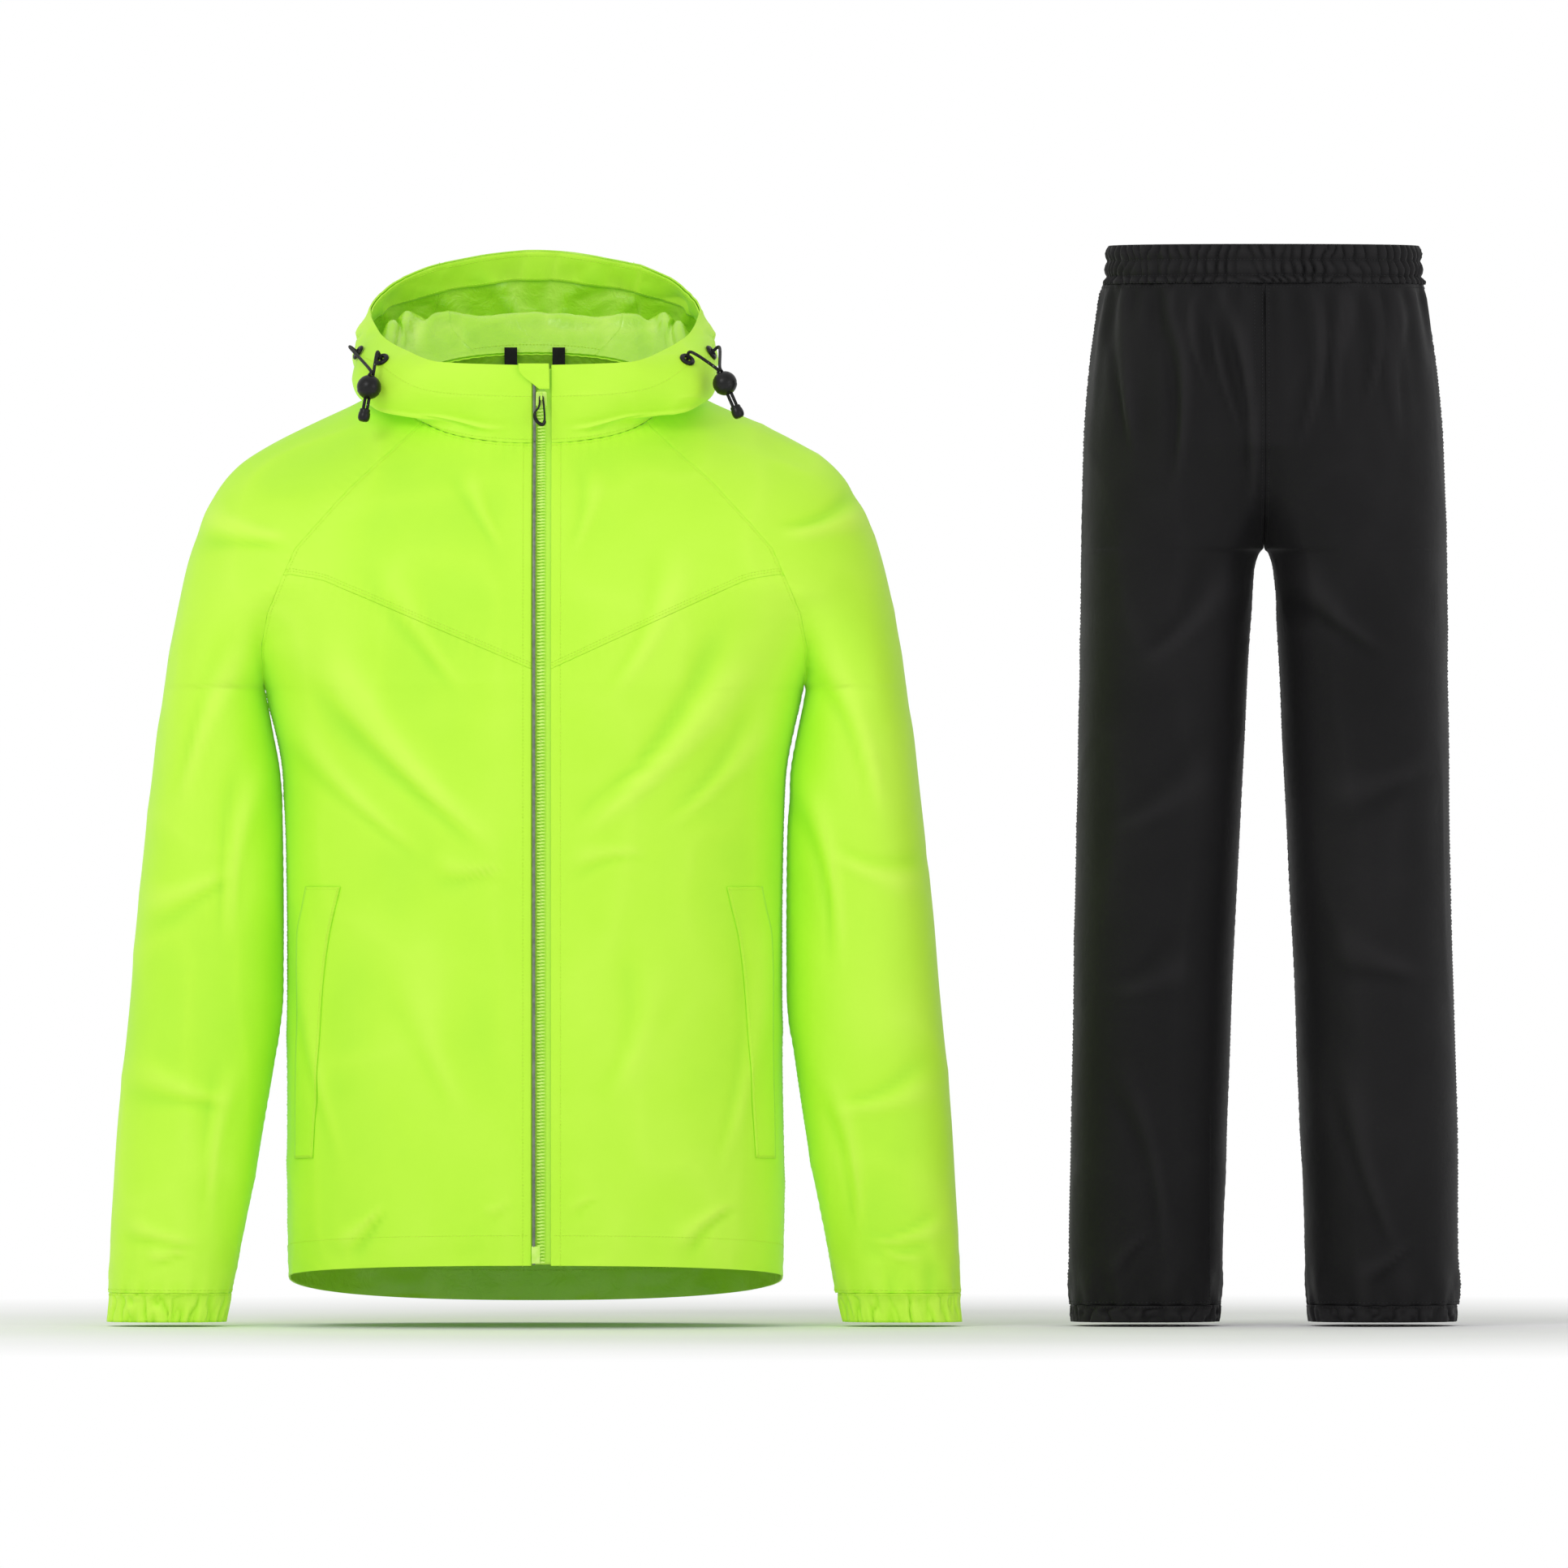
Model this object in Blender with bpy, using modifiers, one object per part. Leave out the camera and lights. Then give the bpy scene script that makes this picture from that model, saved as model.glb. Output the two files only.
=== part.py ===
import math

import bpy
import numpy as np
from mathutils import Vector

# Sizes in metres. X runs across the set, -Y is the front, Z is up.
# The origin lies between the shoulders of the jacket, inside the neck.
WALL = 0.0015
SEAM = 0.00034
ON_TOP = 0.0003
BODY_POWER = 2.3
ARM_POWER = 2.15
UNDERARM_Z = -0.2366
UNDERARM_CURVE = 0.299
UNDERARM_REACH = 0.105
CROTCH_Z = -0.1176
CROTCH_CURVE = 0.351
CROTCH_REACH = 0.090
TROUSERS_X = 0.6286
ZIP_RIGHT_X = -0.0018
ZIP_LEFT_X = 0.0150
ZIP_MID_X = 0.0064

RING_COLUMNS = ("half", "z_side", "z_front", "z_back", "front", "back", "arm")
# Rings through shoulders and chest, from the neck seam to the underarm.
SHOULDER_RINGS = (
    (0.1120, 0.0200, -0.0245, 0.0550, 0.080, 0.080, 0.060),
    (0.1400, 0.0090, -0.0370, 0.0430, 0.088, 0.090, 0.062),
    (0.1670, -0.0028, -0.0500, 0.0290, 0.096, 0.100, 0.064),
    (0.2000, -0.0150, -0.0650, 0.0120, 0.104, 0.110, 0.066),
    (0.2300, -0.0275, -0.0810, -0.0080, 0.112, 0.119, 0.068),
    (0.2550, -0.0425, -0.0980, -0.0310, 0.119, 0.127, 0.070),
    (0.2720, -0.0616, -0.1150, -0.0560, 0.125, 0.133, 0.072),
    (0.2840, -0.0850, -0.1320, -0.0820, 0.130, 0.138, 0.074),
    (0.2945, -0.1100, -0.1480, -0.1090, 0.135, 0.142, 0.076),
    (0.3016, -0.1337, -0.1640, -0.1340, 0.139, 0.145, 0.077),
    (0.3080, -0.1630, -0.1820, -0.1630, 0.142, 0.147, 0.078),
    (0.3130, -0.1880, -0.1980, -0.1880, 0.144, 0.148, 0.079),
    (0.3165, -0.2060, -0.2110, -0.2060, 0.145, 0.149, 0.079),
    (0.3185, -0.2210, -0.2230, -0.2210, 0.146, 0.150, 0.079),
    (0.3200, -0.2320, -0.2320, -0.2320, 0.147, 0.150, 0.079),
    (0.3206, -0.2366, -0.2366, -0.2366, 0.147, 0.150, 0.079),
)
SPLIT = len(SHOULDER_RINGS) - 1
# Rings of the body below the underarm, down to the hem.
BODY_RINGS = (
    (0.2318, -0.2366, -0.2366, -0.2366, 0.147, 0.150, 0.0),
    (0.2290, -0.2506, -0.2506, -0.2506, 0.147, 0.150, 0.0),
    (0.2240, -0.2716, -0.2716, -0.2716, 0.148, 0.151, 0.0),
    (0.2168, -0.3143, -0.3143, -0.3143, 0.148, 0.151, 0.0),
    (0.2145, -0.3836, -0.3836, -0.3836, 0.149, 0.151, 0.0),
    (0.2140, -0.4450, -0.4450, -0.4450, 0.149, 0.151, 0.0),
    (0.2140, -0.5070, -0.5060, -0.5080, 0.150, 0.152, 0.0),
    (0.2142, -0.5700, -0.5670, -0.5760, 0.151, 0.152, 0.0),
    (0.2144, -0.6350, -0.6300, -0.6460, 0.152, 0.153, 0.0),
    (0.2143, -0.7000, -0.6910, -0.7180, 0.152, 0.153, 0.0),
    (0.2133, -0.7427, -0.7308, -0.7658, 0.150, 0.152, 0.0),
)
# Rings of the sleeve below the underarm, down to the cuff seam.
ARM_COLUMNS = ("z", "outer", "inner", "depth", "shift")
ARM_RINGS = (
    (-0.2366, 0.3206, 0.2330, 0.0790, 0.000),
    (-0.2506, 0.3225, 0.2306, 0.0795, 0.000),
    (-0.2716, 0.3262, 0.2262, 0.0790, 0.000),
    (-0.3143, 0.3310, 0.2192, 0.0770, 0.000),
    (-0.3836, 0.3388, 0.2166, 0.0730, -0.001),
    (-0.4396, 0.3445, 0.2161, 0.0700, -0.002),
    (-0.4956, 0.3493, 0.2162, 0.0670, -0.004),
    (-0.5516, 0.3546, 0.2230, 0.0640, -0.007),
    (-0.6076, 0.3595, 0.2320, 0.0610, -0.010),
    (-0.6636, 0.3626, 0.2422, 0.0580, -0.013),
    (-0.7126, 0.3654, 0.2520, 0.0550, -0.016),
    (-0.7560, 0.3665, 0.2615, 0.0510, -0.018),
)
CUFF_RINGS = (
    (-0.7560, 0.3665, 0.2615, 0.0510, -0.018),
    (-0.7635, 0.3650, 0.2637, 0.0445, -0.018),
    (-0.7812, 0.3675, 0.2672, 0.0400, -0.018),
)
# Where the raglan seams run, as height and distance from the middle.
FRONT_RAGLAN = ((-0.2366, 0.2325), (-0.2200, 0.2345), (-0.2002, 0.2359), (-0.1701, 0.2296),
                (-0.1155, 0.2058), (-0.0600, 0.1560), (-0.0035, 0.0950), (0.0200, 0.0800))
BACK_RAGLAN = ((-0.2366, 0.2325), (-0.2200, 0.2345), (-0.2002, 0.2359), (-0.1701, 0.2296),
               (-0.1155, 0.2080), (-0.0600, 0.1640), (0.0000, 0.1100), (0.0520, 0.0450))
YOKE_LINE = ((0.0, -0.2191), (0.2058, -0.1323))

# Rings of the trousers from the waist seam to the crotch.
HIP_COLUMNS = ("z", "half", "front", "back", "leg_front", "leg_back")
HIP_RINGS = (
    (0.1127, 0.1385, 0.0950, 0.0990, 0.085, 0.095),
    (0.0924, 0.1425, 0.0985, 0.1040, 0.087, 0.098),
    (0.0644, 0.1467, 0.1025, 0.1090, 0.090, 0.101),
    (0.0364, 0.1505, 0.1060, 0.1125, 0.092, 0.104),
    (0.0084, 0.1533, 0.1080, 0.1145, 0.094, 0.106),
    (-0.0196, 0.1554, 0.1085, 0.1155, 0.095, 0.107),
    (-0.0476, 0.1564, 0.1080, 0.1155, 0.095, 0.107),
    (-0.0756, 0.1570, 0.1065, 0.1145, 0.095, 0.107),
    (-0.0966, 0.1574, 0.1045, 0.1130, 0.095, 0.107),
    (-0.1106, 0.1575, 0.1020, 0.1110, 0.095, 0.107),
    (-0.1176, 0.1576, 0.1000, 0.1090, 0.095, 0.107),
)
CROTCH = len(HIP_RINGS) - 1
LEG_COLUMNS = ("z", "outer", "inner", "front", "back")
LEG_RINGS = (
    (-0.1176, 0.1576, 0.0030, 0.0950, 0.1070),
    (-0.1316, 0.1577, 0.0074, 0.0940, 0.1050),
    (-0.1736, 0.1578, 0.0105, 0.0910, 0.0990),
    (-0.2156, 0.1582, 0.0130, 0.0880, 0.0940),
    (-0.2716, 0.1596, 0.0158, 0.0840, 0.0880),
    (-0.3416, 0.1603, 0.0200, 0.0800, 0.0820),
    (-0.4116, 0.1617, 0.0238, 0.0770, 0.0780),
    (-0.4816, 0.1631, 0.0270, 0.0740, 0.0760),
    (-0.5516, 0.1645, 0.0291, 0.0720, 0.0740),
    (-0.6216, 0.1659, 0.0318, 0.0700, 0.0720),
    (-0.6916, 0.1666, 0.0340, 0.0680, 0.0700),
    (-0.7476, 0.1673, 0.0354, 0.0650, 0.0680),
    (-0.7665, 0.1663, 0.0372, 0.0620, 0.0640),
)
LEG_HEM_RINGS = (
    (-0.7665, 0.1663, 0.0372, 0.0620, 0.0640),
    (-0.7730, 0.1652, 0.0388, 0.0600, 0.0620),
    (-0.7812, 0.1657, 0.0394, 0.0600, 0.0620),
)
WAIST_COLUMNS = ("z", "half", "front", "back", "wave")
WAIST_RINGS = (
    (0.1463, 0.1334, 0.0920, 0.0950, 0.0010),
    (0.1330, 0.1346, 0.0930, 0.0962, 0.0013),
    (0.1196, 0.1352, 0.0932, 0.0966, 0.0010),
    (0.1127, 0.1385, 0.0950, 0.0990, 0.0012),
)

# Profiles of the hood from the neck seam to its edge: each row is a place round
# the neck, then six points outward and upward as x, y, z in millimetres.
HOOD_PROFILES = (
    (0.00, (0, -82, -13), (0, -84, -2), (0, -86, 9), (0, -87, 20), (0, -88, 31), (0, -88, 42)),
    (0.12, (34, -79, -12), (36, -83, -2), (38, -85, 9), (39, -86, 21), (39, -86, 32), (38, -86, 43)),
    (0.26, (72, -67, -7), (80, -73, 4), (86, -77, 16), (88, -78, 27), (87, -77, 37), (82, -75, 45)),
    (0.40, (112, -46, 3), (130, -50, 4), (142, -51, 18), (142, -48, 34), (132, -45, 47), (111, -43, 56)),
    (0.52, (128, -4, 23), (148, -3, 16), (157, -2, 27), (156, 0, 46), (148, 2, 62), (134, 4, 72)),
    (0.64, (113, 48, 58), (124, 56, 82), (146, 58, 44), (157, 64, 44), (154, 66, 68), (143, 62, 94)),
    (0.74, (102, 70, 74), (112, 82, 89), (126, 104, 60), (134, 130, 10), (144, 134, 56), (128, 104, 114)),
    (0.84, (72, 84, 75), (76, 94, 90), (82, 116, 62), (86, 148, -34), (92, 166, 52), (82, 146, 135)),
    (1.00, (0, 90, 77), (0, 97, 91), (0, 118, 62), (0, 156, -54), (0, 184, 50), (0, 164, 146)),
)
FACING_WIDTH = 0.027
FACING_GAP = 0.0009
FACING_U = (0.63, 0.69, 0.74, 0.79, 0.84, 0.89, 0.94, 1.0)

# Largest creases as soft ridges: from x, z to x, z, half width and height.
FRONT_CREASES = (
    (0.178, -0.200, 0.060, -0.345, 0.020, 0.0040),
    (0.205, -0.262, 0.100, -0.360, 0.018, 0.0030),
    (0.130, -0.700, 0.165, -0.660, 0.016, 0.0030),
    (0.030, -0.395, 0.100, -0.385, 0.016, 0.0025),
)
ARM_CREASES = (
    (0.286, -0.085, 0.215, -0.104, 0.016, 0.0030),
    (0.330, -0.420, 0.255, -0.380, 0.016, 0.0025),
    (0.345, -0.560, 0.262, -0.590, 0.016, 0.0030),
    (0.350, -0.680, 0.275, -0.700, 0.014, 0.0030),
)
TROUSER_CREASES = (
    (0.115, 0.105, 0.112, -0.020, 0.012, 0.0040),
    (0.080, 0.105, 0.076, -0.050, 0.013, 0.0045),
    (0.034, 0.105, 0.014, -0.070, 0.012, 0.0045),
    (0.030, -0.110, 0.105, -0.210, 0.018, 0.0035),
    (0.060, -0.470, 0.130, -0.500, 0.018, 0.0030),
    (0.060, -0.690, 0.130, -0.715, 0.014, 0.0030),
)

SLIDER_SIZE = (0.0092, 0.0032, 0.0130)
SLIDER_Z = 0.0130
SLIDER_OFF = 0.0019
EYE_RADIUS = 0.0030
EYE_WIRE = 0.0009
PULL_OUT = 0.0026
PULL_Z = 0.0150
PULL_LENGTH = 0.0245
PULL_WIDTH = 0.0066
PULL_RADIUS = 0.0013

CUFF_WAVES = 20
HEM_WAVES = 20
WAIST_WAVES = 80

# Points round a ring's panel and sleeve.
PANEL_POINTS = 61
SLEEVE_POINTS = 121

HOOD_ROWS = 49
HOOD_COLUMNS = 97

# The rings that each panel uses as its rows, and its spans from seam to seam.
FRONT_SPANS = 8
TOP_ROWS = (0, 2, 4, 6, 8)
LOWER_ROWS = (8, 10, 12, 13, 14, 15, 16, 17, 18, 19, 20, 21, 22, 23, 24, 25)
BACK_ROWS = (0, 2, 4, 6, 8, 10, 12, 13, 14, 15, 16, 17, 18, 19, 20, 21, 22, 23, 24, 25)
ARM_ROWS = (0, 2, 4, 6, 8, 10, 12, 13, 14, 15, 16, 17, 18, 19, 20, 21, 22, 23, 24, 25, 26)
ARM_SPANS = 14
BACK_SPANS = 7
TROUSER_ROWS = (0, 1, 2, 3, 5, 7, 9, 10, 11, 12, 13, 14, 15, 16, 17, 18, 19, 20, 21, 22)
TROUSER_SPANS = 8

HOOD_V = (0.0, 0.08, 0.17, 0.26, 0.36, 0.46, 0.54, 0.61, 0.68, 0.76, 0.84, 0.92, 1.0)
HOOD_SIDE_U = (0.08, 0.16, 0.24, 0.32, 0.40, 0.48, 0.56, 0.63, 0.69, 0.74, 0.79, 0.84)
HOOD_CENTRE_U = (0.84, 0.89, 0.94, 1.0)

# Places round the hood's edge: share round the neck and share up to the edge.
# The last value is how far the flat walls lie inside the curve there.
EYELETS = (("eyelet_left_rear", 1, 0.505, 0.760, 0.0007), ("eyelet_left_front", 1, 0.400, 0.800, 0.0003),
           ("eyelet_right_rear", -1, 0.505, 0.760, 0.0007), ("eyelet_right_front", -1, 0.400, 0.800, 0.0003))
EYELET_RADIUS = 0.0056
EYELET_WIRE = 0.0013
CORD_RADIUS = 0.0014
LOCK_RADIUS = 0.0105
LOCK_BORE = 0.0036

# Places of each cord lock and cord end.
CORD_SETS = (
    ("left", 1, (0.1640, -0.0560, 0.0270), (0.1745, -0.0590, 0.0030)),
    ("right", -1, (-0.1420, -0.0680, 0.0235), (-0.1460, -0.0710, 0.0000)),
)

# The flap over the top of the zip: height, first x and last x of each row.
GARAGE_ROWS = ((0.0436, -0.0135, 0.0128), (0.0380, -0.0132, 0.0132), (0.0330, -0.0100, 0.0134),
               (0.0260, -0.0010, 0.0134), (0.0215, 0.0045, 0.0133))
GARAGE_FLAT_FROM = 0.0410
GARAGE_OFF = 0.0037
FLAP_WALL = 0.0012

# The pocket flaps: height, inner x and outer x of each row.
POCKET_ROWS = ((-0.4060, 0.1660, 0.1960), (-0.4250, 0.1705, 0.1995), (-0.4490, 0.1760, 0.2040),
               (-0.4930, 0.1815, 0.2050), (-0.5560, 0.1850, 0.2055), (-0.6050, 0.1880, 0.2060),
               (-0.6400, 0.1900, 0.2060))
POCKET_GAP = 0.0009

# The hanger loop inside the neck, as x and z round its outline.
HANGER_OUTLINE = ((-0.0270, 0.0600), (-0.0160, 0.0600), (-0.0160, 0.0260), (0.0145, 0.0260),
                  (0.0145, 0.0600), (0.0255, 0.0600), (0.0255, 0.0150), (-0.0270, 0.0150))
HANGER_Y = 0.0756

TAPE_X = (-0.0090, 0.0064, 0.0225)
TAPE_WALL = 0.0010
TAPE_LIFT = -WALL - 0.0010
TEETH_X = (0.0028, 0.0100)
TEETH_LIFT = 0.0008
TEETH_WALL = 0.0020
PIPING_X = 0.0004
PIPING_LIFT = 0.0006
PIPING_RADIUS = 0.0014

# Heights of the gathers at each ring of a cuff and of a leg hem.
CUFF_WAVE_HEIGHTS = (0.0006, 0.0014, 0.0016)
HEM_WAVE_HEIGHTS = (0.0006, 0.0014, 0.0014)
BAND_WALL = 0.0012

# Radius and height round the cord end, and how far the cord stands off along its way.
CORD_END_PROFILE = ((0.0022, -0.0050), (0.0045, -0.0044), (0.0050, 0.0040), (0.0036, 0.0060),
                    (0.0008, 0.0062), (0.0008, -0.0010), (0.0019, -0.0012))
CORD_START_OFF = 0.0005
CORD_LIFT = 0.0090
CORD_APART = 0.0017
CORD_ABOVE_LOCK = 0.0150
CORD_AT_MOUTH = 0.0100
CORD_INTO_END = 0.0053

NEON = (0.50, 0.88, 0.045)
NEON_INSIDE = (0.36, 0.70, 0.025)
BLACK_CLOTH = (0.014, 0.013, 0.015)
BLACK_TRIM = (0.006, 0.006, 0.006)
GREY = (0.16, 0.17, 0.15)


def clear_scene():
    for item in list(bpy.data.objects):
        bpy.data.objects.remove(item, do_unlink=True)


def new_material(name, colour, roughness, metallic=0.0):
    made = bpy.data.materials.new(name)
    made.use_nodes = True
    shader = made.node_tree.nodes["Principled BSDF"]
    shader.inputs["Base Color"].default_value = (*colour, 1.0)
    shader.inputs["Roughness"].default_value = roughness
    shader.inputs["Metallic"].default_value = metallic
    made.diffuse_color = (*colour, 1.0)
    return made


def columns(rows, names):
    grid = np.array(rows, float)
    return {name: grid[:, i] for i, name in enumerate(names)}


def curve_through(xs, ys, at):
    """A smooth curve through the points, with no overshoot between them."""
    xs = np.asarray(xs, float)
    ys = np.asarray(ys, float)
    step = np.diff(xs)
    rise = np.diff(ys) / step
    slope = np.empty_like(ys)
    slope[0] = rise[0]
    slope[-1] = rise[-1]
    both = rise[:-1] * rise[1:]
    total = rise[:-1] + rise[1:]
    safe = np.where(np.abs(total) < 1e-12, 1.0, total)
    slope[1:-1] = np.where(both > 0, 2 * both / safe, 0.0)
    i = np.clip(np.searchsorted(xs, at, side="right") - 1, 0, len(xs) - 2)
    h = step[i]
    t = (np.asarray(at, float) - xs[i]) / h
    a = (1 + 2 * t) * (1 - t) ** 2
    b = t * (1 - t) ** 2
    c = t * t * (3 - 2 * t)
    d = t * t * (t - 1)
    return a * ys[i] + b * h * slope[i] + c * ys[i + 1] + d * h * slope[i + 1]


def ring_values(rows, names, v):
    table = columns(rows, names)
    index = np.arange(len(rows))
    return {name: float(curve_through(index, table[name], v)) for name in names}


def oval(x, half, depth, power):
    reach = np.clip(np.abs(x) / half, 0.0, 1.0)
    return depth * (1.0 - reach**power) ** (1.0 / power)


def spread_evenly(points, count):
    steps = np.linalg.norm(np.diff(points, axis=0), axis=1)
    along = np.concatenate([[0.0], np.cumsum(steps)])
    at = np.linspace(0.0, along[-1], count)
    return np.stack([np.interp(at, along, points[:, k]) for k in range(3)], axis=1)


def softened(points, reach):
    """The line with its corners rounded over about this length."""
    steps = np.linalg.norm(np.diff(points, axis=0), axis=1)
    sigma = max(reach / max(steps.mean(), 1e-6), 0.01)
    span = int(math.ceil(3 * sigma))
    weights = np.exp(-0.5 * (np.arange(-span, span + 1) / sigma) ** 2)
    weights /= weights.sum()
    before = points[1:span + 1][::-1] * (-1, 1, 1)
    after = points[-span - 1:-1][::-1] * (-1, 1, 1)
    padded = np.concatenate([before, points, after])
    return np.stack([np.convolve(padded[:, k], weights, "valid") for k in range(3)], axis=1)


def seam_place(x, z, seam):
    """How far from the middle the seam crosses a ring."""
    line = np.array(sorted(seam))
    off = x - np.interp(z, line[:, 0], line[:, 1])
    crossing = np.nonzero((off[:-1] <= 0) & (off[1:] > 0))[0]
    if not len(crossing):
        return float(x[-1] * 0.75)
    i = int(crossing[-1])
    share = off[i] / (off[i] - off[i + 1])
    return float(x[i] + share * (x[i + 1] - x[i]))


def limb_oval(x, inner, outer, depth, start):
    """A limb's depth over x, for an oval that has this depth where the limb starts."""
    low, high = inner - (outer - inner), inner
    for _ in range(40):
        end = (low + high) / 2
        here = oval(inner - (outer + end) / 2, (outer - end) / 2, depth, ARM_POWER)
        if here > start:
            low = end
        else:
            high = end
    return oval(x - (outer + high) / 2, (outer - high) / 2, depth, ARM_POWER)


def parted(x, whole, seam, outer, depth, above, reach, least):
    """Blends an undivided ring into a limb's own oval as it nears where they part."""
    share = min(max(1.0 - above / reach, 0.0), 1.0)
    if share <= 0.0:
        return whole
    start = max((least - (1 - share) * float(whole[0])) / share, 0.0)
    return (1 - share) * whole + share * limb_oval(x, seam, outer, depth, start)


def shoulder_side(values, side, seam):
    """Half of a ring on the front or the back, as its panel part and its sleeve part."""
    half = values["half"]
    depth = values["front"] if side < 0 else values["back"]
    z_mid = values["z_front"] if side < 0 else values["z_back"]
    x = half * np.sin(np.linspace(0.0, math.pi / 2, 400))
    plain = oval(x, half, depth, BODY_POWER)
    z = values["z_side"] + (z_mid - values["z_side"]) * plain / depth
    pinch = seam_place(x, z, seam)
    above = max(values["z_side"] - UNDERARM_Z, 0.0)
    height = float(oval(np.array([pinch]), half, depth, BODY_POWER)[0])
    least = min(UNDERARM_CURVE * math.sqrt(above), height)
    body_half = pinch / (1.0 - (least / depth) ** BODY_POWER) ** (1 / BODY_POWER)
    inner_x = pinch * np.sin(np.linspace(0.0, math.pi / 2, 120))
    outer_x = pinch + (half - pinch) * (1 - np.cos(np.linspace(0.0, math.pi, 120))) / 2
    body_y = oval(inner_x, max(body_half, pinch), depth, BODY_POWER)
    whole = oval(outer_x, half, depth, BODY_POWER)
    arm_y = parted(outer_x, whole, pinch, half, values["arm"], above, UNDERARM_REACH, least)
    tilt = (z_mid - values["z_side"]) / depth
    parts = []
    for at, y in ((inner_x, body_y), (outer_x, arm_y)):
        plain_y = oval(at, half, depth, BODY_POWER)
        parts.append(np.stack([at, side * y, values["z_side"] + tilt * plain_y], axis=1))
    return parts


def shoulder_ring(v):
    """Front, sleeve and back of the left half at a ring above the underarm."""
    values = ring_values(SHOULDER_RINGS, RING_COLUMNS, v)
    front, arm_front = shoulder_side(values, -1, FRONT_RAGLAN)
    back, arm_back = shoulder_side(values, 1, BACK_RAGLAN)
    front = spread_evenly(front, PANEL_POINTS)
    sleeve = spread_evenly(np.concatenate([arm_front, arm_back[::-1][1:]]), SLEEVE_POINTS)
    back = spread_evenly(back[::-1], PANEL_POINTS)
    return soft_parts([front, sleeve, back])


def soft_parts(parts, reach=0.006):
    whole = np.concatenate([parts[0]] + [part[1:] for part in parts[1:]])
    whole = softened(whole, reach)
    made = []
    start = 0
    for part in parts:
        made.append(whole[start:start + len(part)])
        start += len(part) - 1
    return made


def body_ring(v):
    values = ring_values(BODY_RINGS, RING_COLUMNS, v)
    halves = []
    for side, mid, depth in ((-1, "z_front", "front"), (1, "z_back", "back")):
        x = values["half"] * np.sin(np.linspace(0.0, math.pi / 2, 200))
        y = oval(x, values["half"], values[depth], BODY_POWER)
        z = values["z_side"] + (values[mid] - values["z_side"]) * y / values[depth]
        halves.append(spread_evenly(np.stack([x, side * y, z], axis=1), PANEL_POINTS))
    return soft_parts([halves[0], halves[1][::-1]])


def tube_ring(z, outer, inner, front, back, shift, power, count):
    """A closed ring that starts and ends at the inner side and goes round by the front."""
    turn = np.linspace(0.0, 2 * math.pi, 721)
    cosine = -np.cos(turn)
    sine = -np.sin(turn)
    x = (outer + inner) / 2 + (outer - inner) / 2 * np.sign(cosine) * np.abs(cosine) ** (2 / power)
    depth = np.where(sine < 0, front, back)
    y = shift + depth * np.sign(sine) * np.abs(sine) ** (2 / power)
    return spread_evenly(np.stack([x, y, np.full_like(x, z)], axis=1), count)


def arm_ring(v, rows=ARM_RINGS):
    values = ring_values(rows, ARM_COLUMNS, v)
    return tube_ring(values["z"], values["outer"], values["inner"], values["depth"],
                     values["depth"], values["shift"], ARM_POWER, SLEEVE_POINTS)


def hip_ring(v):
    """Front and back of the left half of the trousers above the crotch."""
    values = ring_values(HIP_RINGS, HIP_COLUMNS, v)
    half = values["half"]
    above = max(values["z"] - CROTCH_Z, 0.0)
    parts = []
    for side, depth, leg in ((-1, values["front"], values["leg_front"]),
                             (1, values["back"], values["leg_back"])):
        x = half * (1 - np.cos(np.linspace(0.0, math.pi, 200))) / 2
        whole = oval(x, half, depth, BODY_POWER)
        least = min(CROTCH_CURVE * math.sqrt(above), depth)
        y = parted(x, whole, 0.0, half, leg, above, CROTCH_REACH, least)
        parts.append(np.stack([x, side * y, np.full_like(x, values["z"])], axis=1))
    front = spread_evenly(parts[0], PANEL_POINTS)
    back = spread_evenly(parts[1][::-1], PANEL_POINTS)
    return soft_parts([front, back])


def leg_ring(v, rows=LEG_RINGS):
    values = ring_values(rows, LEG_COLUMNS, v)
    whole = tube_ring(values["z"], values["outer"], values["inner"], values["front"],
                      values["back"], 0.0, ARM_POWER, 721)
    outermost = int(np.argmax(whole[:, 0]))
    front = spread_evenly(whole[:outermost + 1], PANEL_POINTS)
    back = spread_evenly(whole[outermost:], PANEL_POINTS)
    return [front, back]


def unit(vectors):
    length = np.linalg.norm(vectors, axis=-1, keepdims=True)
    return vectors / np.maximum(length, 1e-12)


class Sheet:
    """A panel's outer surface: points by row and column, with directions and normals."""

    def __init__(self, rows_at, points, along, across, turn=1):
        self.rows_at = np.array(rows_at, float)
        self.points = points
        self.along = along
        self.across = across
        self.turn = turn
        self.normals = unit(np.cross(along, across)) * turn

    def sample(self, v, u):
        v, u = np.broadcast_arrays(np.asarray(v, float), np.asarray(u, float))
        row = np.interp(v, self.rows_at, np.arange(len(self.rows_at)))
        column = u * (self.points.shape[1] - 1)
        i = np.clip(row.astype(int), 0, self.points.shape[0] - 2)
        j = np.clip(column.astype(int), 0, self.points.shape[1] - 2)
        a = (row - i)[..., None]
        b = (column - j)[..., None]
        found = []
        for grid in (self.points, self.normals, self.along, self.across):
            near = grid[i, j] * (1 - b) + grid[i, j + 1] * b
            far = grid[i + 1, j] * (1 - b) + grid[i + 1, j + 1] * b
            found.append(near * (1 - a) + far * a)
        return found[0], unit(found[1]), unit(found[2]), unit(found[3])


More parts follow.
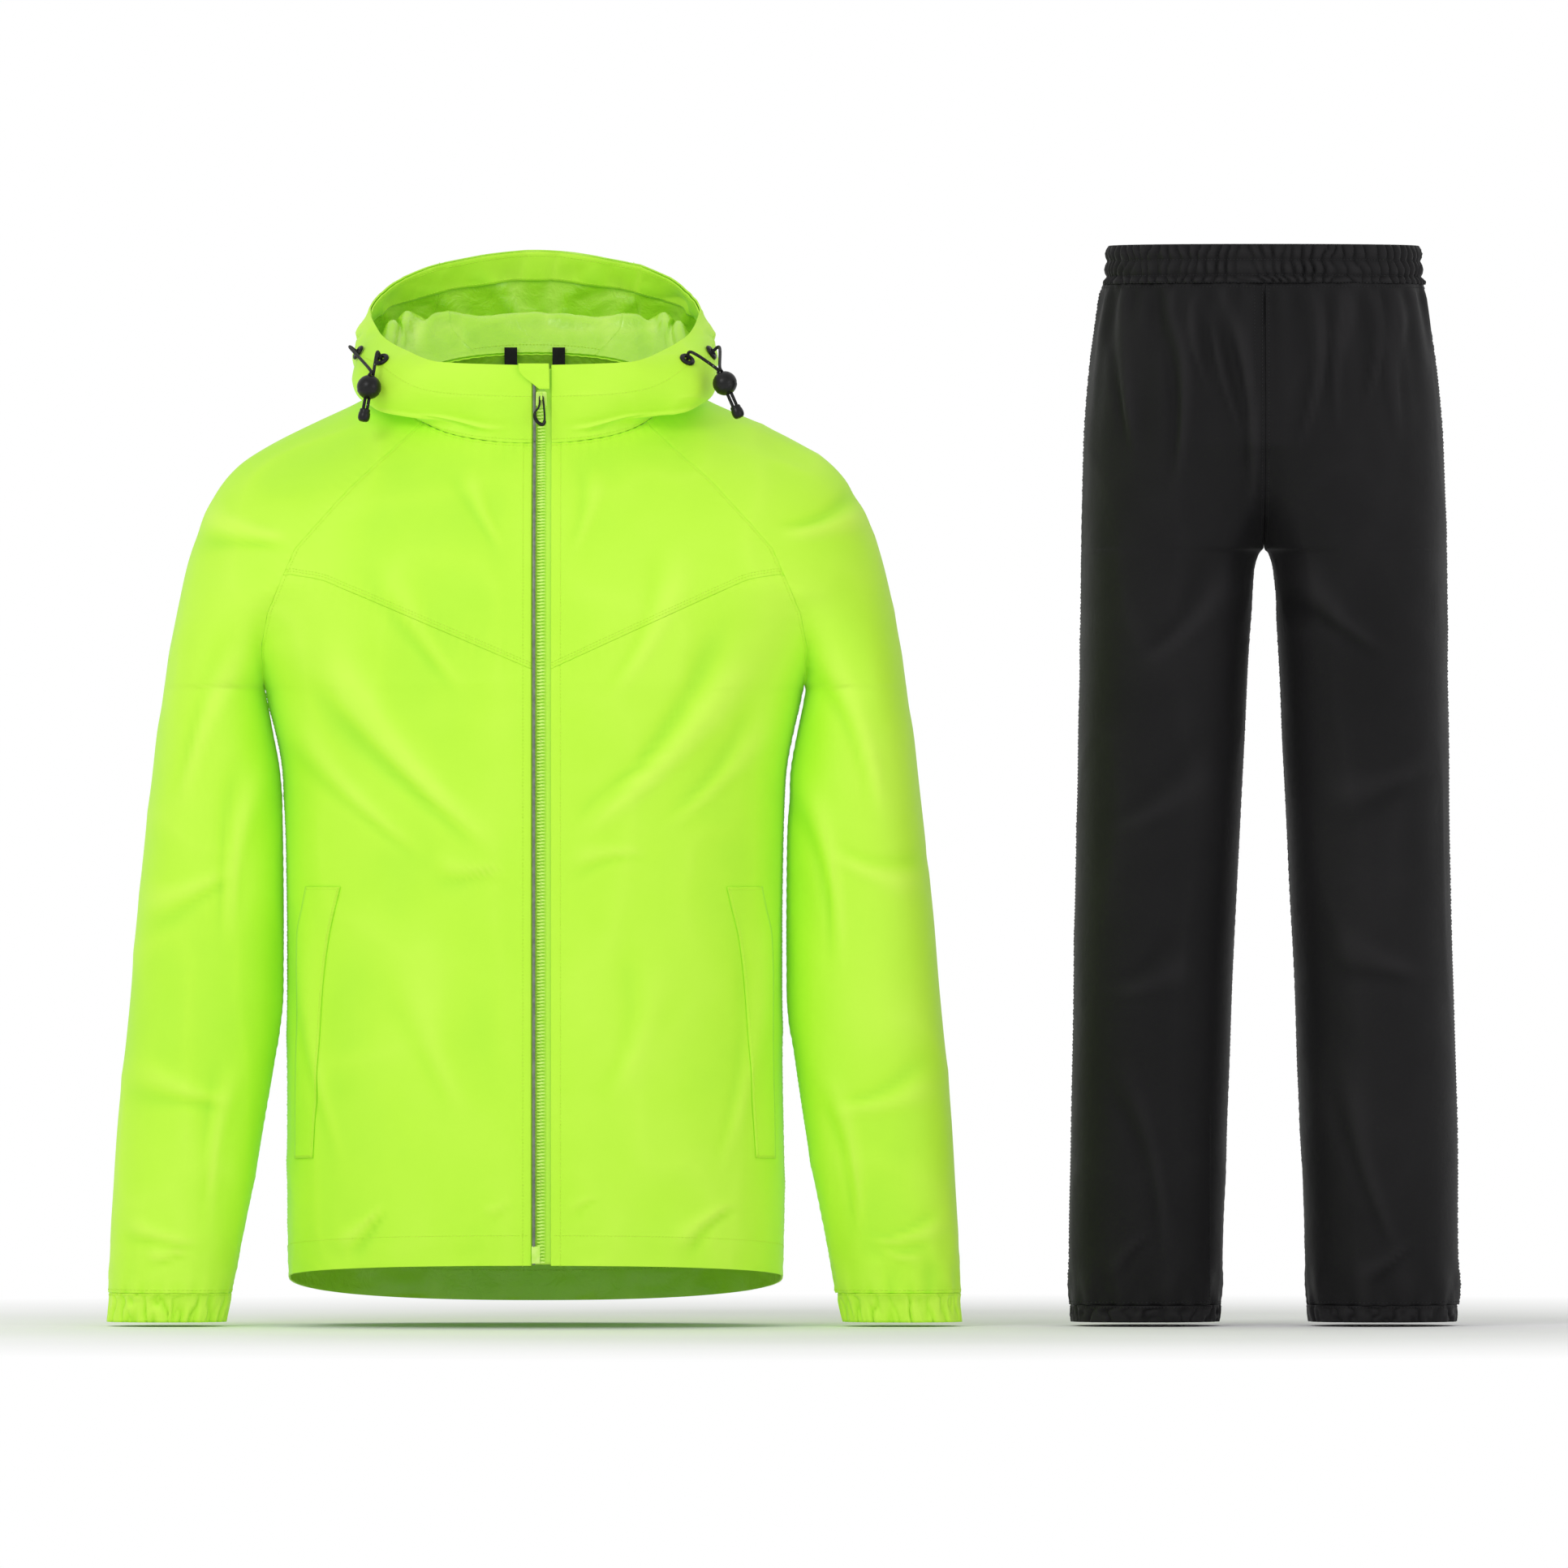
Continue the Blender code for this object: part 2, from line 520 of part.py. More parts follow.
def sheets_from(rows_at, rings, closed=False):
    """Sheets for panels that join side by side, from their rings."""
    grids = [np.array([ring[k] for ring in rings]) for k in range(len(rings[0]))]
    whole = np.concatenate([grids[0]] + [grid[:, 1:] for grid in grids[1:]], axis=1)
    if closed:
        wide = np.concatenate([whole[:, -2:-1], whole, whole[:, 1:2]], axis=1)
        across = (wide[:, 2:] - wide[:, :-2])
    else:
        across = np.gradient(whole, axis=1)
    along = np.gradient(whole, np.array(rows_at, float), axis=0)
    made = []
    start = 0
    for grid in grids:
        part = slice(start, start + grid.shape[1])
        made.append((whole[:, part], along[:, part], across[:, part]))
        start += grid.shape[1] - 1
    return made


def stacked(rows_at, upper, lower):
    """One sheet from an upper and a lower block of rows."""
    joined = [np.concatenate([a, b]) for a, b in zip(upper, lower)]
    return Sheet(rows_at, *joined)


def jacket_sheets():
    top = list(np.arange(0.0, SPLIT, 0.25))
    body = list(np.arange(0.0, len(BODY_RINGS) - 0.9, 0.25))
    arm = list(np.arange(0.0, len(ARM_RINGS) - 0.9, 0.25))
    upper = sheets_from(top, [shoulder_ring(v) for v in top])
    lower = sheets_from(body, [body_ring(v) for v in body])
    tube = sheets_from(arm, [[arm_ring(v)] for v in arm], closed=True)
    body_at = top + [SPLIT + v for v in body]
    arm_at = top + [SPLIT + v for v in arm]
    return {
        "front": stacked(body_at, upper[0], lower[0]),
        "sleeve": stacked(arm_at, upper[1], tube[0]),
        "back": stacked(body_at, upper[2], lower[1]),
    }


def trouser_sheets():
    top = list(np.arange(0.0, CROTCH, 0.25))
    leg = list(np.arange(0.0, len(LEG_RINGS) - 0.9, 0.25))
    upper = sheets_from(top, [hip_ring(v) for v in top])
    lower = sheets_from(leg, [leg_ring(v) for v in leg], closed=True)
    at = top + [CROTCH + v for v in leg]
    return {
        "front": stacked(at, upper[0], lower[0]),
        "back": stacked(at, upper[1], lower[1]),
    }


def spline_rows(control, count, offsets=None):
    """A smooth line through the control points, spread to this many points."""
    control = np.asarray(control, float)
    first = 2 * control[0] - control[1]
    last = 2 * control[-1] - control[-2]
    padded = np.concatenate([[first], control, [last]])
    made = []
    at = np.linspace(0, len(control) - 1, count) if offsets is None else offsets
    for value in at:
        i = min(int(value), len(control) - 2)
        t = value - i
        a, b, c, d = padded[i:i + 4]
        made.append(0.5 * (2 * b + (c - a) * t + (2 * a - 5 * b + 4 * c - d) * t * t
                           + (3 * b - a - 3 * c + d) * t**3))
    return np.array(made)


def hood_sheet():
    """The hood from the front zip (column 0) to the middle of the back (column 1)."""
    front, sleeve, back = shoulder_ring(0.0)
    neck = np.concatenate([front, sleeve[1:], back[1:]])
    places = np.array([row[0] for row in HOOD_PROFILES])
    steps = np.linalg.norm(np.diff(neck, axis=0), axis=1)
    along = np.concatenate([[0.0], np.cumsum(steps)])
    along /= along[-1]
    profiles = []
    for row in HOOD_PROFILES:
        start = [np.interp(row[0], along, neck[:, k]) for k in range(3)]
        control = np.array([start] + [[value * 0.001 for value in point] for point in row[1:]])
        profiles.append(spread_evenly(spline_rows(control, 121), HOOD_ROWS))
    places = np.append(places, 2.0 - places[-2])
    profiles = np.array(profiles + [profiles[-2] * (-1, 1, 1)])
    grid = np.empty((HOOD_ROWS, HOOD_COLUMNS, 3))
    at = np.linspace(0.0, 1.0, HOOD_COLUMNS)
    for i in range(HOOD_ROWS):
        for k in range(3):
            grid[i, :, k] = curve_through(places, profiles[:, i, k], at)
    for k in range(3):
        grid[0, :, k] = np.interp(at, along, neck[:, k])
    return Sheet(np.linspace(0.0, 1.0, HOOD_ROWS), grid, np.gradient(grid, axis=0),
                 np.gradient(grid, axis=1), turn=-1)


def crease_height(points, creases):
    """How far the cloth stands out at each point."""
    raised = np.zeros(points.shape[:-1])
    x = np.abs(points[..., 0])
    z = points[..., 2]
    for x0, z0, x1, z1, width, height in creases:
        long_x = x1 - x0
        long_z = z1 - z0
        length = math.hypot(long_x, long_z)
        t = ((x - x0) * long_x + (z - z0) * long_z) / length**2
        off = ((x - x0) * long_z - (z - z0) * long_x) / length
        ends = np.clip(np.minimum(t + 0.15, 1.15 - t) / 0.3, 0.0, 1.0)
        ends = ends * ends * (3 - 2 * ends)
        ridge = np.exp(-((off / width) ** 2)) - 0.6 * np.exp(-(((off - 1.7 * width) / width) ** 2))
        raised += height * ends * ridge
    return raised


def mesh_object(name, points, faces, material, collection):
    mesh = bpy.data.meshes.new(name)
    mesh.from_pydata([tuple(point) for point in points], [], faces)
    mesh.validate()
    mesh.materials.append(material)
    for polygon in mesh.polygons:
        polygon.use_smooth = True
    made = bpy.data.objects.new(name, mesh)
    collection.objects.link(made)
    return made


def shell(name, outer, inner, material, collection, flip=False):
    """A closed wall between two grids of points."""
    rows, wide = outer.shape[:2]
    points = np.concatenate([outer.reshape(-1, 3), inner.reshape(-1, 3)])
    size = rows * wide
    faces = []

    def quad(a, b, c, d):
        for face in ((a, b, c), (a, c, d)):
            faces.append(face[::-1] if flip else face)

    for i in range(rows - 1):
        for j in range(wide - 1):
            a, b = i * wide + j, (i + 1) * wide + j
            c, d = b + 1, a + 1
            quad(a, b, c, d)
            quad(size + a, size + d, size + c, size + b)
    last = (rows - 1) * wide
    for j in range(wide - 1):
        quad(j, j + 1, size + j + 1, size + j)
        quad(last + j + 1, last + j, size + last + j, size + last + j + 1)
    for i in range(rows - 1):
        a, b = i * wide, (i + 1) * wide
        quad(a, size + a, size + b, b)
        c, d = a + wide - 1, b + wide - 1
        quad(c, d, size + d, size + c)
    return mesh_object(name, points, faces, material, collection)


def panel_grids(sheet, v, u, creases=(), inset=(1, 1, 1, 1), lift=0.0, wall=WALL):
    """Outer and inner points of a panel, with its seam edges drawn in.

    inset says for top, bottom, first and last column whether that edge is drawn in.
    """
    point, normal, along, across = sheet.sample(v, u)
    if creases:
        rows, wide = point.shape[:2]
        edge = np.minimum(np.arange(wide), np.arange(wide)[::-1])[None, :]
        ends = np.minimum(np.arange(rows), np.arange(rows)[::-1])[:, None]
        free = np.where((edge == 0) | (ends == 0), 0.0, 1.0)
        raised = crease_height(point, creases) * free
        point = point + normal * raised[..., None]
    half = SEAM / 2
    shift = np.zeros_like(point)
    if inset[0]:
        shift[0] += along[0] * half
    if inset[1]:
        shift[-1] -= along[-1] * half
    if inset[2]:
        shift[:, 0] += across[:, 0] * half
    if inset[3]:
        shift[:, -1] -= across[:, -1] * half
    outer = point + shift + normal * lift
    inner = point + shift + normal * (lift - wall)
    return outer, inner


def mirrored(grid, side):
    return grid * (side, 1, 1)


def add_panel(name, sheet, v, u, side, material, collection, offset=0.0, **options):
    outer, inner = panel_grids(sheet, v, u, **options)
    move = np.array([offset, 0, 0])
    outer = mirrored(outer, side) + move
    inner = mirrored(inner, side) + move
    return shell(name, outer, inner, material, collection, flip=side * sheet.turn < 0)


def grid_of(rows, cols):
    v, u = np.meshgrid(np.array(rows, float), np.array(cols, float), indexing="ij")
    return v, u


def front_start(sheet, v, x):
    """The column where the front's edge lies at this distance from the middle."""
    found = np.empty_like(v)
    columns_at = np.linspace(0, 0.25 if sheet.turn < 0 else 1.0, 121)
    for i, value in enumerate(v):
        point = sheet.sample(np.full(121, value), columns_at)[0]
        found[i] = np.interp(x, point[:, 0], columns_at)
    return found


def yoke_rows(sheet, u):
    """The row at which the yoke seam crosses each column."""
    rows_at = np.linspace(4.0, 15.0, 300)
    found = []
    for column in u:
        point = sheet.sample(rows_at, np.full(300, column))[0]
        line = np.interp(point[:, 0], [p[0] for p in YOKE_LINE], [p[1] for p in YOKE_LINE])
        above = point[:, 2] - line
        crossing = np.nonzero((above[:-1] > 0) & (above[1:] <= 0))[0]
        found.append(rows_at[crossing[0]] if len(crossing) else 8.0)
    return np.array(found)


def front_grids(sheet, edge_x):
    """Rows and columns of the yoke and of the front below it."""
    raglan_row = TOP_ROWS[-1]
    last = LOWER_ROWS[-1]
    share = np.linspace(0, 1, FRONT_SPANS + 1)
    seam = yoke_rows(sheet, share)
    seam[-1] = raglan_row
    top_v = np.array(TOP_ROWS, float)[:, None] * (seam / raglan_row)[None, :]
    below = np.array(LOWER_ROWS, float)[:, None]
    low_v = seam[None, :] + (below - raglan_row) * ((last - seam) / (last - raglan_row))[None, :]
    grids = []
    for v in (top_v, low_v):
        first = front_start(sheet, v[:, 0], edge_x)
        u = first[:, None] + (1 - first)[:, None] * share[None, :]
        grids.append((v, u))
    return grids


def make_jacket_body(sheets, cloth, collection):
    for side, edge_x, tag in ((1, ZIP_LEFT_X, "left"), (-1, -ZIP_RIGHT_X, "right")):
        yoke, lower = front_grids(sheets["front"], edge_x)
        add_panel(f"jacket_yoke_{tag}", sheets["front"], *yoke, side, cloth, collection,
                  inset=(1, 1, 0, 1))
        add_panel(f"jacket_front_{tag}", sheets["front"], *lower, side, cloth, collection,
                  inset=(1, 0, 0, 1), creases=FRONT_CREASES)
        v, u = grid_of(ARM_ROWS, np.linspace(0, 1, ARM_SPANS + 1))
        add_panel(f"jacket_sleeve_{tag}", sheets["sleeve"], v, u, side, cloth, collection,
                  creases=ARM_CREASES)
    make_back(sheets["back"], cloth, collection)


def make_back(sheet, cloth, collection):
    v, u = grid_of(BACK_ROWS, np.linspace(0, 1, BACK_SPANS + 1))
    outer, inner = panel_grids(sheet, v, u, creases=FRONT_CREASES, inset=(1, 0, 1, 0))
    other = outer[:, :-1][:, ::-1] * (-1, 1, 1)
    other_in = inner[:, :-1][:, ::-1] * (-1, 1, 1)
    outer[:, -1, 0] = 0.0
    inner[:, -1, 0] = 0.0
    shell("jacket_back", np.concatenate([outer, other], axis=1),
          np.concatenate([inner, other_in], axis=1), cloth, collection)


def waved(ring, waves, height, start=0.0):
    """A closed ring with gathers: its points moved in and out in turn."""
    centre = ring.mean(axis=0)
    away = unit((ring - centre) * (1, 1, 0))
    steps = np.linalg.norm(np.diff(np.concatenate([ring, ring[:1]]), axis=0), axis=1)
    along = np.concatenate([[0.0], np.cumsum(steps)])[:-1] / steps.sum()
    return ring + away * (height * np.cos(2 * math.pi * waves * along + start))[:, None]


def tube_rings(rows, ring_of, count):
    rings = []
    for i in range(len(rows)):
        ring = spread_evenly(ring_of(i), count + 1)[:-1]
        rings.append(ring)
    return np.array(rings)


def gathered_tube(name, rings, waves, heights, wall, material, collection, flip=False):
    """A short tube with a waved outside and a plain inside."""
    outer = np.array([waved(ring, waves, height) for ring, height in zip(rings, heights)])
    ends = rings[[-1, 0]]
    away = unit((ends - ends.mean(axis=1, keepdims=True)) * (1, 1, 0))
    inner = ends - away * (wall + np.max(heights))
    points = np.concatenate([outer.reshape(-1, 3), inner.reshape(-1, 3)])
    rows, wide = len(outer) + 2, outer.shape[1]
    faces = []
    for i in range(rows):
        below = (i + 1) % rows
        for j in range(wide):
            k = (j + 1) % wide
            face = (i * wide + j, below * wide + j, below * wide + k, i * wide + k)
            faces.append(face[::-1] if flip else face)
    return mesh_object(name, points, faces, material, collection)


def make_cuffs(cloth, collection):
    for side, tag in ((1, "left"), (-1, "right")):
        rings = tube_rings(CUFF_RINGS, lambda v: arm_ring(v, CUFF_RINGS), 2 * CUFF_WAVES)
        rings[0, :, 2] -= SEAM
        rings = rings * (side, 1, 1)
        gathered_tube(f"jacket_cuff_{tag}", rings, CUFF_WAVES, CUFF_WAVE_HEIGHTS,
                      BAND_WALL, cloth, collection, flip=side < 0)


def leg_tube(v, rows):
    front, back = leg_ring(v, rows)
    return np.concatenate([front, back[1:]])


def make_trousers(sheets, cloth, collection):
    rows = TROUSER_ROWS
    share = np.linspace(0, 1, TROUSER_SPANS + 1)
    for side, tag in ((1, "left"), (-1, "right")):
        for part in ("front", "back"):
            v, u = grid_of(rows, share)
            add_panel(f"trousers_{part}_{tag}", sheets[part], v, u, side, cloth, collection,
                      offset=TROUSERS_X, creases=TROUSER_CREASES)
        rings = tube_rings(LEG_HEM_RINGS, lambda v: leg_tube(v, LEG_HEM_RINGS), 2 * HEM_WAVES)
        rings[0, :, 2] -= SEAM
        rings = rings * (side, 1, 1) + (TROUSERS_X, 0, 0)
        gathered_tube(f"trousers_hem_{tag}", rings, HEM_WAVES, HEM_WAVE_HEIGHTS,
                      BAND_WALL, cloth, collection, flip=side < 0)


def waist_ring(i):
    values = dict(zip(WAIST_COLUMNS, WAIST_RINGS[i]))
    turn = np.linspace(0.0, 2 * math.pi, 1441)
    cosine = -np.cos(turn)
    sine = -np.sin(turn)
    power = 2 / BODY_POWER
    x = values["half"] * np.sign(cosine) * np.abs(cosine) ** power
    depth = np.where(sine < 0, values["front"], values["back"])
    y = depth * np.sign(sine) * np.abs(sine) ** power
    return np.stack([x, y, np.full_like(x, values["z"])], axis=1)


def make_waistband(cloth, collection):
    rings = tube_rings(WAIST_RINGS, waist_ring, 2 * WAIST_WAVES)
    rings[-1, :, 2] += SEAM
    rings = rings + (TROUSERS_X, 0, 0)
    heights = [row[-1] for row in WAIST_RINGS]
    gathered_tube("trousers_waistband", rings, WAIST_WAVES, heights, BAND_WALL, cloth, collection)


def make_hood(sheet, cloth, inside, collection):
    for side, edge_x, tag in ((1, ZIP_LEFT_X, "left"), (-1, -ZIP_RIGHT_X, "right")):
        v, u = grid_of(HOOD_V, (0.0,) + HOOD_SIDE_U)
        u[:, 0] = front_start(sheet, v[:, 0], edge_x)
        add_panel(f"hood_side_{tag}", sheet, v, u, side, cloth, collection, inset=(1, 0, 0, 1))
    v, u = grid_of(HOOD_V, HOOD_CENTRE_U)
    outer, inner = panel_grids(sheet, v, u, inset=(1, 0, 1, 0))
    both_shells("hood_centre", outer, inner, cloth, collection)
    make_facing(sheet, inside, collection)


def both_shells(name, outer, inner, cloth, collection):
    """A panel across the middle, from its left half."""
    outer[:, -1, 0] = 0.0
    inner[:, -1, 0] = 0.0
    other = outer[:, :-1][:, ::-1] * (-1, 1, 1)
    other_in = inner[:, :-1][:, ::-1] * (-1, 1, 1)
    shell(name, np.concatenate([outer, other], axis=1),
          np.concatenate([inner, other_in], axis=1), cloth, collection, flip=True)


def facing_start(sheet, u):
    """The row at which the facing begins, so that it is as wide as sewn."""
    rows_at = np.linspace(0.5, 1.0, 100)
    found = []
    for column in u:
        point = sheet.sample(rows_at, np.full(100, column))[0]
        left = np.linalg.norm(np.diff(point, axis=0), axis=1)[::-1].cumsum()
        found.append(1.0 - 0.5 * np.searchsorted(left, FACING_WIDTH) / 99)
    return np.array(found)


def make_facing(sheet, inside, collection):
    """The band sewn inside the hood's edge."""
    share = np.array(FACING_U)
    first = facing_start(sheet, share)
    rows = [first, np.maximum(first + 0.01, HOOD_V[-3]), np.maximum(first + 0.02, HOOD_V[-2]),
            np.full_like(first, 1.0 - 0.004)]
    v = np.stack(rows)
    u = np.broadcast_to(share, v.shape)
    outer, inner = panel_grids(sheet, v, u, inset=(0, 0, 0, 0), lift=-WALL - FACING_GAP, wall=FLAP_WALL)
    both_shells("hood_facing", outer, inner, inside, collection)


def tube(name, points, radius, material, collection, sides=2):
    """A cord as a bevelled line through the points."""
    curve = bpy.data.curves.new(name, "CURVE")
    curve.dimensions = "3D"
    curve.bevel_depth = radius
    curve.bevel_resolution = sides
    curve.use_fill_caps = True
    line = curve.splines.new("POLY")
    line.points.add(len(points) - 1)
    for place, point in zip(line.points, points):
        place.co = (*point, 1.0)
    curve.materials.append(material)
    made = bpy.data.objects.new(name, curve)
    collection.objects.link(made)
    return made


def zip_line(sheets, hood, x, bottom, top):
    """The jacket's front surface along the zip at this x, on the panels' own rows.

    bottom and top say how much of the last row at each end is used.
    """
    front = sheets["front"]
    edge_x = ZIP_LEFT_X if x > 0 else -ZIP_RIGHT_X
    (top_v, _), (low_v, _) = front_grids(front, edge_x)
    rows = np.concatenate([low_v[::-1, 0], top_v[::-1, 0][1:]])
    rows[0] = rows[1] + (rows[0] - rows[1]) * bottom
    line = front.sample(rows, front_start(front, rows, abs(x)))
    s = np.array([value for value in HOOD_V[1:] if value < top] + [top])
    upper = hood.sample(s, front_start(hood, s, abs(x)))
    point = np.concatenate([line[0], upper[0]])
    normal = np.concatenate([line[1][:-1], unit(line[1][-1:] + upper[1][:1]), upper[1]])
    point[:, 0] = x
    normal[:, 0] = 0.0
    return point, unit(normal)


def strip(name, lines, lift, wall, material, collection):
    """A flat band across several lines, lifted off them."""
    outer = np.stack([point + normal * lift for point, normal in lines], axis=1)
    inner = np.stack([point + normal * (lift - wall) for point, normal in lines], axis=1)
    return shell(name, outer[::-1], inner[::-1], material, collection)


def make_zip(sheets, hood, materials, collection):
    tape = [zip_line(sheets, hood, x, 0.96, 0.95) for x in TAPE_X]
    strip("zip_tape", tape, TAPE_LIFT, TAPE_WALL, materials["cloth"], collection)
    teeth = [zip_line(sheets, hood, x, 0.94, 0.93) for x in TEETH_X]
    strip("zip_teeth", teeth, TEETH_LIFT, TEETH_WALL, materials["teeth"], collection)
    point, normal = zip_line(sheets, hood, PIPING_X, 0.96, 0.93)
    line = point + normal * PIPING_LIFT
    tube("reflective_piping", line, PIPING_RADIUS, materials["grey"], collection, sides=1)


def box_mesh(name, size, centre, material, collection, bevel):
    bpy.ops.mesh.primitive_cube_add(size=1.0, location=(0, 0, 0))
    made = bpy.context.object
    made.name = name
    for vertex in made.data.vertices:
        vertex.co = Vector((vertex.co[k] * size[k] + centre[k] for k in range(3)))
    for owner in list(made.users_collection):
        owner.objects.unlink(made)
    collection.objects.link(made)
    made.data.materials.append(material)
    cut = made.modifiers.new("edges", "BEVEL")
    cut.width = bevel
    cut.segments = 1
    return made


def front_place(sheets, hood, x, z):
    """Point and normal of the jacket's front or collar at this place."""
    best = None
    for sheet, low, high in ((sheets["front"], 0.0, sheets["front"].rows_at[-1]), (hood, 0.0, 1.0)):
        v = np.linspace(low, high, 800)
        u = front_start(sheet, v, abs(x))
        point, normal = sheet.sample(v, u)[:2]
        off = np.hypot(point[:, 2] - z, (point[:, 0] - abs(x)))
        k = int(np.argmin(off))
        if best is None or off[k] < best[0]:
            best = (off[k], point[k], normal[k])
    sign = -1.0 if x < 0 else 1.0
    return best[1] * (sign, 1, 1), best[2] * (sign, 1, 1)


def make_slider(sheets, hood, materials, collection):
    place, normal = front_place(sheets, hood, ZIP_MID_X, SLIDER_Z)
    front = place[1] - SLIDER_OFF
    slider = box_mesh("zip_slider", SLIDER_SIZE, (ZIP_MID_X, front - SLIDER_SIZE[1] / 2, SLIDER_Z),
                      materials["black"], collection, bevel=0.0009)
    pivot = (ZIP_MID_X, front - SLIDER_SIZE[1] - PULL_OUT, PULL_Z)
    eye = ring_solid("slider_eye", pivot, (1, 0, 0), EYE_RADIUS, EYE_WIRE, materials["black"],
                     cutters_of(collection))
    eye.hide_render = True
    eye.display_type = "WIRE"
    joined = slider.modifiers.new("eye", "BOOLEAN")
    joined.operation = "UNION"
    joined.solver = "EXACT"
    joined.object = eye
    make_pull(pivot, materials, collection)
    make_garage(sheets, hood, materials, collection)


def cutters_of(collection):
    name = "rain_suit_helpers"
    made = bpy.data.collections.get(name)
    if made is None:
        made = bpy.data.collections.new(name)
        bpy.context.scene.collection.children.link(made)
        made.hide_render = True
    return made


def make_pull(pivot, materials, collection):
    """The loop of cord that hangs from the slider's eye."""
    turn = np.linspace(0, 2 * math.pi, 21)[:-1]
    long = PULL_LENGTH / 2
    wide = PULL_WIDTH / 2
    x = pivot[0] + wide * np.sign(np.sin(turn)) * np.abs(np.sin(turn)) ** 0.7
    z = pivot[2] - long + long * np.cos(turn)
    curve = bpy.data.curves.new("zip_pull", "CURVE")
    curve.dimensions = "3D"
    curve.bevel_depth = PULL_RADIUS
    curve.bevel_resolution = 1
    line = curve.splines.new("POLY")
    line.points.add(len(turn) - 1)
    for place, at_x, at_z in zip(line.points, x, z):
        place.co = (at_x, pivot[1], at_z, 1.0)
    line.use_cyclic_u = True
    curve.materials.append(materials["black"])
    made = bpy.data.objects.new("zip_pull", curve)
    collection.objects.link(made)


def make_garage(sheets, hood, materials, collection):
    """The small flap that covers the top of the zip."""
    outer = []
    for z, x0, x1 in GARAGE_ROWS:
        place, normal = front_place(sheets, hood, ZIP_MID_X, min(z, GARAGE_FLAT_FROM))
        y = place[1] - GARAGE_OFF
        outer.append([(x0 + (x1 - x0) * t, y, z) for t in (0.0, 0.5, 1.0)])
    outer = np.array(outer)
    inner = outer + (0, FLAP_WALL, 0)
    shell("zip_garage", outer, inner, materials["cloth"], collection)


def make_pockets(sheets, cloth, collection):
    """The pocket flaps, laid over the fronts beside the side seams."""
    sheet = sheets["front"]
    for side, tag in ((1, "left"), (-1, "right")):
        v = []
        u = []
        for z, x0, x1 in POCKET_ROWS:
            at = np.linspace(15.0, 25.0, 400)
            heights = sheet.sample(at, np.full(400, 0.8))[0][:, 2]
            row = float(np.interp(-z, -heights, at))
            ends = [float(front_start(sheet, np.array([row]), x)[0]) for x in (x0, x1)]
            u.append(np.linspace(ends[0], ends[1], 4))
            v.append(np.full(4, row))
        add_panel(f"pocket_flap_{tag}", sheet, np.array(v), np.array(u), side, cloth, collection,
                  inset=(0, 0, 0, 0), lift=POCKET_GAP + FLAP_WALL, wall=FLAP_WALL)


def make_hanger(black, collection):
    """The tape loop inside the back of the neck."""
    points = [(x, HANGER_Y, z) for x, z in HANGER_OUTLINE]
    points += [(x, HANGER_Y + FLAP_WALL, z) for x, z in HANGER_OUTLINE]
    count = len(HANGER_OUTLINE)
    faces = [(0, 1, 2, 7), (2, 3, 6, 7), (3, 4, 5, 6)]
    faces = [tuple(face[::-1]) for face in faces]
    faces += [tuple(k + count for k in face[::-1]) for face in faces]
    for i in range(count):
        k = (i + 1) % count
        faces.append((i, k, k + count, i + count))
    made = mesh_object("hanger_loop", points, faces, black, collection)
    return made


def frame_to(direction):
    """The turn that brings +Z to this direction."""
    return Vector(direction).to_track_quat("Z", "Y").to_matrix().to_4x4()


def ring_solid(name, centre, direction, radius, wire, material, collection):
    bpy.ops.mesh.primitive_torus_add(major_radius=radius, minor_radius=wire, major_segments=12,
                                     minor_segments=4, location=(0, 0, 0))
    made = bpy.context.object
    made.name = name
    turn = frame_to(direction)
    for vertex in made.data.vertices:
        vertex.co = turn @ vertex.co + Vector(centre)
    for owner in list(made.users_collection):
        owner.objects.unlink(made)
    collection.objects.link(made)
    made.data.materials.append(material)
    return made


def lathe(name, profile, centre, direction, material, collection, steps=12):
    """A turned solid: rings of the profile, given as radius and height, joined round."""
    turn = np.array(frame_to(direction).to_3x3())
    angles = np.linspace(0, 2 * math.pi, steps + 1)[:-1]
    points = []
    for radius, height in profile:
        for angle in angles:
            spot = np.array([radius * math.cos(angle), radius * math.sin(angle), height])
            points.append(turn @ spot + np.array(centre))
    faces = []
    count = len(profile)
    for i in range(count):
        n = (i + 1) % count
        for j in range(steps):
            k = (j + 1) % steps
            faces.append((i * steps + j, i * steps + k, n * steps + k, n * steps + j))
    return mesh_object(name, points, faces, material, collection)


def lock_profile():
    """Radius and height round a ball with a bore through it."""
    made = []
    limit = math.asin(LOCK_BORE / LOCK_RADIUS)
    for angle in np.linspace(math.pi - limit, limit, 8):
        made.append((LOCK_RADIUS * math.sin(angle), LOCK_RADIUS * math.cos(angle)))
    return made


def hood_place(hood, side, u, v):
    point, normal = hood.sample(np.array([v]), np.array([u]))[:2]
    return point[0] * (side, 1, 1), normal[0] * (side, 1, 1)


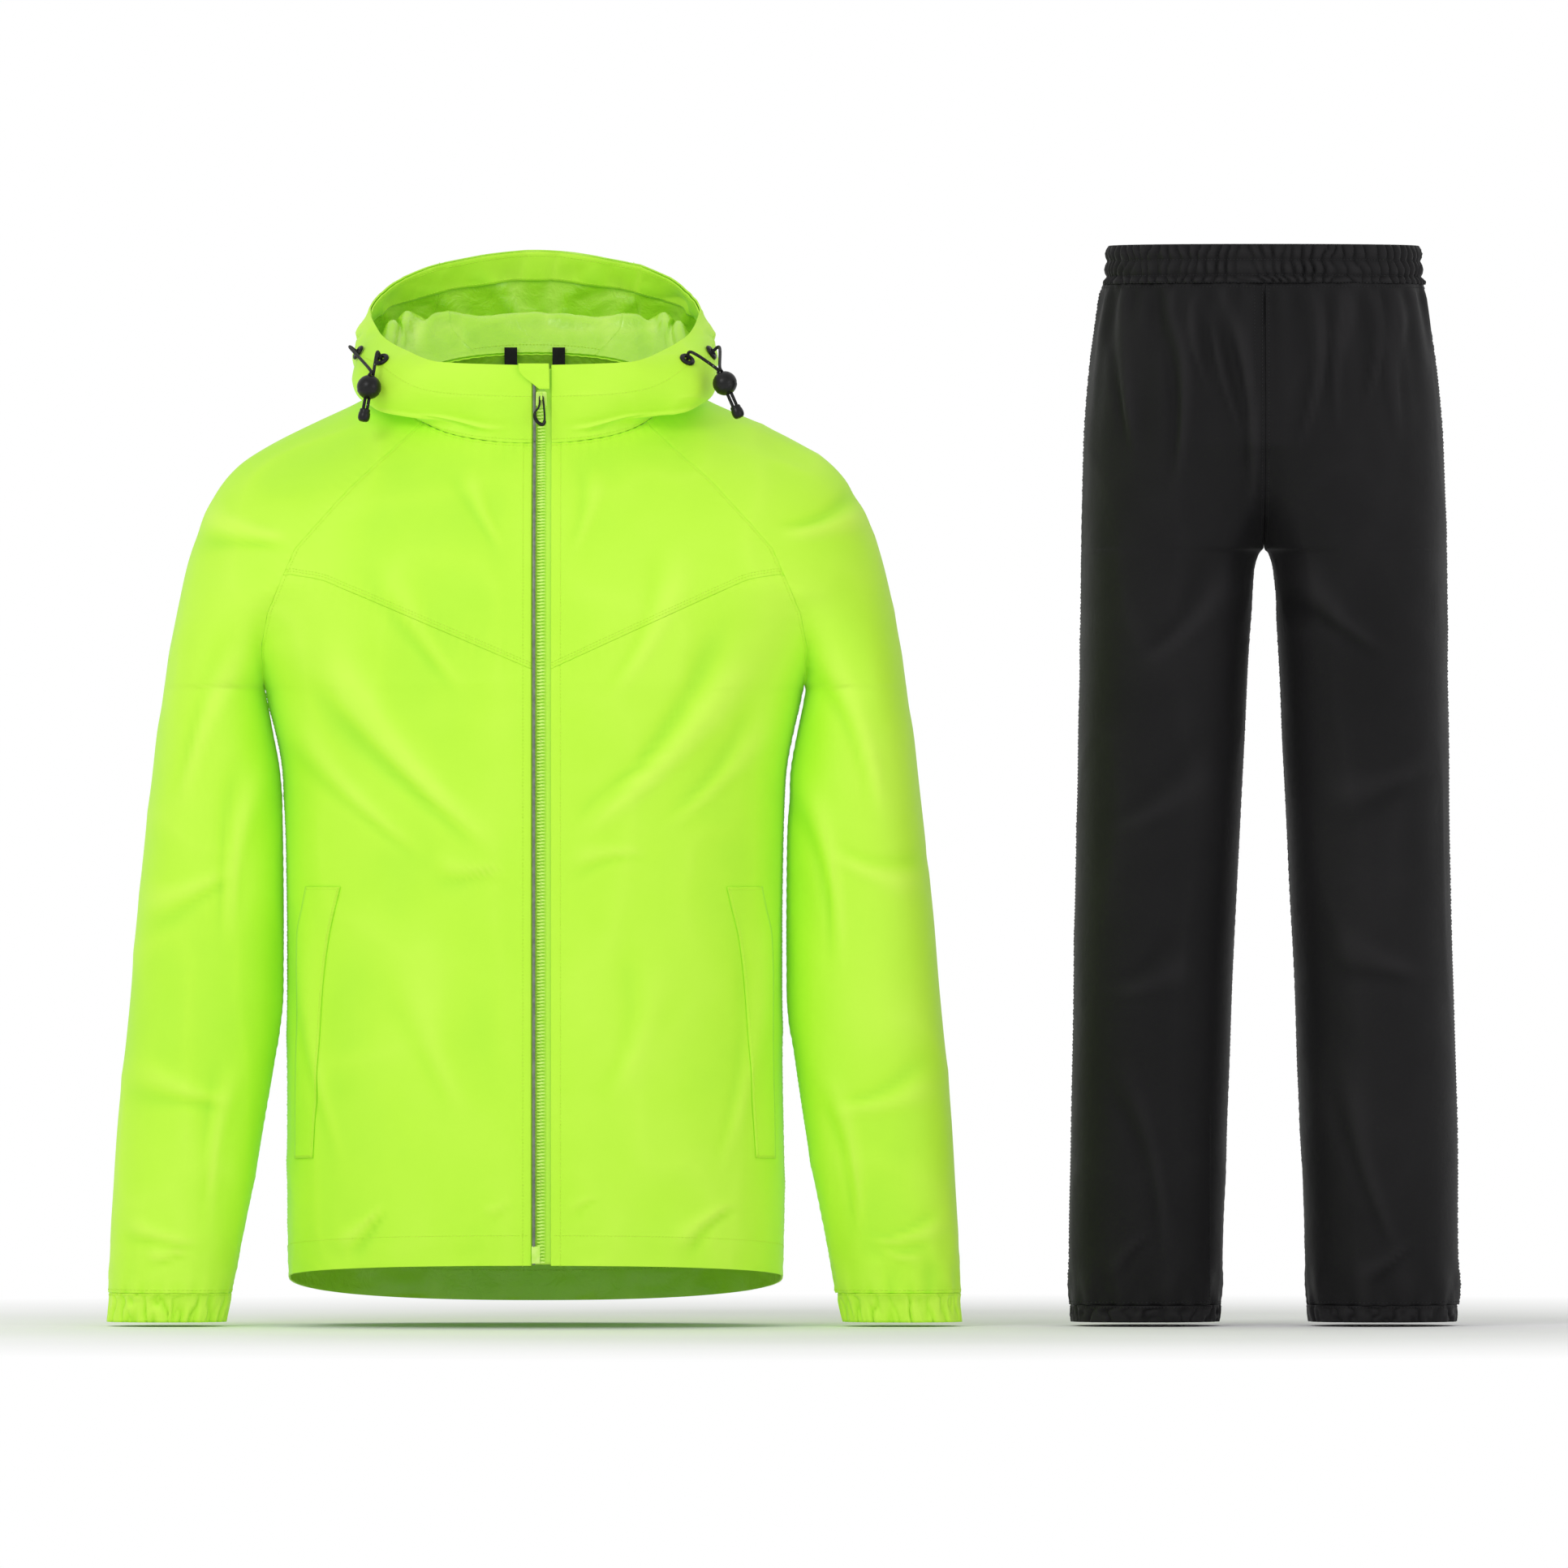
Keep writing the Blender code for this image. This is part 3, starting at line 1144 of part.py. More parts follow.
def make_cords(hood, materials, collection):
    for name, side, u, v, sunk in EYELETS:
        point, normal = hood_place(hood, side, u, v)
        centre = point + normal * (ON_TOP + EYELET_WIRE - sunk)
        ring_solid(name, centre, normal, EYELET_RADIUS, EYELET_WIRE, materials["black"], collection)
    for tag, side, lock, end in CORD_SETS:
        lock = np.array(lock)
        end = np.array(end)
        axis = unit(end - lock)
        lathe(f"cord_lock_{tag}", lock_profile(), lock, axis, materials["black"], collection)
        lathe(f"cord_end_{tag}", CORD_END_PROFILE, end, axis, materials["black"], collection, steps=10)
        for place, offset in (("rear", 1.0), ("front", -1.0)):
            u, v = [(row[2], row[3]) for row in EYELETS if row[0] == f"eyelet_{tag}_{place}"][0]
            point, normal = hood_place(hood, side, u, v)
            start = point + normal * CORD_START_OFF
            lift = point + normal * CORD_LIFT
            sideways = unit(np.cross(axis, (0, 1, 0))) * CORD_APART * offset * side
            above = lock - axis * CORD_ABOVE_LOCK + sideways
            mouth = lock - axis * CORD_AT_MOUTH + sideways
            below = end - axis * CORD_INTO_END + sideways
            path = spline_rows((start, lift, above, mouth, lock + sideways, below), 16)
            tube(f"drawcord_{tag}_{place}", path, CORD_RADIUS, materials["black"], collection)


def main():
    clear_scene()
    collection = bpy.data.collections.new("rain_suit")
    bpy.context.scene.collection.children.link(collection)
    materials = {
        "cloth": new_material("neon_cloth", NEON, 0.62),
        "inside": new_material("neon_coating", NEON_INSIDE, 0.35),
        "trousers": new_material("black_cloth", BLACK_CLOTH, 0.62),
        "black": new_material("black_trim", BLACK_TRIM, 0.45),
        "grey": new_material("grey_reflective", GREY, 0.4),
        "teeth": new_material("neon_teeth", NEON, 0.4),
    }
    sheets = jacket_sheets()
    hood = hood_sheet()
    make_jacket_body(sheets, materials["cloth"], collection)
    make_cuffs(materials["cloth"], collection)
    make_hood(hood, materials["cloth"], materials["inside"], collection)
    make_zip(sheets, hood, materials, collection)
    make_slider(sheets, hood, materials, collection)
    make_pockets(sheets, materials["cloth"], collection)
    make_hanger(materials["black"], collection)
    make_cords(hood, materials, collection)
    make_trousers(trouser_sheets(), materials["trousers"], collection)
    make_waistband(materials["trousers"], collection)


main()
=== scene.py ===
import math

import bpy
import numpy as np
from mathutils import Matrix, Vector


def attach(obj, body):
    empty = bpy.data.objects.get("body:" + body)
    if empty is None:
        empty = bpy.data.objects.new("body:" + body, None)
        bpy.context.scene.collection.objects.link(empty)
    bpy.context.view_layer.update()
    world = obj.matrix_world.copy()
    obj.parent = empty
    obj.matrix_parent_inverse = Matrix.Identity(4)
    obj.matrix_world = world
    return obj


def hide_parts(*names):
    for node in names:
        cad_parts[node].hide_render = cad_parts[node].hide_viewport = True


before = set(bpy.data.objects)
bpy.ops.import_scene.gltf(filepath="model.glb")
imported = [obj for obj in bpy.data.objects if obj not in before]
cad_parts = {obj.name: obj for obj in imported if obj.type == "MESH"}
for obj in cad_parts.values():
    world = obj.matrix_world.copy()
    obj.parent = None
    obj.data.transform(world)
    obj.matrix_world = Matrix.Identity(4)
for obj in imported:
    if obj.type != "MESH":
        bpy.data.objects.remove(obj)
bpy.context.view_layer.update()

# Sizes in metres. X runs across the set, -Y is the front, Z is up.
# The origin lies between the shoulders of the jacket, inside the neck.
WALL = 0.0015
SEAM = 0.00012
BODY_POWER = 2.3
ARM_POWER = 2.15
UNDERARM_Z = -0.2366
UNDERARM_CURVE = 0.299
UNDERARM_REACH = 0.105
CROTCH_Z = -0.1176
CROTCH_CURVE = 0.351
CROTCH_REACH = 0.090
TROUSERS_X = 0.6286
ZIP_RIGHT_X = -0.0018
ZIP_LEFT_X = 0.0150
ZIP_MID_X = 0.0064
SIDES = ((1, "left"), (-1, "right"))
FRONT_EDGES = ((1, ZIP_LEFT_X, "left"), (-1, -ZIP_RIGHT_X, "right"))

RING_COLUMNS = ("half", "z_side", "z_front", "z_back", "front", "back", "arm")
# Rings through shoulders and chest, from the neck seam to the underarm.
SHOULDER_RINGS = (
    (0.1120, 0.0200, -0.0245, 0.0550, 0.080, 0.080, 0.060),
    (0.1400, 0.0090, -0.0370, 0.0430, 0.088, 0.090, 0.062),
    (0.1670, -0.0028, -0.0500, 0.0290, 0.096, 0.100, 0.064),
    (0.2000, -0.0150, -0.0650, 0.0120, 0.104, 0.110, 0.066),
    (0.2300, -0.0275, -0.0810, -0.0080, 0.112, 0.119, 0.068),
    (0.2550, -0.0425, -0.0980, -0.0310, 0.119, 0.127, 0.070),
    (0.2720, -0.0616, -0.1150, -0.0560, 0.125, 0.133, 0.072),
    (0.2840, -0.0850, -0.1320, -0.0820, 0.130, 0.138, 0.074),
    (0.2945, -0.1100, -0.1480, -0.1090, 0.135, 0.142, 0.076),
    (0.3016, -0.1337, -0.1640, -0.1340, 0.139, 0.145, 0.077),
    (0.3080, -0.1630, -0.1820, -0.1630, 0.142, 0.147, 0.078),
    (0.3130, -0.1880, -0.1980, -0.1880, 0.144, 0.148, 0.079),
    (0.3165, -0.2060, -0.2110, -0.2060, 0.145, 0.149, 0.079),
    (0.3185, -0.2210, -0.2230, -0.2210, 0.146, 0.150, 0.079),
    (0.3200, -0.2320, -0.2320, -0.2320, 0.147, 0.150, 0.079),
    (0.3206, -0.2366, -0.2366, -0.2366, 0.147, 0.150, 0.079),
)
SPLIT = len(SHOULDER_RINGS) - 1
# Rings of the body below the underarm, down to the hem.
BODY_RINGS = (
    (0.2318, -0.2366, -0.2366, -0.2366, 0.147, 0.150, 0.0),
    (0.2290, -0.2506, -0.2506, -0.2506, 0.147, 0.150, 0.0),
    (0.2240, -0.2716, -0.2716, -0.2716, 0.148, 0.151, 0.0),
    (0.2168, -0.3143, -0.3143, -0.3143, 0.148, 0.151, 0.0),
    (0.2145, -0.3836, -0.3836, -0.3836, 0.149, 0.151, 0.0),
    (0.2140, -0.4450, -0.4450, -0.4450, 0.149, 0.151, 0.0),
    (0.2140, -0.5070, -0.5060, -0.5080, 0.150, 0.152, 0.0),
    (0.2142, -0.5700, -0.5670, -0.5760, 0.151, 0.152, 0.0),
    (0.2144, -0.6350, -0.6300, -0.6460, 0.152, 0.153, 0.0),
    (0.2143, -0.7000, -0.6910, -0.7180, 0.152, 0.153, 0.0),
    (0.2133, -0.7427, -0.7308, -0.7658, 0.150, 0.152, 0.0),
)
# Rings of the sleeve below the underarm, down to the cuff seam.
ARM_COLUMNS = ("z", "outer", "inner", "depth", "shift")
ARM_RINGS = (
    (-0.2366, 0.3206, 0.2330, 0.0790, 0.000),
    (-0.2506, 0.3225, 0.2306, 0.0795, 0.000),
    (-0.2716, 0.3262, 0.2262, 0.0790, 0.000),
    (-0.3143, 0.3310, 0.2192, 0.0770, 0.000),
    (-0.3836, 0.3388, 0.2166, 0.0730, -0.001),
    (-0.4396, 0.3445, 0.2161, 0.0700, -0.002),
    (-0.4956, 0.3493, 0.2162, 0.0670, -0.004),
    (-0.5516, 0.3546, 0.2230, 0.0640, -0.007),
    (-0.6076, 0.3595, 0.2320, 0.0610, -0.010),
    (-0.6636, 0.3626, 0.2422, 0.0580, -0.013),
    (-0.7126, 0.3654, 0.2520, 0.0550, -0.016),
    (-0.7560, 0.3665, 0.2615, 0.0510, -0.018),
)
CUFF_RINGS = (
    (-0.7560, 0.3665, 0.2615, 0.0510, -0.018),
    (-0.7635, 0.3650, 0.2637, 0.0445, -0.018),
    (-0.7812, 0.3675, 0.2672, 0.0400, -0.018),
)
# Where the raglan seams run, as height and distance from the middle.
FRONT_RAGLAN = ((-0.2366, 0.2325), (-0.2200, 0.2345), (-0.2002, 0.2359), (-0.1701, 0.2296),
                (-0.1155, 0.2058), (-0.0600, 0.1560), (-0.0035, 0.0950), (0.0200, 0.0800))
BACK_RAGLAN = ((-0.2366, 0.2325), (-0.2200, 0.2345), (-0.2002, 0.2359), (-0.1701, 0.2296),
               (-0.1155, 0.2080), (-0.0600, 0.1640), (0.0000, 0.1100), (0.0520, 0.0450))
YOKE_LINE = ((0.0, -0.2191), (0.2058, -0.1323))

# Rings of the trousers from the waist seam to the crotch.
HIP_COLUMNS = ("z", "half", "front", "back", "leg_front", "leg_back")
HIP_RINGS = (
    (0.1127, 0.1385, 0.0950, 0.0990, 0.085, 0.095),
    (0.0924, 0.1425, 0.0985, 0.1040, 0.087, 0.098),
    (0.0644, 0.1467, 0.1025, 0.1090, 0.090, 0.101),
    (0.0364, 0.1505, 0.1060, 0.1125, 0.092, 0.104),
    (0.0084, 0.1533, 0.1080, 0.1145, 0.094, 0.106),
    (-0.0196, 0.1554, 0.1085, 0.1155, 0.095, 0.107),
    (-0.0476, 0.1564, 0.1080, 0.1155, 0.095, 0.107),
    (-0.0756, 0.1570, 0.1065, 0.1145, 0.095, 0.107),
    (-0.0966, 0.1574, 0.1045, 0.1130, 0.095, 0.107),
    (-0.1106, 0.1575, 0.1020, 0.1110, 0.095, 0.107),
    (-0.1176, 0.1576, 0.1000, 0.1090, 0.095, 0.107),
)
CROTCH = len(HIP_RINGS) - 1
LEG_COLUMNS = ("z", "outer", "inner", "front", "back")
LEG_RINGS = (
    (-0.1176, 0.1576, 0.0030, 0.0950, 0.1070),
    (-0.1316, 0.1577, 0.0074, 0.0940, 0.1050),
    (-0.1736, 0.1578, 0.0105, 0.0910, 0.0990),
    (-0.2156, 0.1582, 0.0130, 0.0880, 0.0940),
    (-0.2716, 0.1596, 0.0158, 0.0840, 0.0880),
    (-0.3416, 0.1603, 0.0200, 0.0800, 0.0820),
    (-0.4116, 0.1617, 0.0238, 0.0770, 0.0780),
    (-0.4816, 0.1631, 0.0270, 0.0740, 0.0760),
    (-0.5516, 0.1645, 0.0291, 0.0720, 0.0740),
    (-0.6216, 0.1659, 0.0318, 0.0700, 0.0720),
    (-0.6916, 0.1666, 0.0340, 0.0680, 0.0700),
    (-0.7476, 0.1673, 0.0354, 0.0650, 0.0680),
    (-0.7665, 0.1663, 0.0372, 0.0620, 0.0640),
)
LEG_HEM_RINGS = (
    (-0.7665, 0.1663, 0.0372, 0.0620, 0.0640),
    (-0.7730, 0.1652, 0.0388, 0.0600, 0.0620),
    (-0.7812, 0.1657, 0.0394, 0.0600, 0.0620),
)
WAIST_COLUMNS = ("z", "half", "front", "back", "wave")
WAIST_RINGS = (
    (0.1463, 0.1334, 0.0920, 0.0950, 0.0010),
    (0.1330, 0.1346, 0.0930, 0.0962, 0.0013),
    (0.1196, 0.1352, 0.0932, 0.0966, 0.0010),
    (0.1127, 0.1385, 0.0950, 0.0990, 0.0012),
)

# Profiles of the hood from the neck seam to its edge: each row is a place round
# the neck, then six points outward and upward as x, y, z in millimetres.
HOOD_PROFILES = (
    (0.00, (0, -82, -13), (0, -84, -2), (0, -86, 9), (0, -87, 20), (0, -88, 31), (0, -88, 42)),
    (0.12, (34, -79, -12), (36, -83, -2), (38, -85, 9), (39, -86, 21), (39, -86, 32), (38, -86, 43)),
    (0.26, (72, -67, -7), (80, -73, 4), (86, -77, 16), (88, -78, 27), (87, -77, 37), (82, -75, 45)),
    (0.40, (112, -46, 3), (130, -50, 4), (142, -51, 18), (142, -48, 34), (132, -45, 47), (111, -43, 56)),
    (0.52, (128, -4, 23), (148, -3, 16), (157, -2, 27), (156, 0, 46), (148, 2, 62), (134, 4, 72)),
    (0.64, (113, 48, 58), (124, 56, 82), (146, 58, 44), (157, 64, 44), (154, 66, 68), (143, 62, 94)),
    (0.74, (102, 70, 74), (112, 82, 89), (126, 104, 60), (134, 130, 10), (144, 134, 56), (128, 104, 114)),
    (0.84, (72, 84, 75), (76, 94, 90), (82, 116, 62), (86, 148, -34), (92, 166, 52), (82, 146, 135)),
    (1.00, (0, 90, 77), (0, 97, 91), (0, 118, 62), (0, 156, -54), (0, 184, 50), (0, 164, 146)),
)
FACING_WIDTH = 0.027
# Where the facing starts round the neck, and how far up the wall it ends.
FACING_FROM = 0.63
FACING_TO = 0.996
FACING_GAP = 0.0009
BAND_WALL = 0.0012

# Creases as soft ridges with a trough beside them: from x, z to x, z, half width
# and height. Jacket creases are measured from the jacket's middle, with the
# wearer's left at +x; trouser creases from the middle of the trousers.
FRONT_CREASES = (
    (-0.1785, -0.200, -0.040, -0.363, 0.019, 0.0042),
    (0.1890, -0.200, 0.045, -0.357, 0.019, 0.0042),
    (-0.2050, -0.262, -0.100, -0.372, 0.013, 0.0022),
    (0.2080, -0.255, 0.120, -0.352, 0.013, 0.0022),
    (-0.1250, -0.125, -0.060, -0.235, 0.014, 0.0018),
    (0.1300, -0.120, 0.072, -0.240, 0.014, 0.0018),
    (-0.0830, -0.386, -0.026, -0.391, 0.010, 0.0020),
    (0.0280, -0.383, 0.0950, -0.376, 0.010, 0.0020),
    (-0.1670, -0.7130, -0.1300, -0.680, 0.009, 0.0030),
    (0.1230, -0.7130, 0.1700, -0.678, 0.009, 0.0030),
    (-0.0420, -0.686, -0.0190, -0.674, 0.006, 0.0016),
    (0.0300, -0.684, 0.0520, -0.672, 0.006, 0.0016),
    (-0.1950, -0.420, -0.1650, -0.640, 0.012, 0.0016),
    (0.1950, -0.430, 0.1620, -0.650, 0.012, 0.0016),
    (-0.0560, -0.0450, -0.0260, -0.1150, 0.009, 0.0018),
    (0.0560, -0.0480, 0.0340, -0.1200, 0.009, 0.0018),
    (-0.1000, -0.470, -0.060, -0.600, 0.018, 0.0014),
    (0.1100, -0.460, 0.070, -0.590, 0.018, 0.0014),
)
BACK_CREASES = (
    (-0.1950, -0.210, -0.050, -0.330, 0.020, 0.0040),
    (0.1950, -0.215, 0.060, -0.345, 0.020, 0.0040),
    (-0.1200, -0.090, 0.010, -0.115, 0.016, 0.0025),
    (0.1400, -0.130, 0.040, -0.165, 0.015, 0.0022),
    (-0.1500, -0.430, -0.020, -0.470, 0.017, 0.0025),
    (0.1700, -0.520, 0.050, -0.560, 0.017, 0.0025),
    (-0.1700, -0.700, -0.1200, -0.650, 0.011, 0.0028),
    (0.1300, -0.710, 0.1750, -0.655, 0.011, 0.0028),
    (0.0000, -0.600, 0.020, -0.710, 0.014, 0.0018),
)
SLEEVE_CREASES = (
    (-0.2870, -0.085, -0.212, -0.106, 0.013, 0.0034),
    (0.2870, -0.085, 0.215, -0.104, 0.013, 0.0034),
    (-0.2400, -0.190, -0.300, -0.330, 0.014, 0.0026),
    (0.2420, -0.185, 0.298, -0.340, 0.014, 0.0026),
    (-0.2350, -0.300, -0.262, -0.450, 0.012, 0.0030),
    (0.2330, -0.310, 0.264, -0.470, 0.012, 0.0030),
    (-0.3380, -0.420, -0.262, -0.392, 0.014, 0.0024),
    (0.3350, -0.405, 0.258, -0.380, 0.014, 0.0024),
    (-0.3450, -0.560, -0.262, -0.590, 0.014, 0.0022),
    (0.3470, -0.575, 0.262, -0.600, 0.014, 0.0022),
    (-0.2560, -0.560, -0.278, -0.690, 0.010, 0.0024),
    (0.2560, -0.570, 0.280, -0.700, 0.010, 0.0024),
    (-0.3500, -0.6950, -0.290, -0.712, 0.008, 0.0024),
    (0.3520, -0.6980, 0.292, -0.712, 0.008, 0.0024),
    (-0.3330, -0.7240, -0.3000, -0.7190, 0.006, 0.0022),
    (0.3350, -0.7260, 0.3020, -0.7200, 0.006, 0.0022),
)
TROUSER_CREASES = (
    (-0.1150, 0.112, -0.1120, -0.030, 0.010, 0.0034),
    (-0.0800, 0.112, -0.0760, -0.060, 0.012, 0.0044),
    (-0.0640, 0.112, -0.0500, 0.020, 0.007, 0.0026),
    (-0.0340, 0.112, -0.0110, -0.075, 0.010, 0.0048),
    (-0.0470, 0.112, -0.0200, -0.020, 0.007, 0.0030),
    (0.0500, 0.112, 0.0300, -0.030, 0.009, 0.0034),
    (0.0760, 0.112, 0.0620, -0.010, 0.009, 0.0034),
    (0.0980, 0.112, 0.0880, 0.010, 0.008, 0.0030),
    (0.1180, 0.112, 0.1150, -0.020, 0.010, 0.0030),
    (-0.0240, -0.130, -0.1000, -0.215, 0.016, 0.0030),
    (0.0240, -0.128, 0.1050, -0.205, 0.016, 0.0030),
    (-0.0400, -0.300, -0.1300, -0.360, 0.018, 0.0022),
    (0.0500, -0.330, 0.1350, -0.300, 0.018, 0.0022),
    (-0.0600, -0.470, -0.1300, -0.500, 0.018, 0.0026),
    (0.0600, -0.450, 0.1350, -0.480, 0.018, 0.0026),
    (-0.1200, -0.560, -0.0850, -0.730, 0.012, 0.0026),
    (0.0750, -0.560, 0.1150, -0.720, 0.012, 0.0026),
    (-0.1350, -0.740, -0.1000, -0.705, 0.008, 0.0024),
    (0.0800, -0.742, 0.1250, -0.712, 0.008, 0.0024),
)
# Creases of the hood, from place round the neck and place up the wall.
HOOD_CREASES = (
    (0.10, 0.15, 0.30, 0.30, 0.045, 0.0022),
    (0.30, 0.20, 0.44, 0.38, 0.050, 0.0024),
    (0.62, 0.93, 0.68, 0.80, 0.030, 0.0022),
    (0.74, 0.97, 0.79, 0.82, 0.030, 0.0026),
    (0.86, 0.97, 0.90, 0.84, 0.030, 0.0022),
    (0.94, 0.98, 0.98, 0.83, 0.030, 0.0024),
    (0.58, 0.20, 0.78, 0.34, 0.030, 0.0018),
    (0.70, 0.10, 0.90, 0.22, 0.030, 0.0016),
    (0.84, 0.30, 0.98, 0.20, 0.030, 0.0016),
)

# Uneven relief: height, size of a cell in x, y and z, and seed.
JACKET_WAVES = (0.0011, (0.10, 0.10, 0.17), 3)
JACKET_CRUMPLE = (0.0010, (0.055, 0.060, 0.100), 5)
HEM_CRUMPLE = (0.0006, (0.022, 0.03, 0.018), 8)
CUFF_CRUMPLE = (0.0010, (0.03, 0.03, 0.05), 23)
TROUSER_WAVES = (0.0012, (0.09, 0.09, 0.20), 31)
TROUSER_CRUMPLE = (0.0011, (0.050, 0.055, 0.120), 33)
ANKLE_CRUMPLE = (0.0012, (0.03, 0.03, 0.05), 36)
HOOD_WAVES = (0.0010, (0.05, 0.05, 0.05), 51)
HOOD_CRUMPLE = (0.0008, (0.036, 0.040, 0.030), 52)
HOOD_CRINKLE = (0.0007, (0.014, 0.016, 0.014), 53)
HOOD_FOLD_GAIN = 1.5
# Gathers and longer folds beside the cuffs and leg hems, and below the waistband.
GATHER_HEIGHT = 0.0009
FOLD_HEIGHT = 0.0012
WAIST_PUFF_HEIGHT = 0.0008
WAIST_FOLD_HEIGHT = 0.0021

# The size of the cloth's cells, and the width of each panel that they divide.
CELL = 0.0046
FRONT_ACROSS = 0.25
SLEEVE_ACROSS = 0.34
TROUSER_ACROSS = 0.22
HOOD_SIDE_ACROSS = 0.36
HOOD_CENTRE_ACROSS = 0.09
HOOD_CELL = 0.0034
EDGE_ROLL = 0.0012
EDGE_DIP = 0.0003
PUCKER_HEIGHT = 0.00038
PUCKER_REACH = 0.009
# The relief at which the painted fold shading reaches the painted highlight colour of a ridge, on panels and
# on gathered bands.
FOLD_SHADING_DEPTH = 0.003
GATHER_SHADING_DEPTH = 0.0025
STITCH_LENGTH = 0.0021
STITCH_PITCH = 0.0030
STITCH_RADIUS = 0.00030
BAND_PITCH = 0.0040
BAND_STITCH = 0.0030
# How far each row of stitches runs from the seam beside it.
SEAM_STITCH = 0.0032
TOP_STITCH = 0.0030
SECOND_STITCH = 0.0052
BRIM_STITCH = 0.0270
LEG_STITCH = 0.0028
HEM_STITCH = 0.0026

YOKE_END_ROW = 8.0
HOOD_CENTRE_FROM = 0.84
HEM_HEIGHT = 0.0260
UNDERARM_TRIM = -12
CROTCH_TRIM = -30
STITCH_LEFT_X = 0.0231
STITCH_RIGHT_X = -0.0091
PIPING_X = 0.0004
PIPING_LIFT = 0.0006
PIPING_RADIUS = 0.0014
# How many rows above the hem, and how far up the collar, each part of the zip runs.
TEETH_ENDS = (0.06, 0.93)
TAPE_ENDS = (0.04, 0.95)
PIPING_ENDS = (0.04, 0.93)
# The zip tape's edges, and how far its two sides lie below the front's cloth.
TAPE_X = (-0.0090, 0.0225)
TAPE_BELOW = (0.0010, 0.0018)
STOP_PLACE = (0.0022, -0.0012, -0.7215)
STOP_SIZE = (0.0074, 0.0026, 0.0150)
TOOTH_REACH = 0.0014
TOOTH_PITCH = 0.0029
TOOTH_SIZE = (0.0021, 0.0011, 0.0009)
TOOTH_OUTLINE = ((-1.0, -0.55), (-1.0, 0.55), (-0.25, 0.62), (0.45, 1.0), (1.0, 0.55), (1.0, -0.55),
                 (0.45, -1.0), (-0.25, -0.62))
ANKLE_SEAM_X = -0.0470
ANKLE_SEAM_TOP = -0.6000
FLY_STITCH_X = -0.0095
FLY_STITCH_BOTTOM = 0.0040
WAIST_STITCH_ROWS = (6, 12, 17)

EYELETS = (("eyelet_left_rear", 1, 0.505, 0.760), ("eyelet_left_front", 1, 0.400, 0.800),
           ("eyelet_right_rear", -1, 0.505, 0.760), ("eyelet_right_front", -1, 0.400, 0.800))
# Radius and height round an eyelet and round a cord end.
EYELET_PROFILE = ((0.0069, -0.0006), (0.0069, 0.0006), (0.0064, 0.0013), (0.0055, 0.0019), (0.0052, 0.0019),
                  (0.0049, 0.0015), (0.0045, 0.0015), (0.0042, 0.0019), (0.0036, 0.0017), (0.0030, 0.0010),
                  (0.0030, -0.0006))
EYELET_OFF = 0.0004
CORD_END_PROFILE = ((0.0021, -0.0051), (0.0036, -0.0050), (0.0043, -0.0045), (0.0046, -0.0030),
                    (0.0044, -0.0022), (0.0050, -0.0012), (0.0052, 0.0020), (0.0049, 0.0040),
                    (0.0042, 0.0054), (0.0030, 0.0062), (0.0008, 0.0063), (0.0008, -0.0010),
                    (0.0019, -0.0012))
CORD_RADIUS = 0.0014
LOCK_RADIUS = 0.0105
LOCK_BORE = 0.0036
# The lock's lip and the groove beside it: height as a share, angle from the bore and width.
LOCK_RINGS = ((0.025, 1.05, 0.09), (-0.020, 1.25, 0.07))
CORD_SETS = (
    ("left", 1, (0.1640, -0.0560, 0.0270), (0.1745, -0.0590, 0.0030)),
    ("right", -1, (-0.1420, -0.0680, 0.0235), (-0.1460, -0.0710, 0.0000)),
)
# How far a cord stands off along its way.
CORD_START_OFF = 0.0005
CORD_LIFT = 0.0090
CORD_APART = 0.0017
CORD_ABOVE_LOCK = 0.0150
CORD_AT_MOUTH = 0.0100
CORD_INTO_END = 0.0053
# The zip pull's loop and its rubber tip, as x and z.
PULL_Y = -0.09399
PULL_RADIUS = 0.0009
TIP_RADIUS = 0.0016
TIP_TAPER = 0.0006
PULL_PATH = ((0.0064, 0.0152), (0.0052, 0.0146), (0.0050, 0.0100), (0.0042, 0.0060), (0.0020, 0.0030),
             (0.0008, 0.0010), (0.0010, -0.0030), (0.0036, -0.0072), (0.0070, -0.0090), (0.0090, -0.0074),
             (0.0093, -0.0030), (0.0088, 0.0050), (0.0080, 0.0120), (0.0076, 0.0146), (0.0064, 0.0152))
PULL_TIP = ((0.0012, 0.0016), (0.0007, -0.0010), (0.0014, -0.0042), (0.0040, -0.0075), (0.0070, -0.0090),
            (0.0089, -0.0076), (0.0092, -0.0050))
GARAGE_ROWS = ((0.0436, -0.0135, 0.0128), (0.0380, -0.0132, 0.0132), (0.0330, -0.0100, 0.0134),
               (0.0260, -0.0010, 0.0134), (0.0215, 0.0045, 0.0133))
GARAGE_FLAT_FROM = 0.0410
GARAGE_OFF = 0.0037
GARAGE_WALL = 0.0011
POCKET_ROWS = ((-0.4060, 0.1660, 0.1960), (-0.4250, 0.1705, 0.1995), (-0.4490, 0.1760, 0.2040),
               (-0.4930, 0.1815, 0.2050), (-0.5560, 0.1850, 0.2055), (-0.6050, 0.1880, 0.2060),
               (-0.6400, 0.1900, 0.2060))

# The photograph's frame: its side in pixels, metres to a pixel and the view's middle.
PHOTO_SIDE = 1932
PHOTO_SCALE = 0.0007
CAMERA_AWAY = 24.0
CAMERA_X = 0.2149
CAMERA_Z = -0.3178
SURROUND = 0.78
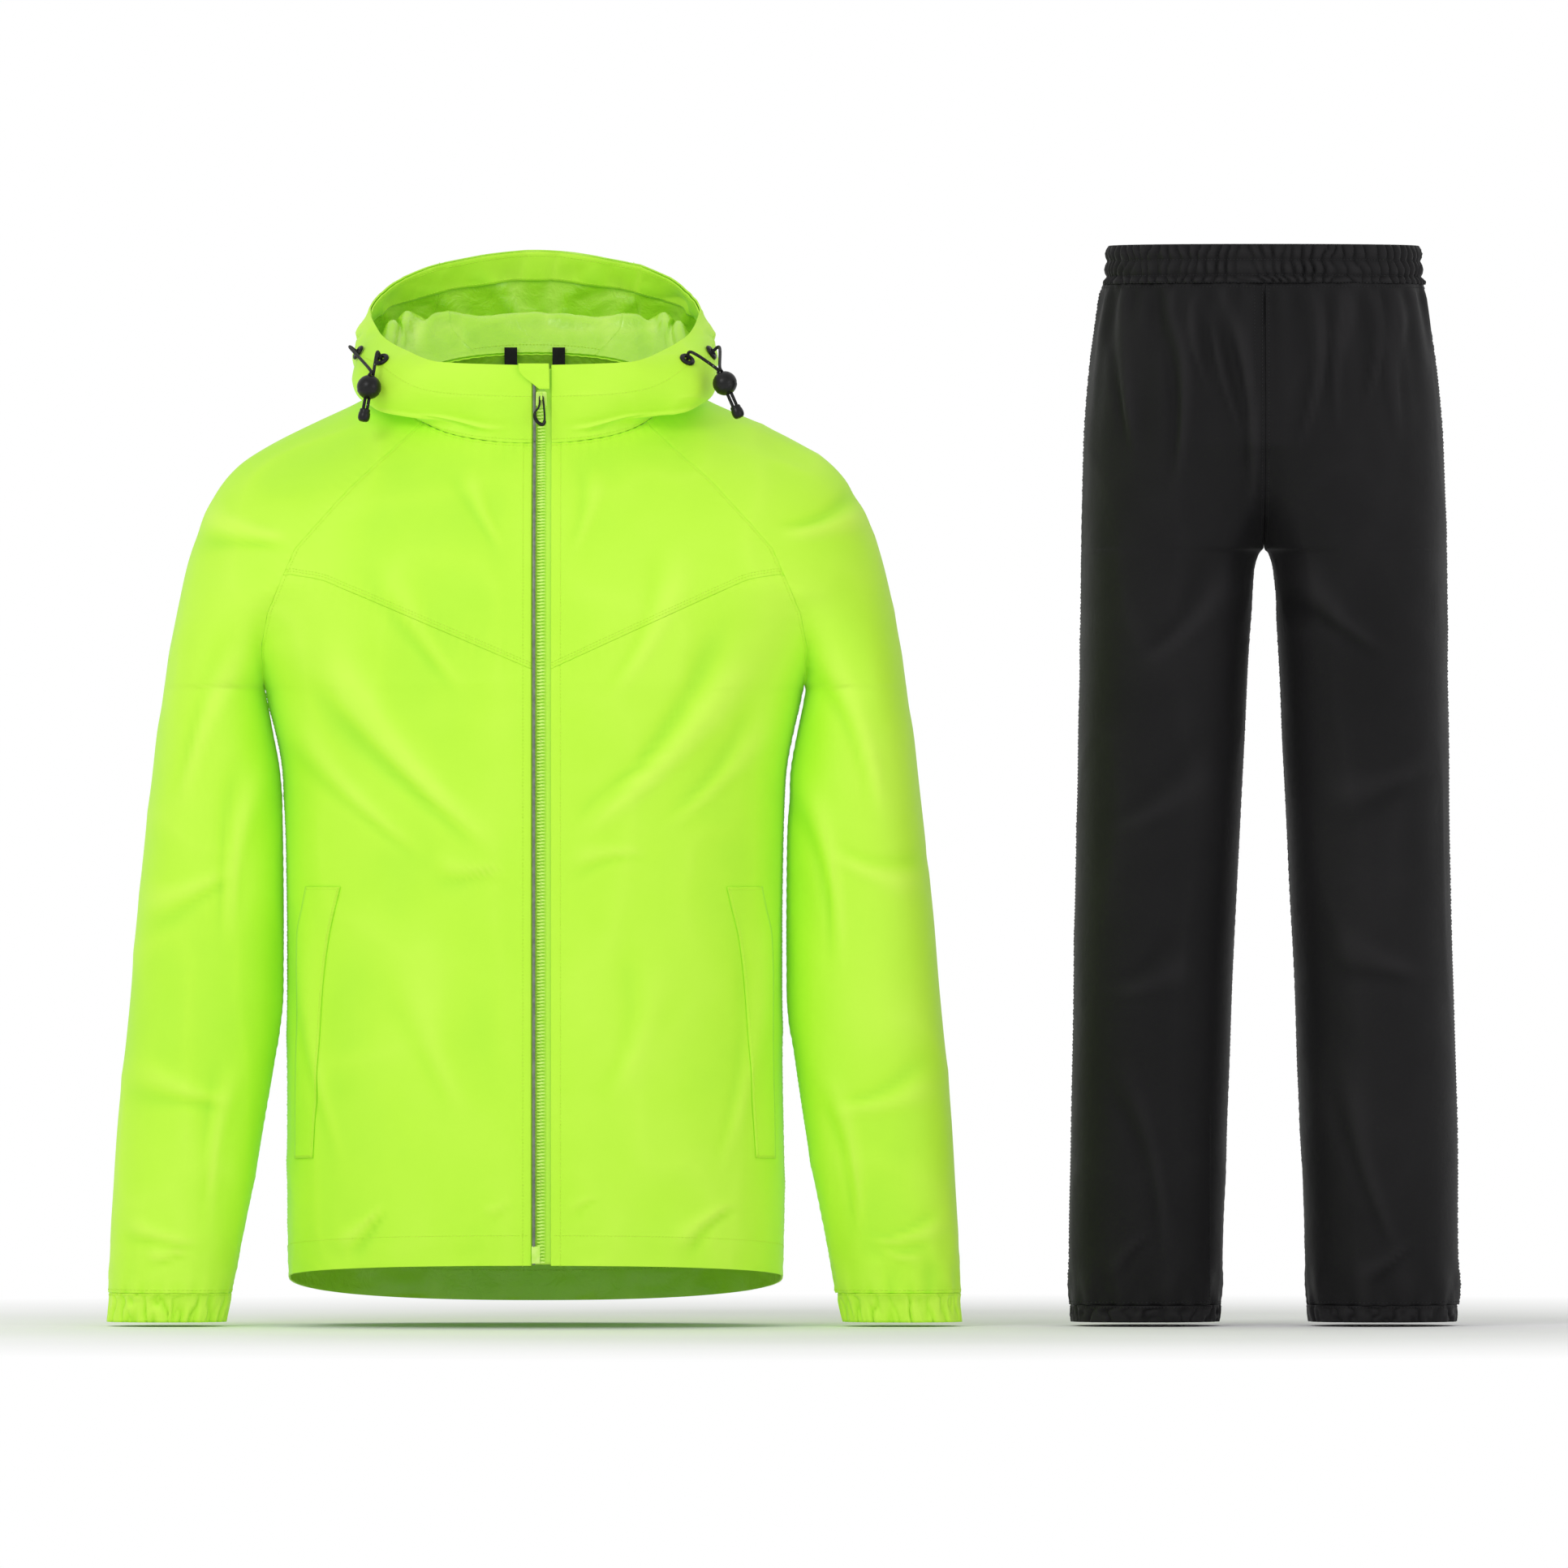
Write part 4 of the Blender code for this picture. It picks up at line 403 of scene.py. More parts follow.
# Each light's name, place, aim, size and power.
LIGHTS = (("key", (-2.4, -3.8, 2.4), (0.2, 0.0, -0.3), 2.2, 54.0),
          ("fill", (3.2, -3.4, 0.6), (0.3, 0.0, -0.4), 2.4, 18.0))
FLOOR_Z = -0.7850
FLOOR_X = 0.3
FLOOR_RADIUS = 4.0
FLOOR_SIDES = 64
FADE_FROM = 0.65
FADE_TO = 1.5

CUFF_WAVES = 20
HEM_WAVES = 20
WAIST_WAVES = 80
# Heights of the gathers down a cuff and a leg hem, and how far each band puffs out.
CUFF_HEIGHTS = (0.0006, 0.0012, 0.0018, 0.0020)
CUFF_PUFF = 0.0008
HEM_HEIGHTS = (0.0006, 0.0012, 0.0017, 0.0017)
HEM_PUFF = 0.0007
# The waistband's gathers at its lines of stitching, and how much more between them.
WAIST_WAVE_LEAST = 0.0011
WAIST_WAVE_MORE = 0.0015
WAIST_PUFF = 0.0013
WAIST_TIGHT = 0.0006


def columns(rows, names):
    grid = np.array(rows, float)
    return {name: grid[:, i] for i, name in enumerate(names)}


def curve_through(xs, ys, at):
    """A smooth curve through the points, with no overshoot between them."""
    xs = np.asarray(xs, float)
    ys = np.asarray(ys, float)
    step = np.diff(xs)
    rise = np.diff(ys) / step
    slope = np.empty_like(ys)
    slope[0] = rise[0]
    slope[-1] = rise[-1]
    both = rise[:-1] * rise[1:]
    total = rise[:-1] + rise[1:]
    safe = np.where(np.abs(total) < 1e-12, 1.0, total)
    slope[1:-1] = np.where(both > 0, 2 * both / safe, 0.0)
    i = np.clip(np.searchsorted(xs, at, side="right") - 1, 0, len(xs) - 2)
    h = step[i]
    t = (np.asarray(at, float) - xs[i]) / h
    a = (1 + 2 * t) * (1 - t) ** 2
    b = t * (1 - t) ** 2
    c = t * t * (3 - 2 * t)
    d = t * t * (t - 1)
    return a * ys[i] + b * h * slope[i] + c * ys[i + 1] + d * h * slope[i + 1]


def ring_values(rows, names, v):
    table = columns(rows, names)
    index = np.arange(len(rows))
    return {name: float(curve_through(index, table[name], v)) for name in names}


def oval(x, half, depth, power):
    reach = np.clip(np.abs(x) / half, 0.0, 1.0)
    return depth * (1.0 - reach**power) ** (1.0 / power)


def length_along(points):
    steps = np.linalg.norm(np.diff(points, axis=0), axis=1)
    return np.concatenate([[0.0], np.cumsum(steps)])


def points_at(at, along, points):
    return np.stack([np.interp(at, along, points[:, k]) for k in range(3)], axis=1)


def spread_evenly(points, count):
    along = length_along(points)
    at = np.linspace(0.0, along[-1], count)
    return points_at(at, along, points)


def softened(points, reach):
    """The line with its corners rounded over about this length."""
    steps = np.linalg.norm(np.diff(points, axis=0), axis=1)
    sigma = max(reach / max(steps.mean(), 1e-6), 0.01)
    span = int(math.ceil(3 * sigma))
    weights = np.exp(-0.5 * (np.arange(-span, span + 1) / sigma) ** 2)
    weights /= weights.sum()
    before = points[1:span + 1][::-1] * (-1, 1, 1)
    after = points[-span - 1:-1][::-1] * (-1, 1, 1)
    padded = np.concatenate([before, points, after])
    return np.stack([np.convolve(padded[:, k], weights, "valid") for k in range(3)], axis=1)


def seam_place(x, z, seam):
    """How far from the middle the seam crosses a ring."""
    line = np.array(sorted(seam))
    off = x - np.interp(z, line[:, 0], line[:, 1])
    crossing = np.nonzero((off[:-1] <= 0) & (off[1:] > 0))[0]
    if not len(crossing):
        return float(x[-1] * 0.75)
    i = int(crossing[-1])
    share = off[i] / (off[i] - off[i + 1])
    return float(x[i] + share * (x[i + 1] - x[i]))


def limb_oval(x, inner, outer, depth, start):
    """A limb's depth over x, for an oval that has this depth where the limb starts."""
    low, high = inner - (outer - inner), inner
    for _ in range(40):
        end = (low + high) / 2
        here = oval(inner - (outer + end) / 2, (outer - end) / 2, depth, ARM_POWER)
        if here > start:
            low = end
        else:
            high = end
    return oval(x - (outer + high) / 2, (outer - high) / 2, depth, ARM_POWER)


def parted(x, whole, seam, outer, depth, above, reach, least):
    """Blends an undivided ring into a limb's own oval as it nears where they part."""
    share = min(max(1.0 - above / reach, 0.0), 1.0)
    if share <= 0.0:
        return whole
    start = max((least - (1 - share) * float(whole[0])) / share, 0.0)
    return (1 - share) * whole + share * limb_oval(x, seam, outer, depth, start)


def shoulder_side(values, side, seam):
    """Half of a ring on the front or the back, as its panel part and its sleeve part."""
    half = values["half"]
    depth = values["front"] if side < 0 else values["back"]
    z_mid = values["z_front"] if side < 0 else values["z_back"]
    x = half * np.sin(np.linspace(0.0, math.pi / 2, 400))
    plain = oval(x, half, depth, BODY_POWER)
    z = values["z_side"] + (z_mid - values["z_side"]) * plain / depth
    pinch = seam_place(x, z, seam)
    above = max(values["z_side"] - UNDERARM_Z, 0.0)
    height = float(oval(np.array([pinch]), half, depth, BODY_POWER)[0])
    least = min(UNDERARM_CURVE * math.sqrt(above), height)
    body_half = pinch / (1.0 - (least / depth) ** BODY_POWER) ** (1 / BODY_POWER)
    inner_x = pinch * np.sin(np.linspace(0.0, math.pi / 2, 120))
    outer_x = pinch + (half - pinch) * (1 - np.cos(np.linspace(0.0, math.pi, 120))) / 2
    body_y = oval(inner_x, max(body_half, pinch), depth, BODY_POWER)
    whole = oval(outer_x, half, depth, BODY_POWER)
    arm_y = parted(outer_x, whole, pinch, half, values["arm"], above, UNDERARM_REACH, least)
    tilt = (z_mid - values["z_side"]) / depth
    parts = []
    for at, y in ((inner_x, body_y), (outer_x, arm_y)):
        plain_y = oval(at, half, depth, BODY_POWER)
        parts.append(np.stack([at, side * y, values["z_side"] + tilt * plain_y], axis=1))
    return parts


PANEL_POINTS = 61
SLEEVE_POINTS = 121


def shoulder_ring(v):
    """Front, sleeve and back of the left half at a ring above the underarm."""
    values = ring_values(SHOULDER_RINGS, RING_COLUMNS, v)
    front, arm_front = shoulder_side(values, -1, FRONT_RAGLAN)
    back, arm_back = shoulder_side(values, 1, BACK_RAGLAN)
    front = spread_evenly(front, PANEL_POINTS)
    sleeve = spread_evenly(np.concatenate([arm_front, arm_back[::-1][1:]]), SLEEVE_POINTS)
    back = spread_evenly(back[::-1], PANEL_POINTS)
    return soft_parts([front, sleeve, back])


def soft_parts(parts, reach=0.006):
    whole = np.concatenate([parts[0]] + [part[1:] for part in parts[1:]])
    whole = softened(whole, reach)
    made = []
    start = 0
    for part in parts:
        made.append(whole[start:start + len(part)])
        start += len(part) - 1
    return made


def body_ring(v):
    values = ring_values(BODY_RINGS, RING_COLUMNS, v)
    halves = []
    for side, mid, depth in ((-1, "z_front", "front"), (1, "z_back", "back")):
        x = values["half"] * np.sin(np.linspace(0.0, math.pi / 2, 200))
        y = oval(x, values["half"], values[depth], BODY_POWER)
        z = values["z_side"] + (values[mid] - values["z_side"]) * y / values[depth]
        halves.append(spread_evenly(np.stack([x, side * y, z], axis=1), PANEL_POINTS))
    return soft_parts([halves[0], halves[1][::-1]])


def tube_ring(z, outer, inner, front, back, shift, power, count):
    """A closed ring that starts and ends at the inner side and goes round by the front."""
    turn = np.linspace(0.0, 2 * math.pi, 721)
    cosine = -np.cos(turn)
    sine = -np.sin(turn)
    x = (outer + inner) / 2 + (outer - inner) / 2 * np.sign(cosine) * np.abs(cosine) ** (2 / power)
    depth = np.where(sine < 0, front, back)
    y = shift + depth * np.sign(sine) * np.abs(sine) ** (2 / power)
    return spread_evenly(np.stack([x, y, np.full_like(x, z)], axis=1), count)


def arm_ring(v, rows=ARM_RINGS):
    values = ring_values(rows, ARM_COLUMNS, v)
    return tube_ring(values["z"], values["outer"], values["inner"], values["depth"],
                     values["depth"], values["shift"], ARM_POWER, SLEEVE_POINTS)


def hip_ring(v):
    """Front and back of the left half of the trousers above the crotch."""
    values = ring_values(HIP_RINGS, HIP_COLUMNS, v)
    half = values["half"]
    above = max(values["z"] - CROTCH_Z, 0.0)
    parts = []
    for side, depth, leg in ((-1, values["front"], values["leg_front"]),
                             (1, values["back"], values["leg_back"])):
        x = half * (1 - np.cos(np.linspace(0.0, math.pi, 200))) / 2
        whole = oval(x, half, depth, BODY_POWER)
        least = min(CROTCH_CURVE * math.sqrt(above), depth)
        y = parted(x, whole, 0.0, half, leg, above, CROTCH_REACH, least)
        parts.append(np.stack([x, side * y, np.full_like(x, values["z"])], axis=1))
    front = spread_evenly(parts[0], PANEL_POINTS)
    back = spread_evenly(parts[1][::-1], PANEL_POINTS)
    return soft_parts([front, back])


def leg_ring(v, rows=LEG_RINGS):
    values = ring_values(rows, LEG_COLUMNS, v)
    whole = tube_ring(values["z"], values["outer"], values["inner"], values["front"],
                      values["back"], 0.0, ARM_POWER, 721)
    outermost = int(np.argmax(whole[:, 0]))
    front = spread_evenly(whole[:outermost + 1], PANEL_POINTS)
    back = spread_evenly(whole[outermost:], PANEL_POINTS)
    return [front, back]


def unit(vectors):
    length = np.linalg.norm(vectors, axis=-1, keepdims=True)
    return vectors / np.maximum(length, 1e-12)


def spline_taps(at, count):
    """The four rows about each place on a smooth curve, and their weights."""
    i = np.clip(at.astype(int), 0, count - 2)
    t = at - i
    weights = (0.5 * (-t + 2 * t**2 - t**3), 0.5 * (2 - 5 * t**2 + 3 * t**3),
               0.5 * (t + 4 * t**2 - 3 * t**3), 0.5 * (t**3 - t**2))
    return [np.clip(i + step, 0, count - 1) for step in (-1, 0, 1, 2)], weights


class Sheet:
    """A panel's outer surface: points by row and column, with directions and normals."""

    def __init__(self, rows_at, points, along, across, turn=1):
        self.rows_at = np.array(rows_at, float)
        self.points = points
        self.along = along
        self.across = across
        self.turn = turn
        self.normals = unit(np.cross(along, across)) * turn

    def sample(self, v, u):
        v, u = np.broadcast_arrays(np.asarray(v, float), np.asarray(u, float))
        row = np.interp(v, self.rows_at, np.arange(len(self.rows_at)))
        column = u * (self.points.shape[1] - 1)
        rows, down = spline_taps(row, self.points.shape[0])
        columns_near, over = spline_taps(column, self.points.shape[1])
        found = [0.0, 0.0, 0.0, 0.0]
        for i, a in zip(rows, down):
            for j, b in zip(columns_near, over):
                weight = (a * b)[..., None]
                for k, grid in enumerate((self.points, self.normals, self.along, self.across)):
                    found[k] = found[k] + grid[i, j] * weight
        return found[0], unit(found[1]), unit(found[2]), unit(found[3])


def sheets_from(rows_at, rings, closed=False):
    """Sheets for panels that join side by side, from their rings."""
    grids = [np.array([ring[k] for ring in rings]) for k in range(len(rings[0]))]
    whole = np.concatenate([grids[0]] + [grid[:, 1:] for grid in grids[1:]], axis=1)
    if closed:
        wide = np.concatenate([whole[:, -2:-1], whole, whole[:, 1:2]], axis=1)
        across = (wide[:, 2:] - wide[:, :-2])
    else:
        across = np.gradient(whole, axis=1)
    along = np.gradient(whole, np.array(rows_at, float), axis=0)
    made = []
    start = 0
    for grid in grids:
        part = slice(start, start + grid.shape[1])
        made.append((whole[:, part], along[:, part], across[:, part]))
        start += grid.shape[1] - 1
    return made


def stacked(rows_at, upper, lower):
    """One sheet from an upper and a lower block of rows."""
    joined = [np.concatenate([a, b]) for a, b in zip(upper, lower)]
    return Sheet(rows_at, *joined)


def jacket_sheets():
    top = list(np.arange(0.0, SPLIT, 0.25))
    body = list(np.arange(0.0, len(BODY_RINGS) - 0.9, 0.25))
    arm = list(np.arange(0.0, len(ARM_RINGS) - 0.9, 0.25))
    upper = sheets_from(top, [shoulder_ring(v) for v in top])
    lower = sheets_from(body, [body_ring(v) for v in body])
    tube = sheets_from(arm, [[arm_ring(v)] for v in arm], closed=True)
    body_at = top + [SPLIT + v for v in body]
    arm_at = top + [SPLIT + v for v in arm]
    return {
        "front": stacked(body_at, upper[0], lower[0]),
        "sleeve": stacked(arm_at, upper[1], tube[0]),
        "back": stacked(body_at, upper[2], lower[1]),
    }


def trouser_sheets():
    top = list(np.arange(0.0, CROTCH, 0.25))
    leg = list(np.arange(0.0, len(LEG_RINGS) - 0.9, 0.25))
    upper = sheets_from(top, [hip_ring(v) for v in top])
    lower = sheets_from(leg, [leg_ring(v) for v in leg], closed=True)
    at = top + [CROTCH + v for v in leg]
    return {
        "front": stacked(at, upper[0], lower[0]),
        "back": stacked(at, upper[1], lower[1]),
    }


def spline_rows(control, count, offsets=None):
    """A smooth line through the control points, spread to this many points."""
    control = np.asarray(control, float)
    first = 2 * control[0] - control[1]
    last = 2 * control[-1] - control[-2]
    padded = np.concatenate([[first], control, [last]])
    made = []
    at = np.linspace(0, len(control) - 1, count) if offsets is None else offsets
    for value in at:
        i = min(int(value), len(control) - 2)
        t = value - i
        a, b, c, d = padded[i:i + 4]
        made.append(0.5 * (2 * b + (c - a) * t + (2 * a - 5 * b + 4 * c - d) * t * t
                           + (3 * b - a - 3 * c + d) * t**3))
    return np.array(made)


HOOD_ROWS = 49
HOOD_COLUMNS = 97


def hood_sheet():
    """The hood from the front zip (column 0) to the middle of the back (column 1)."""
    front, sleeve, back = shoulder_ring(0.0)
    neck = np.concatenate([front, sleeve[1:], back[1:]])
    places = np.array([row[0] for row in HOOD_PROFILES])
    along = length_along(neck)
    along /= along[-1]
    profiles = []
    for row in HOOD_PROFILES:
        start = [np.interp(row[0], along, neck[:, k]) for k in range(3)]
        control = np.array([start] + [[value * 0.001 for value in point] for point in row[1:]])
        profiles.append(spread_evenly(spline_rows(control, 121), HOOD_ROWS))
    places = np.append(places, 2.0 - places[-2])
    profiles = np.array(profiles + [profiles[-2] * (-1, 1, 1)])
    grid = np.empty((HOOD_ROWS, HOOD_COLUMNS, 3))
    at = np.linspace(0.0, 1.0, HOOD_COLUMNS)
    for i in range(HOOD_ROWS):
        for k in range(3):
            grid[i, :, k] = curve_through(places, profiles[:, i, k], at)
    for k in range(3):
        grid[0, :, k] = np.interp(at, along, neck[:, k])
    return Sheet(np.linspace(0.0, 1.0, HOOD_ROWS), grid, np.gradient(grid, axis=0),
                 np.gradient(grid, axis=1), turn=-1)


def grid_of(rows, cols):
    v, u = np.meshgrid(np.array(rows, float), np.array(cols, float), indexing="ij")
    return v, u


def front_start(sheet, v, x):
    """The column where the front's edge lies at this distance from the middle."""
    found = np.empty_like(v)
    wanted = np.broadcast_to(x, v.shape)
    columns_at = np.linspace(0, 0.25 if sheet.turn < 0 else 1.0, 121)
    for i, value in enumerate(v):
        point = sheet.sample(np.full(121, value), columns_at)[0]
        found[i] = np.interp(wanted[i], point[:, 0], columns_at)
    return found


def yoke_rows(sheet, u):
    """The row at which the yoke seam crosses each column."""
    rows_at = np.linspace(4.0, 15.0, 300)
    found = []
    for column in u:
        point = sheet.sample(rows_at, np.full(300, column))[0]
        line = np.interp(point[:, 0], [p[0] for p in YOKE_LINE], [p[1] for p in YOKE_LINE])
        above = point[:, 2] - line
        found.append(np.interp(0.0, -above, rows_at))
    return np.array(found)


def smoothly(value, low, high):
    """0 below low, 1 above high, with a soft step between."""
    share = np.clip((value - low) / (high - low), 0.0, 1.0)
    return share * share * (3 - 2 * share)


def noise(points, size, seed):
    """Smooth noise from -1 to 1 over cells of this size, the same on each run."""
    scaled = points / np.asarray(size, float)
    cell = np.floor(scaled).astype(np.int64)
    part = scaled - cell
    part = part**3 * (part * (part * 6 - 15) + 10)
    total = np.zeros(points.shape[:-1])
    for corner in range(8):
        step = np.array([corner & 1, corner >> 1 & 1, corner >> 2])
        at = cell + step
        mixed = (at[..., 0] * 73856093) ^ (at[..., 1] * 19349663) ^ (at[..., 2] * 83492791)
        mixed = (mixed ^ (seed * 668265263)) & 0x7FFFFFFF
        mixed = ((mixed ^ (mixed >> 13)) * 1274126177) & 0x7FFFFFFF
        value = ((mixed ^ (mixed >> 16)) & 0xFFFF) / 32767.5 - 1
        total += np.prod(np.where(step, part, 1 - part), axis=-1) * value
    return total


def crumple(points, size, seed):
    """Narrow soft ridges in a loose net, as crumpled cloth has."""
    size = np.broadcast_to(np.asarray(size, float), 3)
    bent = points + 0.3 * size * np.stack(
        [noise(points, size * 1.6, seed + k) for k in (11, 12, 13)], axis=-1)
    return (1 - np.abs(noise(bent, size, seed))) ** 3 - 0.35


def waves(points, layer):
    height, size, seed = layer
    return height * noise(points, size, seed)


def crumples(points, layer):
    height, size, seed = layer
    return height * crumple(points, size, seed)


def crease_height(x, z, creases, bend=0.05):
    """How far the listed creases stand out. Each one is slightly bent and uneven."""
    raised = np.zeros(x.shape)
    for i, (x0, z0, x1, z1, width, height) in enumerate(creases):
        long_x = x1 - x0
        long_z = z1 - z0
        length = math.hypot(long_x, long_z)
        t = ((x - x0) * long_x + (z - z0) * long_z) / length**2
        bow = bend * length * np.sin(math.pi * np.clip(t, 0, 1)) * (1 if i % 2 else -1)
        off = ((x - x0) * long_z - (z - z0) * long_x) / length + bow
        wide = width * (0.75 + 0.35 * np.sin(2.3 + 3.0 * t))
        ends = smoothly(np.minimum(t + 0.12, 1.12 - t), 0.0, 0.42)
        ridge = np.exp(-((off / wide) ** 2))
        trough = np.exp(-(((off - 1.6 * wide) / (0.8 * wide)) ** 2))
        raised += height * ends * (ridge - 0.65 * trough)
    return raised


def edge_distances(points):
    """Distance over the cloth from the top, bottom, first and last edge."""
    down = np.linalg.norm(np.diff(points, axis=0), axis=2)
    over = np.linalg.norm(np.diff(points, axis=1), axis=2)
    zero_row = np.zeros((1, points.shape[1]))
    zero_column = np.zeros((points.shape[0], 1))
    top = np.concatenate([zero_row, np.cumsum(down, axis=0)])
    first = np.concatenate([zero_column, np.cumsum(over, axis=1)], axis=1)
    return top, top[-1:] - top, first, first[:, -1:] - first


def grid_normals(points, like):
    normal = unit(np.cross(np.gradient(points, axis=0), np.gradient(points, axis=1)))
    facing = np.sign((normal * like).sum(axis=-1, keepdims=True))
    return normal * np.where(facing == 0, 1, facing)


def even_rows(sheet, low, high, column, cell):
    """Rows spaced evenly over the cloth at this column."""
    at = np.linspace(low, high, 500)
    points = sheet.sample(at, np.full(500, column))[0]
    along = length_along(points)
    share = edge_share(along[-1], cell)
    return np.interp(share * along[-1], along, at)


def edge_share(length, cell):
    """Shares from 0 to 1, with close ones beside both edges where the seam rolls in."""
    roll = EDGE_ROLL / length
    inner = np.linspace(3 * roll, 1 - 3 * roll, max(int(length / cell), 2))
    start = np.array([0, 0.5, 1, 2]) * roll
    return np.concatenate([start, inner, 1 - start[::-1]])


def mesh_piece(name, points, faces, materials, uv=None, fold_shading=None, slots=None, smooth=True):
    """A piece of the scene from its points and faces, with cloth lengths as its UVs."""
    mesh = bpy.data.meshes.new(name)
    mesh.from_pydata([tuple(point) for point in points], [], faces)
    for material in materials:
        mesh.materials.append(material)
    mesh.polygons.foreach_set("use_smooth", [smooth] * len(mesh.polygons))
    if slots is not None:
        mesh.polygons.foreach_set("material_index", np.asarray(slots, int))
    if uv is not None:
        corners = np.empty(len(mesh.loops), int)
        mesh.loops.foreach_get("vertex_index", corners)
        layer = mesh.uv_layers.new(name="cloth")
        layer.data.foreach_set("uv", np.asarray(uv, float)[corners].ravel())
    # Painted shade and highlight: these relief heights make the cloth's colour darker in hollows and paler
    # on ridges.
    if fold_shading is not None:
        attribute = mesh.attributes.new("fold_shading", "FLOAT", "POINT")
        attribute.data.foreach_set("value", np.asarray(fold_shading, float))
    mesh.update()
    made = bpy.data.objects.new(f"{name}_fine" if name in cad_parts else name, mesh)
    bpy.context.scene.collection.objects.link(made)
    return made


def grid_faces(rows, wide, closed, flip):
    """Quads of an outer and an inner grid, and the rims that join them."""
    size = rows * wide
    spans = wide if closed else wide - 1
    i, j = np.meshgrid(np.arange(rows - 1), np.arange(spans), indexing="ij")
    k = (j + 1) % wide
    a, b, c, d = i * wide + j, (i + 1) * wide + j, (i + 1) * wide + k, i * wide + k
    outer = np.stack([a, b, c, d], axis=-1).reshape(-1, 4)
    inner = np.stack([a, d, c, b], axis=-1).reshape(-1, 4) + size
    j = np.arange(spans)
    k = (j + 1) % wide
    last = (rows - 1) * wide
    rims = [np.stack([j, k, size + k, size + j], axis=-1),
            np.stack([last + k, last + j, size + last + j, size + last + k], axis=-1)]
    if not closed:
        a = np.arange(rows - 1) * wide
        b = a + wide
        rims.append(np.stack([a, size + a, size + b, b], axis=-1))
        c, d = a + wide - 1, b + wide - 1
        rims.append(np.stack([c, d, size + d, size + c], axis=-1))
    rims = np.concatenate(rims)
    faces = np.concatenate([outer, inner, rims])
    slots = np.concatenate([np.zeros(len(outer), int), np.ones(len(inner), int), np.zeros(len(rims), int)])
    if flip:
        faces = faces[:, ::-1]
    return faces.tolist(), slots


def walled_piece(name, outer, inner, looks, lengths, fold_shading=None, closed=False, flip=False):
    """A wall of cloth between two grids. lengths are those over and down the cloth."""
    faces, slots = grid_faces(*outer.shape[:2], closed, flip)
    uv = np.stack(lengths, axis=-1).reshape(-1, 2)
    if fold_shading is not None:
        fold_shading = np.tile(np.clip(fold_shading, -1, 1).ravel(), 2)
    points = np.concatenate([outer.reshape(-1, 3), inner.reshape(-1, 3)])
    return mesh_piece(name, points, faces, looks, np.tile(uv, (2, 1)), fold_shading, slots)


def cloth_size(points, closed=False):
    """Longest width and length of the cloth in a grid, and its area, in metres."""
    if closed:
        points = np.concatenate([points, points[:, :1]], axis=1)
    down = np.linalg.norm(np.diff(points, axis=0), axis=2).sum(axis=0).max()
    over = np.linalg.norm(np.diff(points, axis=1), axis=2).sum(axis=1).max()
    a = points[1:, :-1] - points[:-1, :-1]
    b = points[:-1, 1:] - points[:-1, :-1]
    c = points[1:, 1:] - points[:-1, 1:]
    d = points[1:, 1:] - points[1:, :-1]
    area = 0.5 * (np.linalg.norm(np.cross(a, b), axis=2) + np.linalg.norm(np.cross(c, d), axis=2)).sum()
    return float(over), float(down), float(area)


def dress(piece, nodes=(), body="suit"):
    """Lets the piece ride with its body and stand for its solids."""
    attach(piece, body)
    if nodes:
        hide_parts(*nodes)
    return piece


def cut_from(grid, closed=False):
    width, length, area = cloth_size(grid, closed)
    width = math.ceil(width * 500 + 1) / 500
    length = math.ceil(length * 500 + 1) / 500


def seam_relief(point, distances, seams, pucker):
    """How the cloth dips and puckers beside its sewn edges."""
    moved = np.zeros(point.shape[:2])
    for place, (edge, used) in enumerate(zip(distances, seams)):
        if used:
            moved -= EDGE_DIP * np.exp(-((edge / EDGE_ROLL) ** 2))
            run = distances[2] if place < 2 else distances[0]
            waver = 2.0 * noise(point, 0.03, 40 + place)
            moved += pucker * PUCKER_HEIGHT * np.exp(-edge / PUCKER_REACH) * np.sin(run * 700 + waver)
    return moved


def drawn_in(along, across, seams):
    """How far each sewn edge is moved back, to leave the seam between two panels."""
    shift = np.zeros_like(along)
    half = SEAM / 2
    shift[0] += along[0] * half * seams[0]
    shift[-1] -= along[-1] * half * seams[1]
    shift[:, 0] += across[:, 0] * half * seams[2]
    shift[:, -1] -= across[:, -1] * half * seams[3]
    return shift


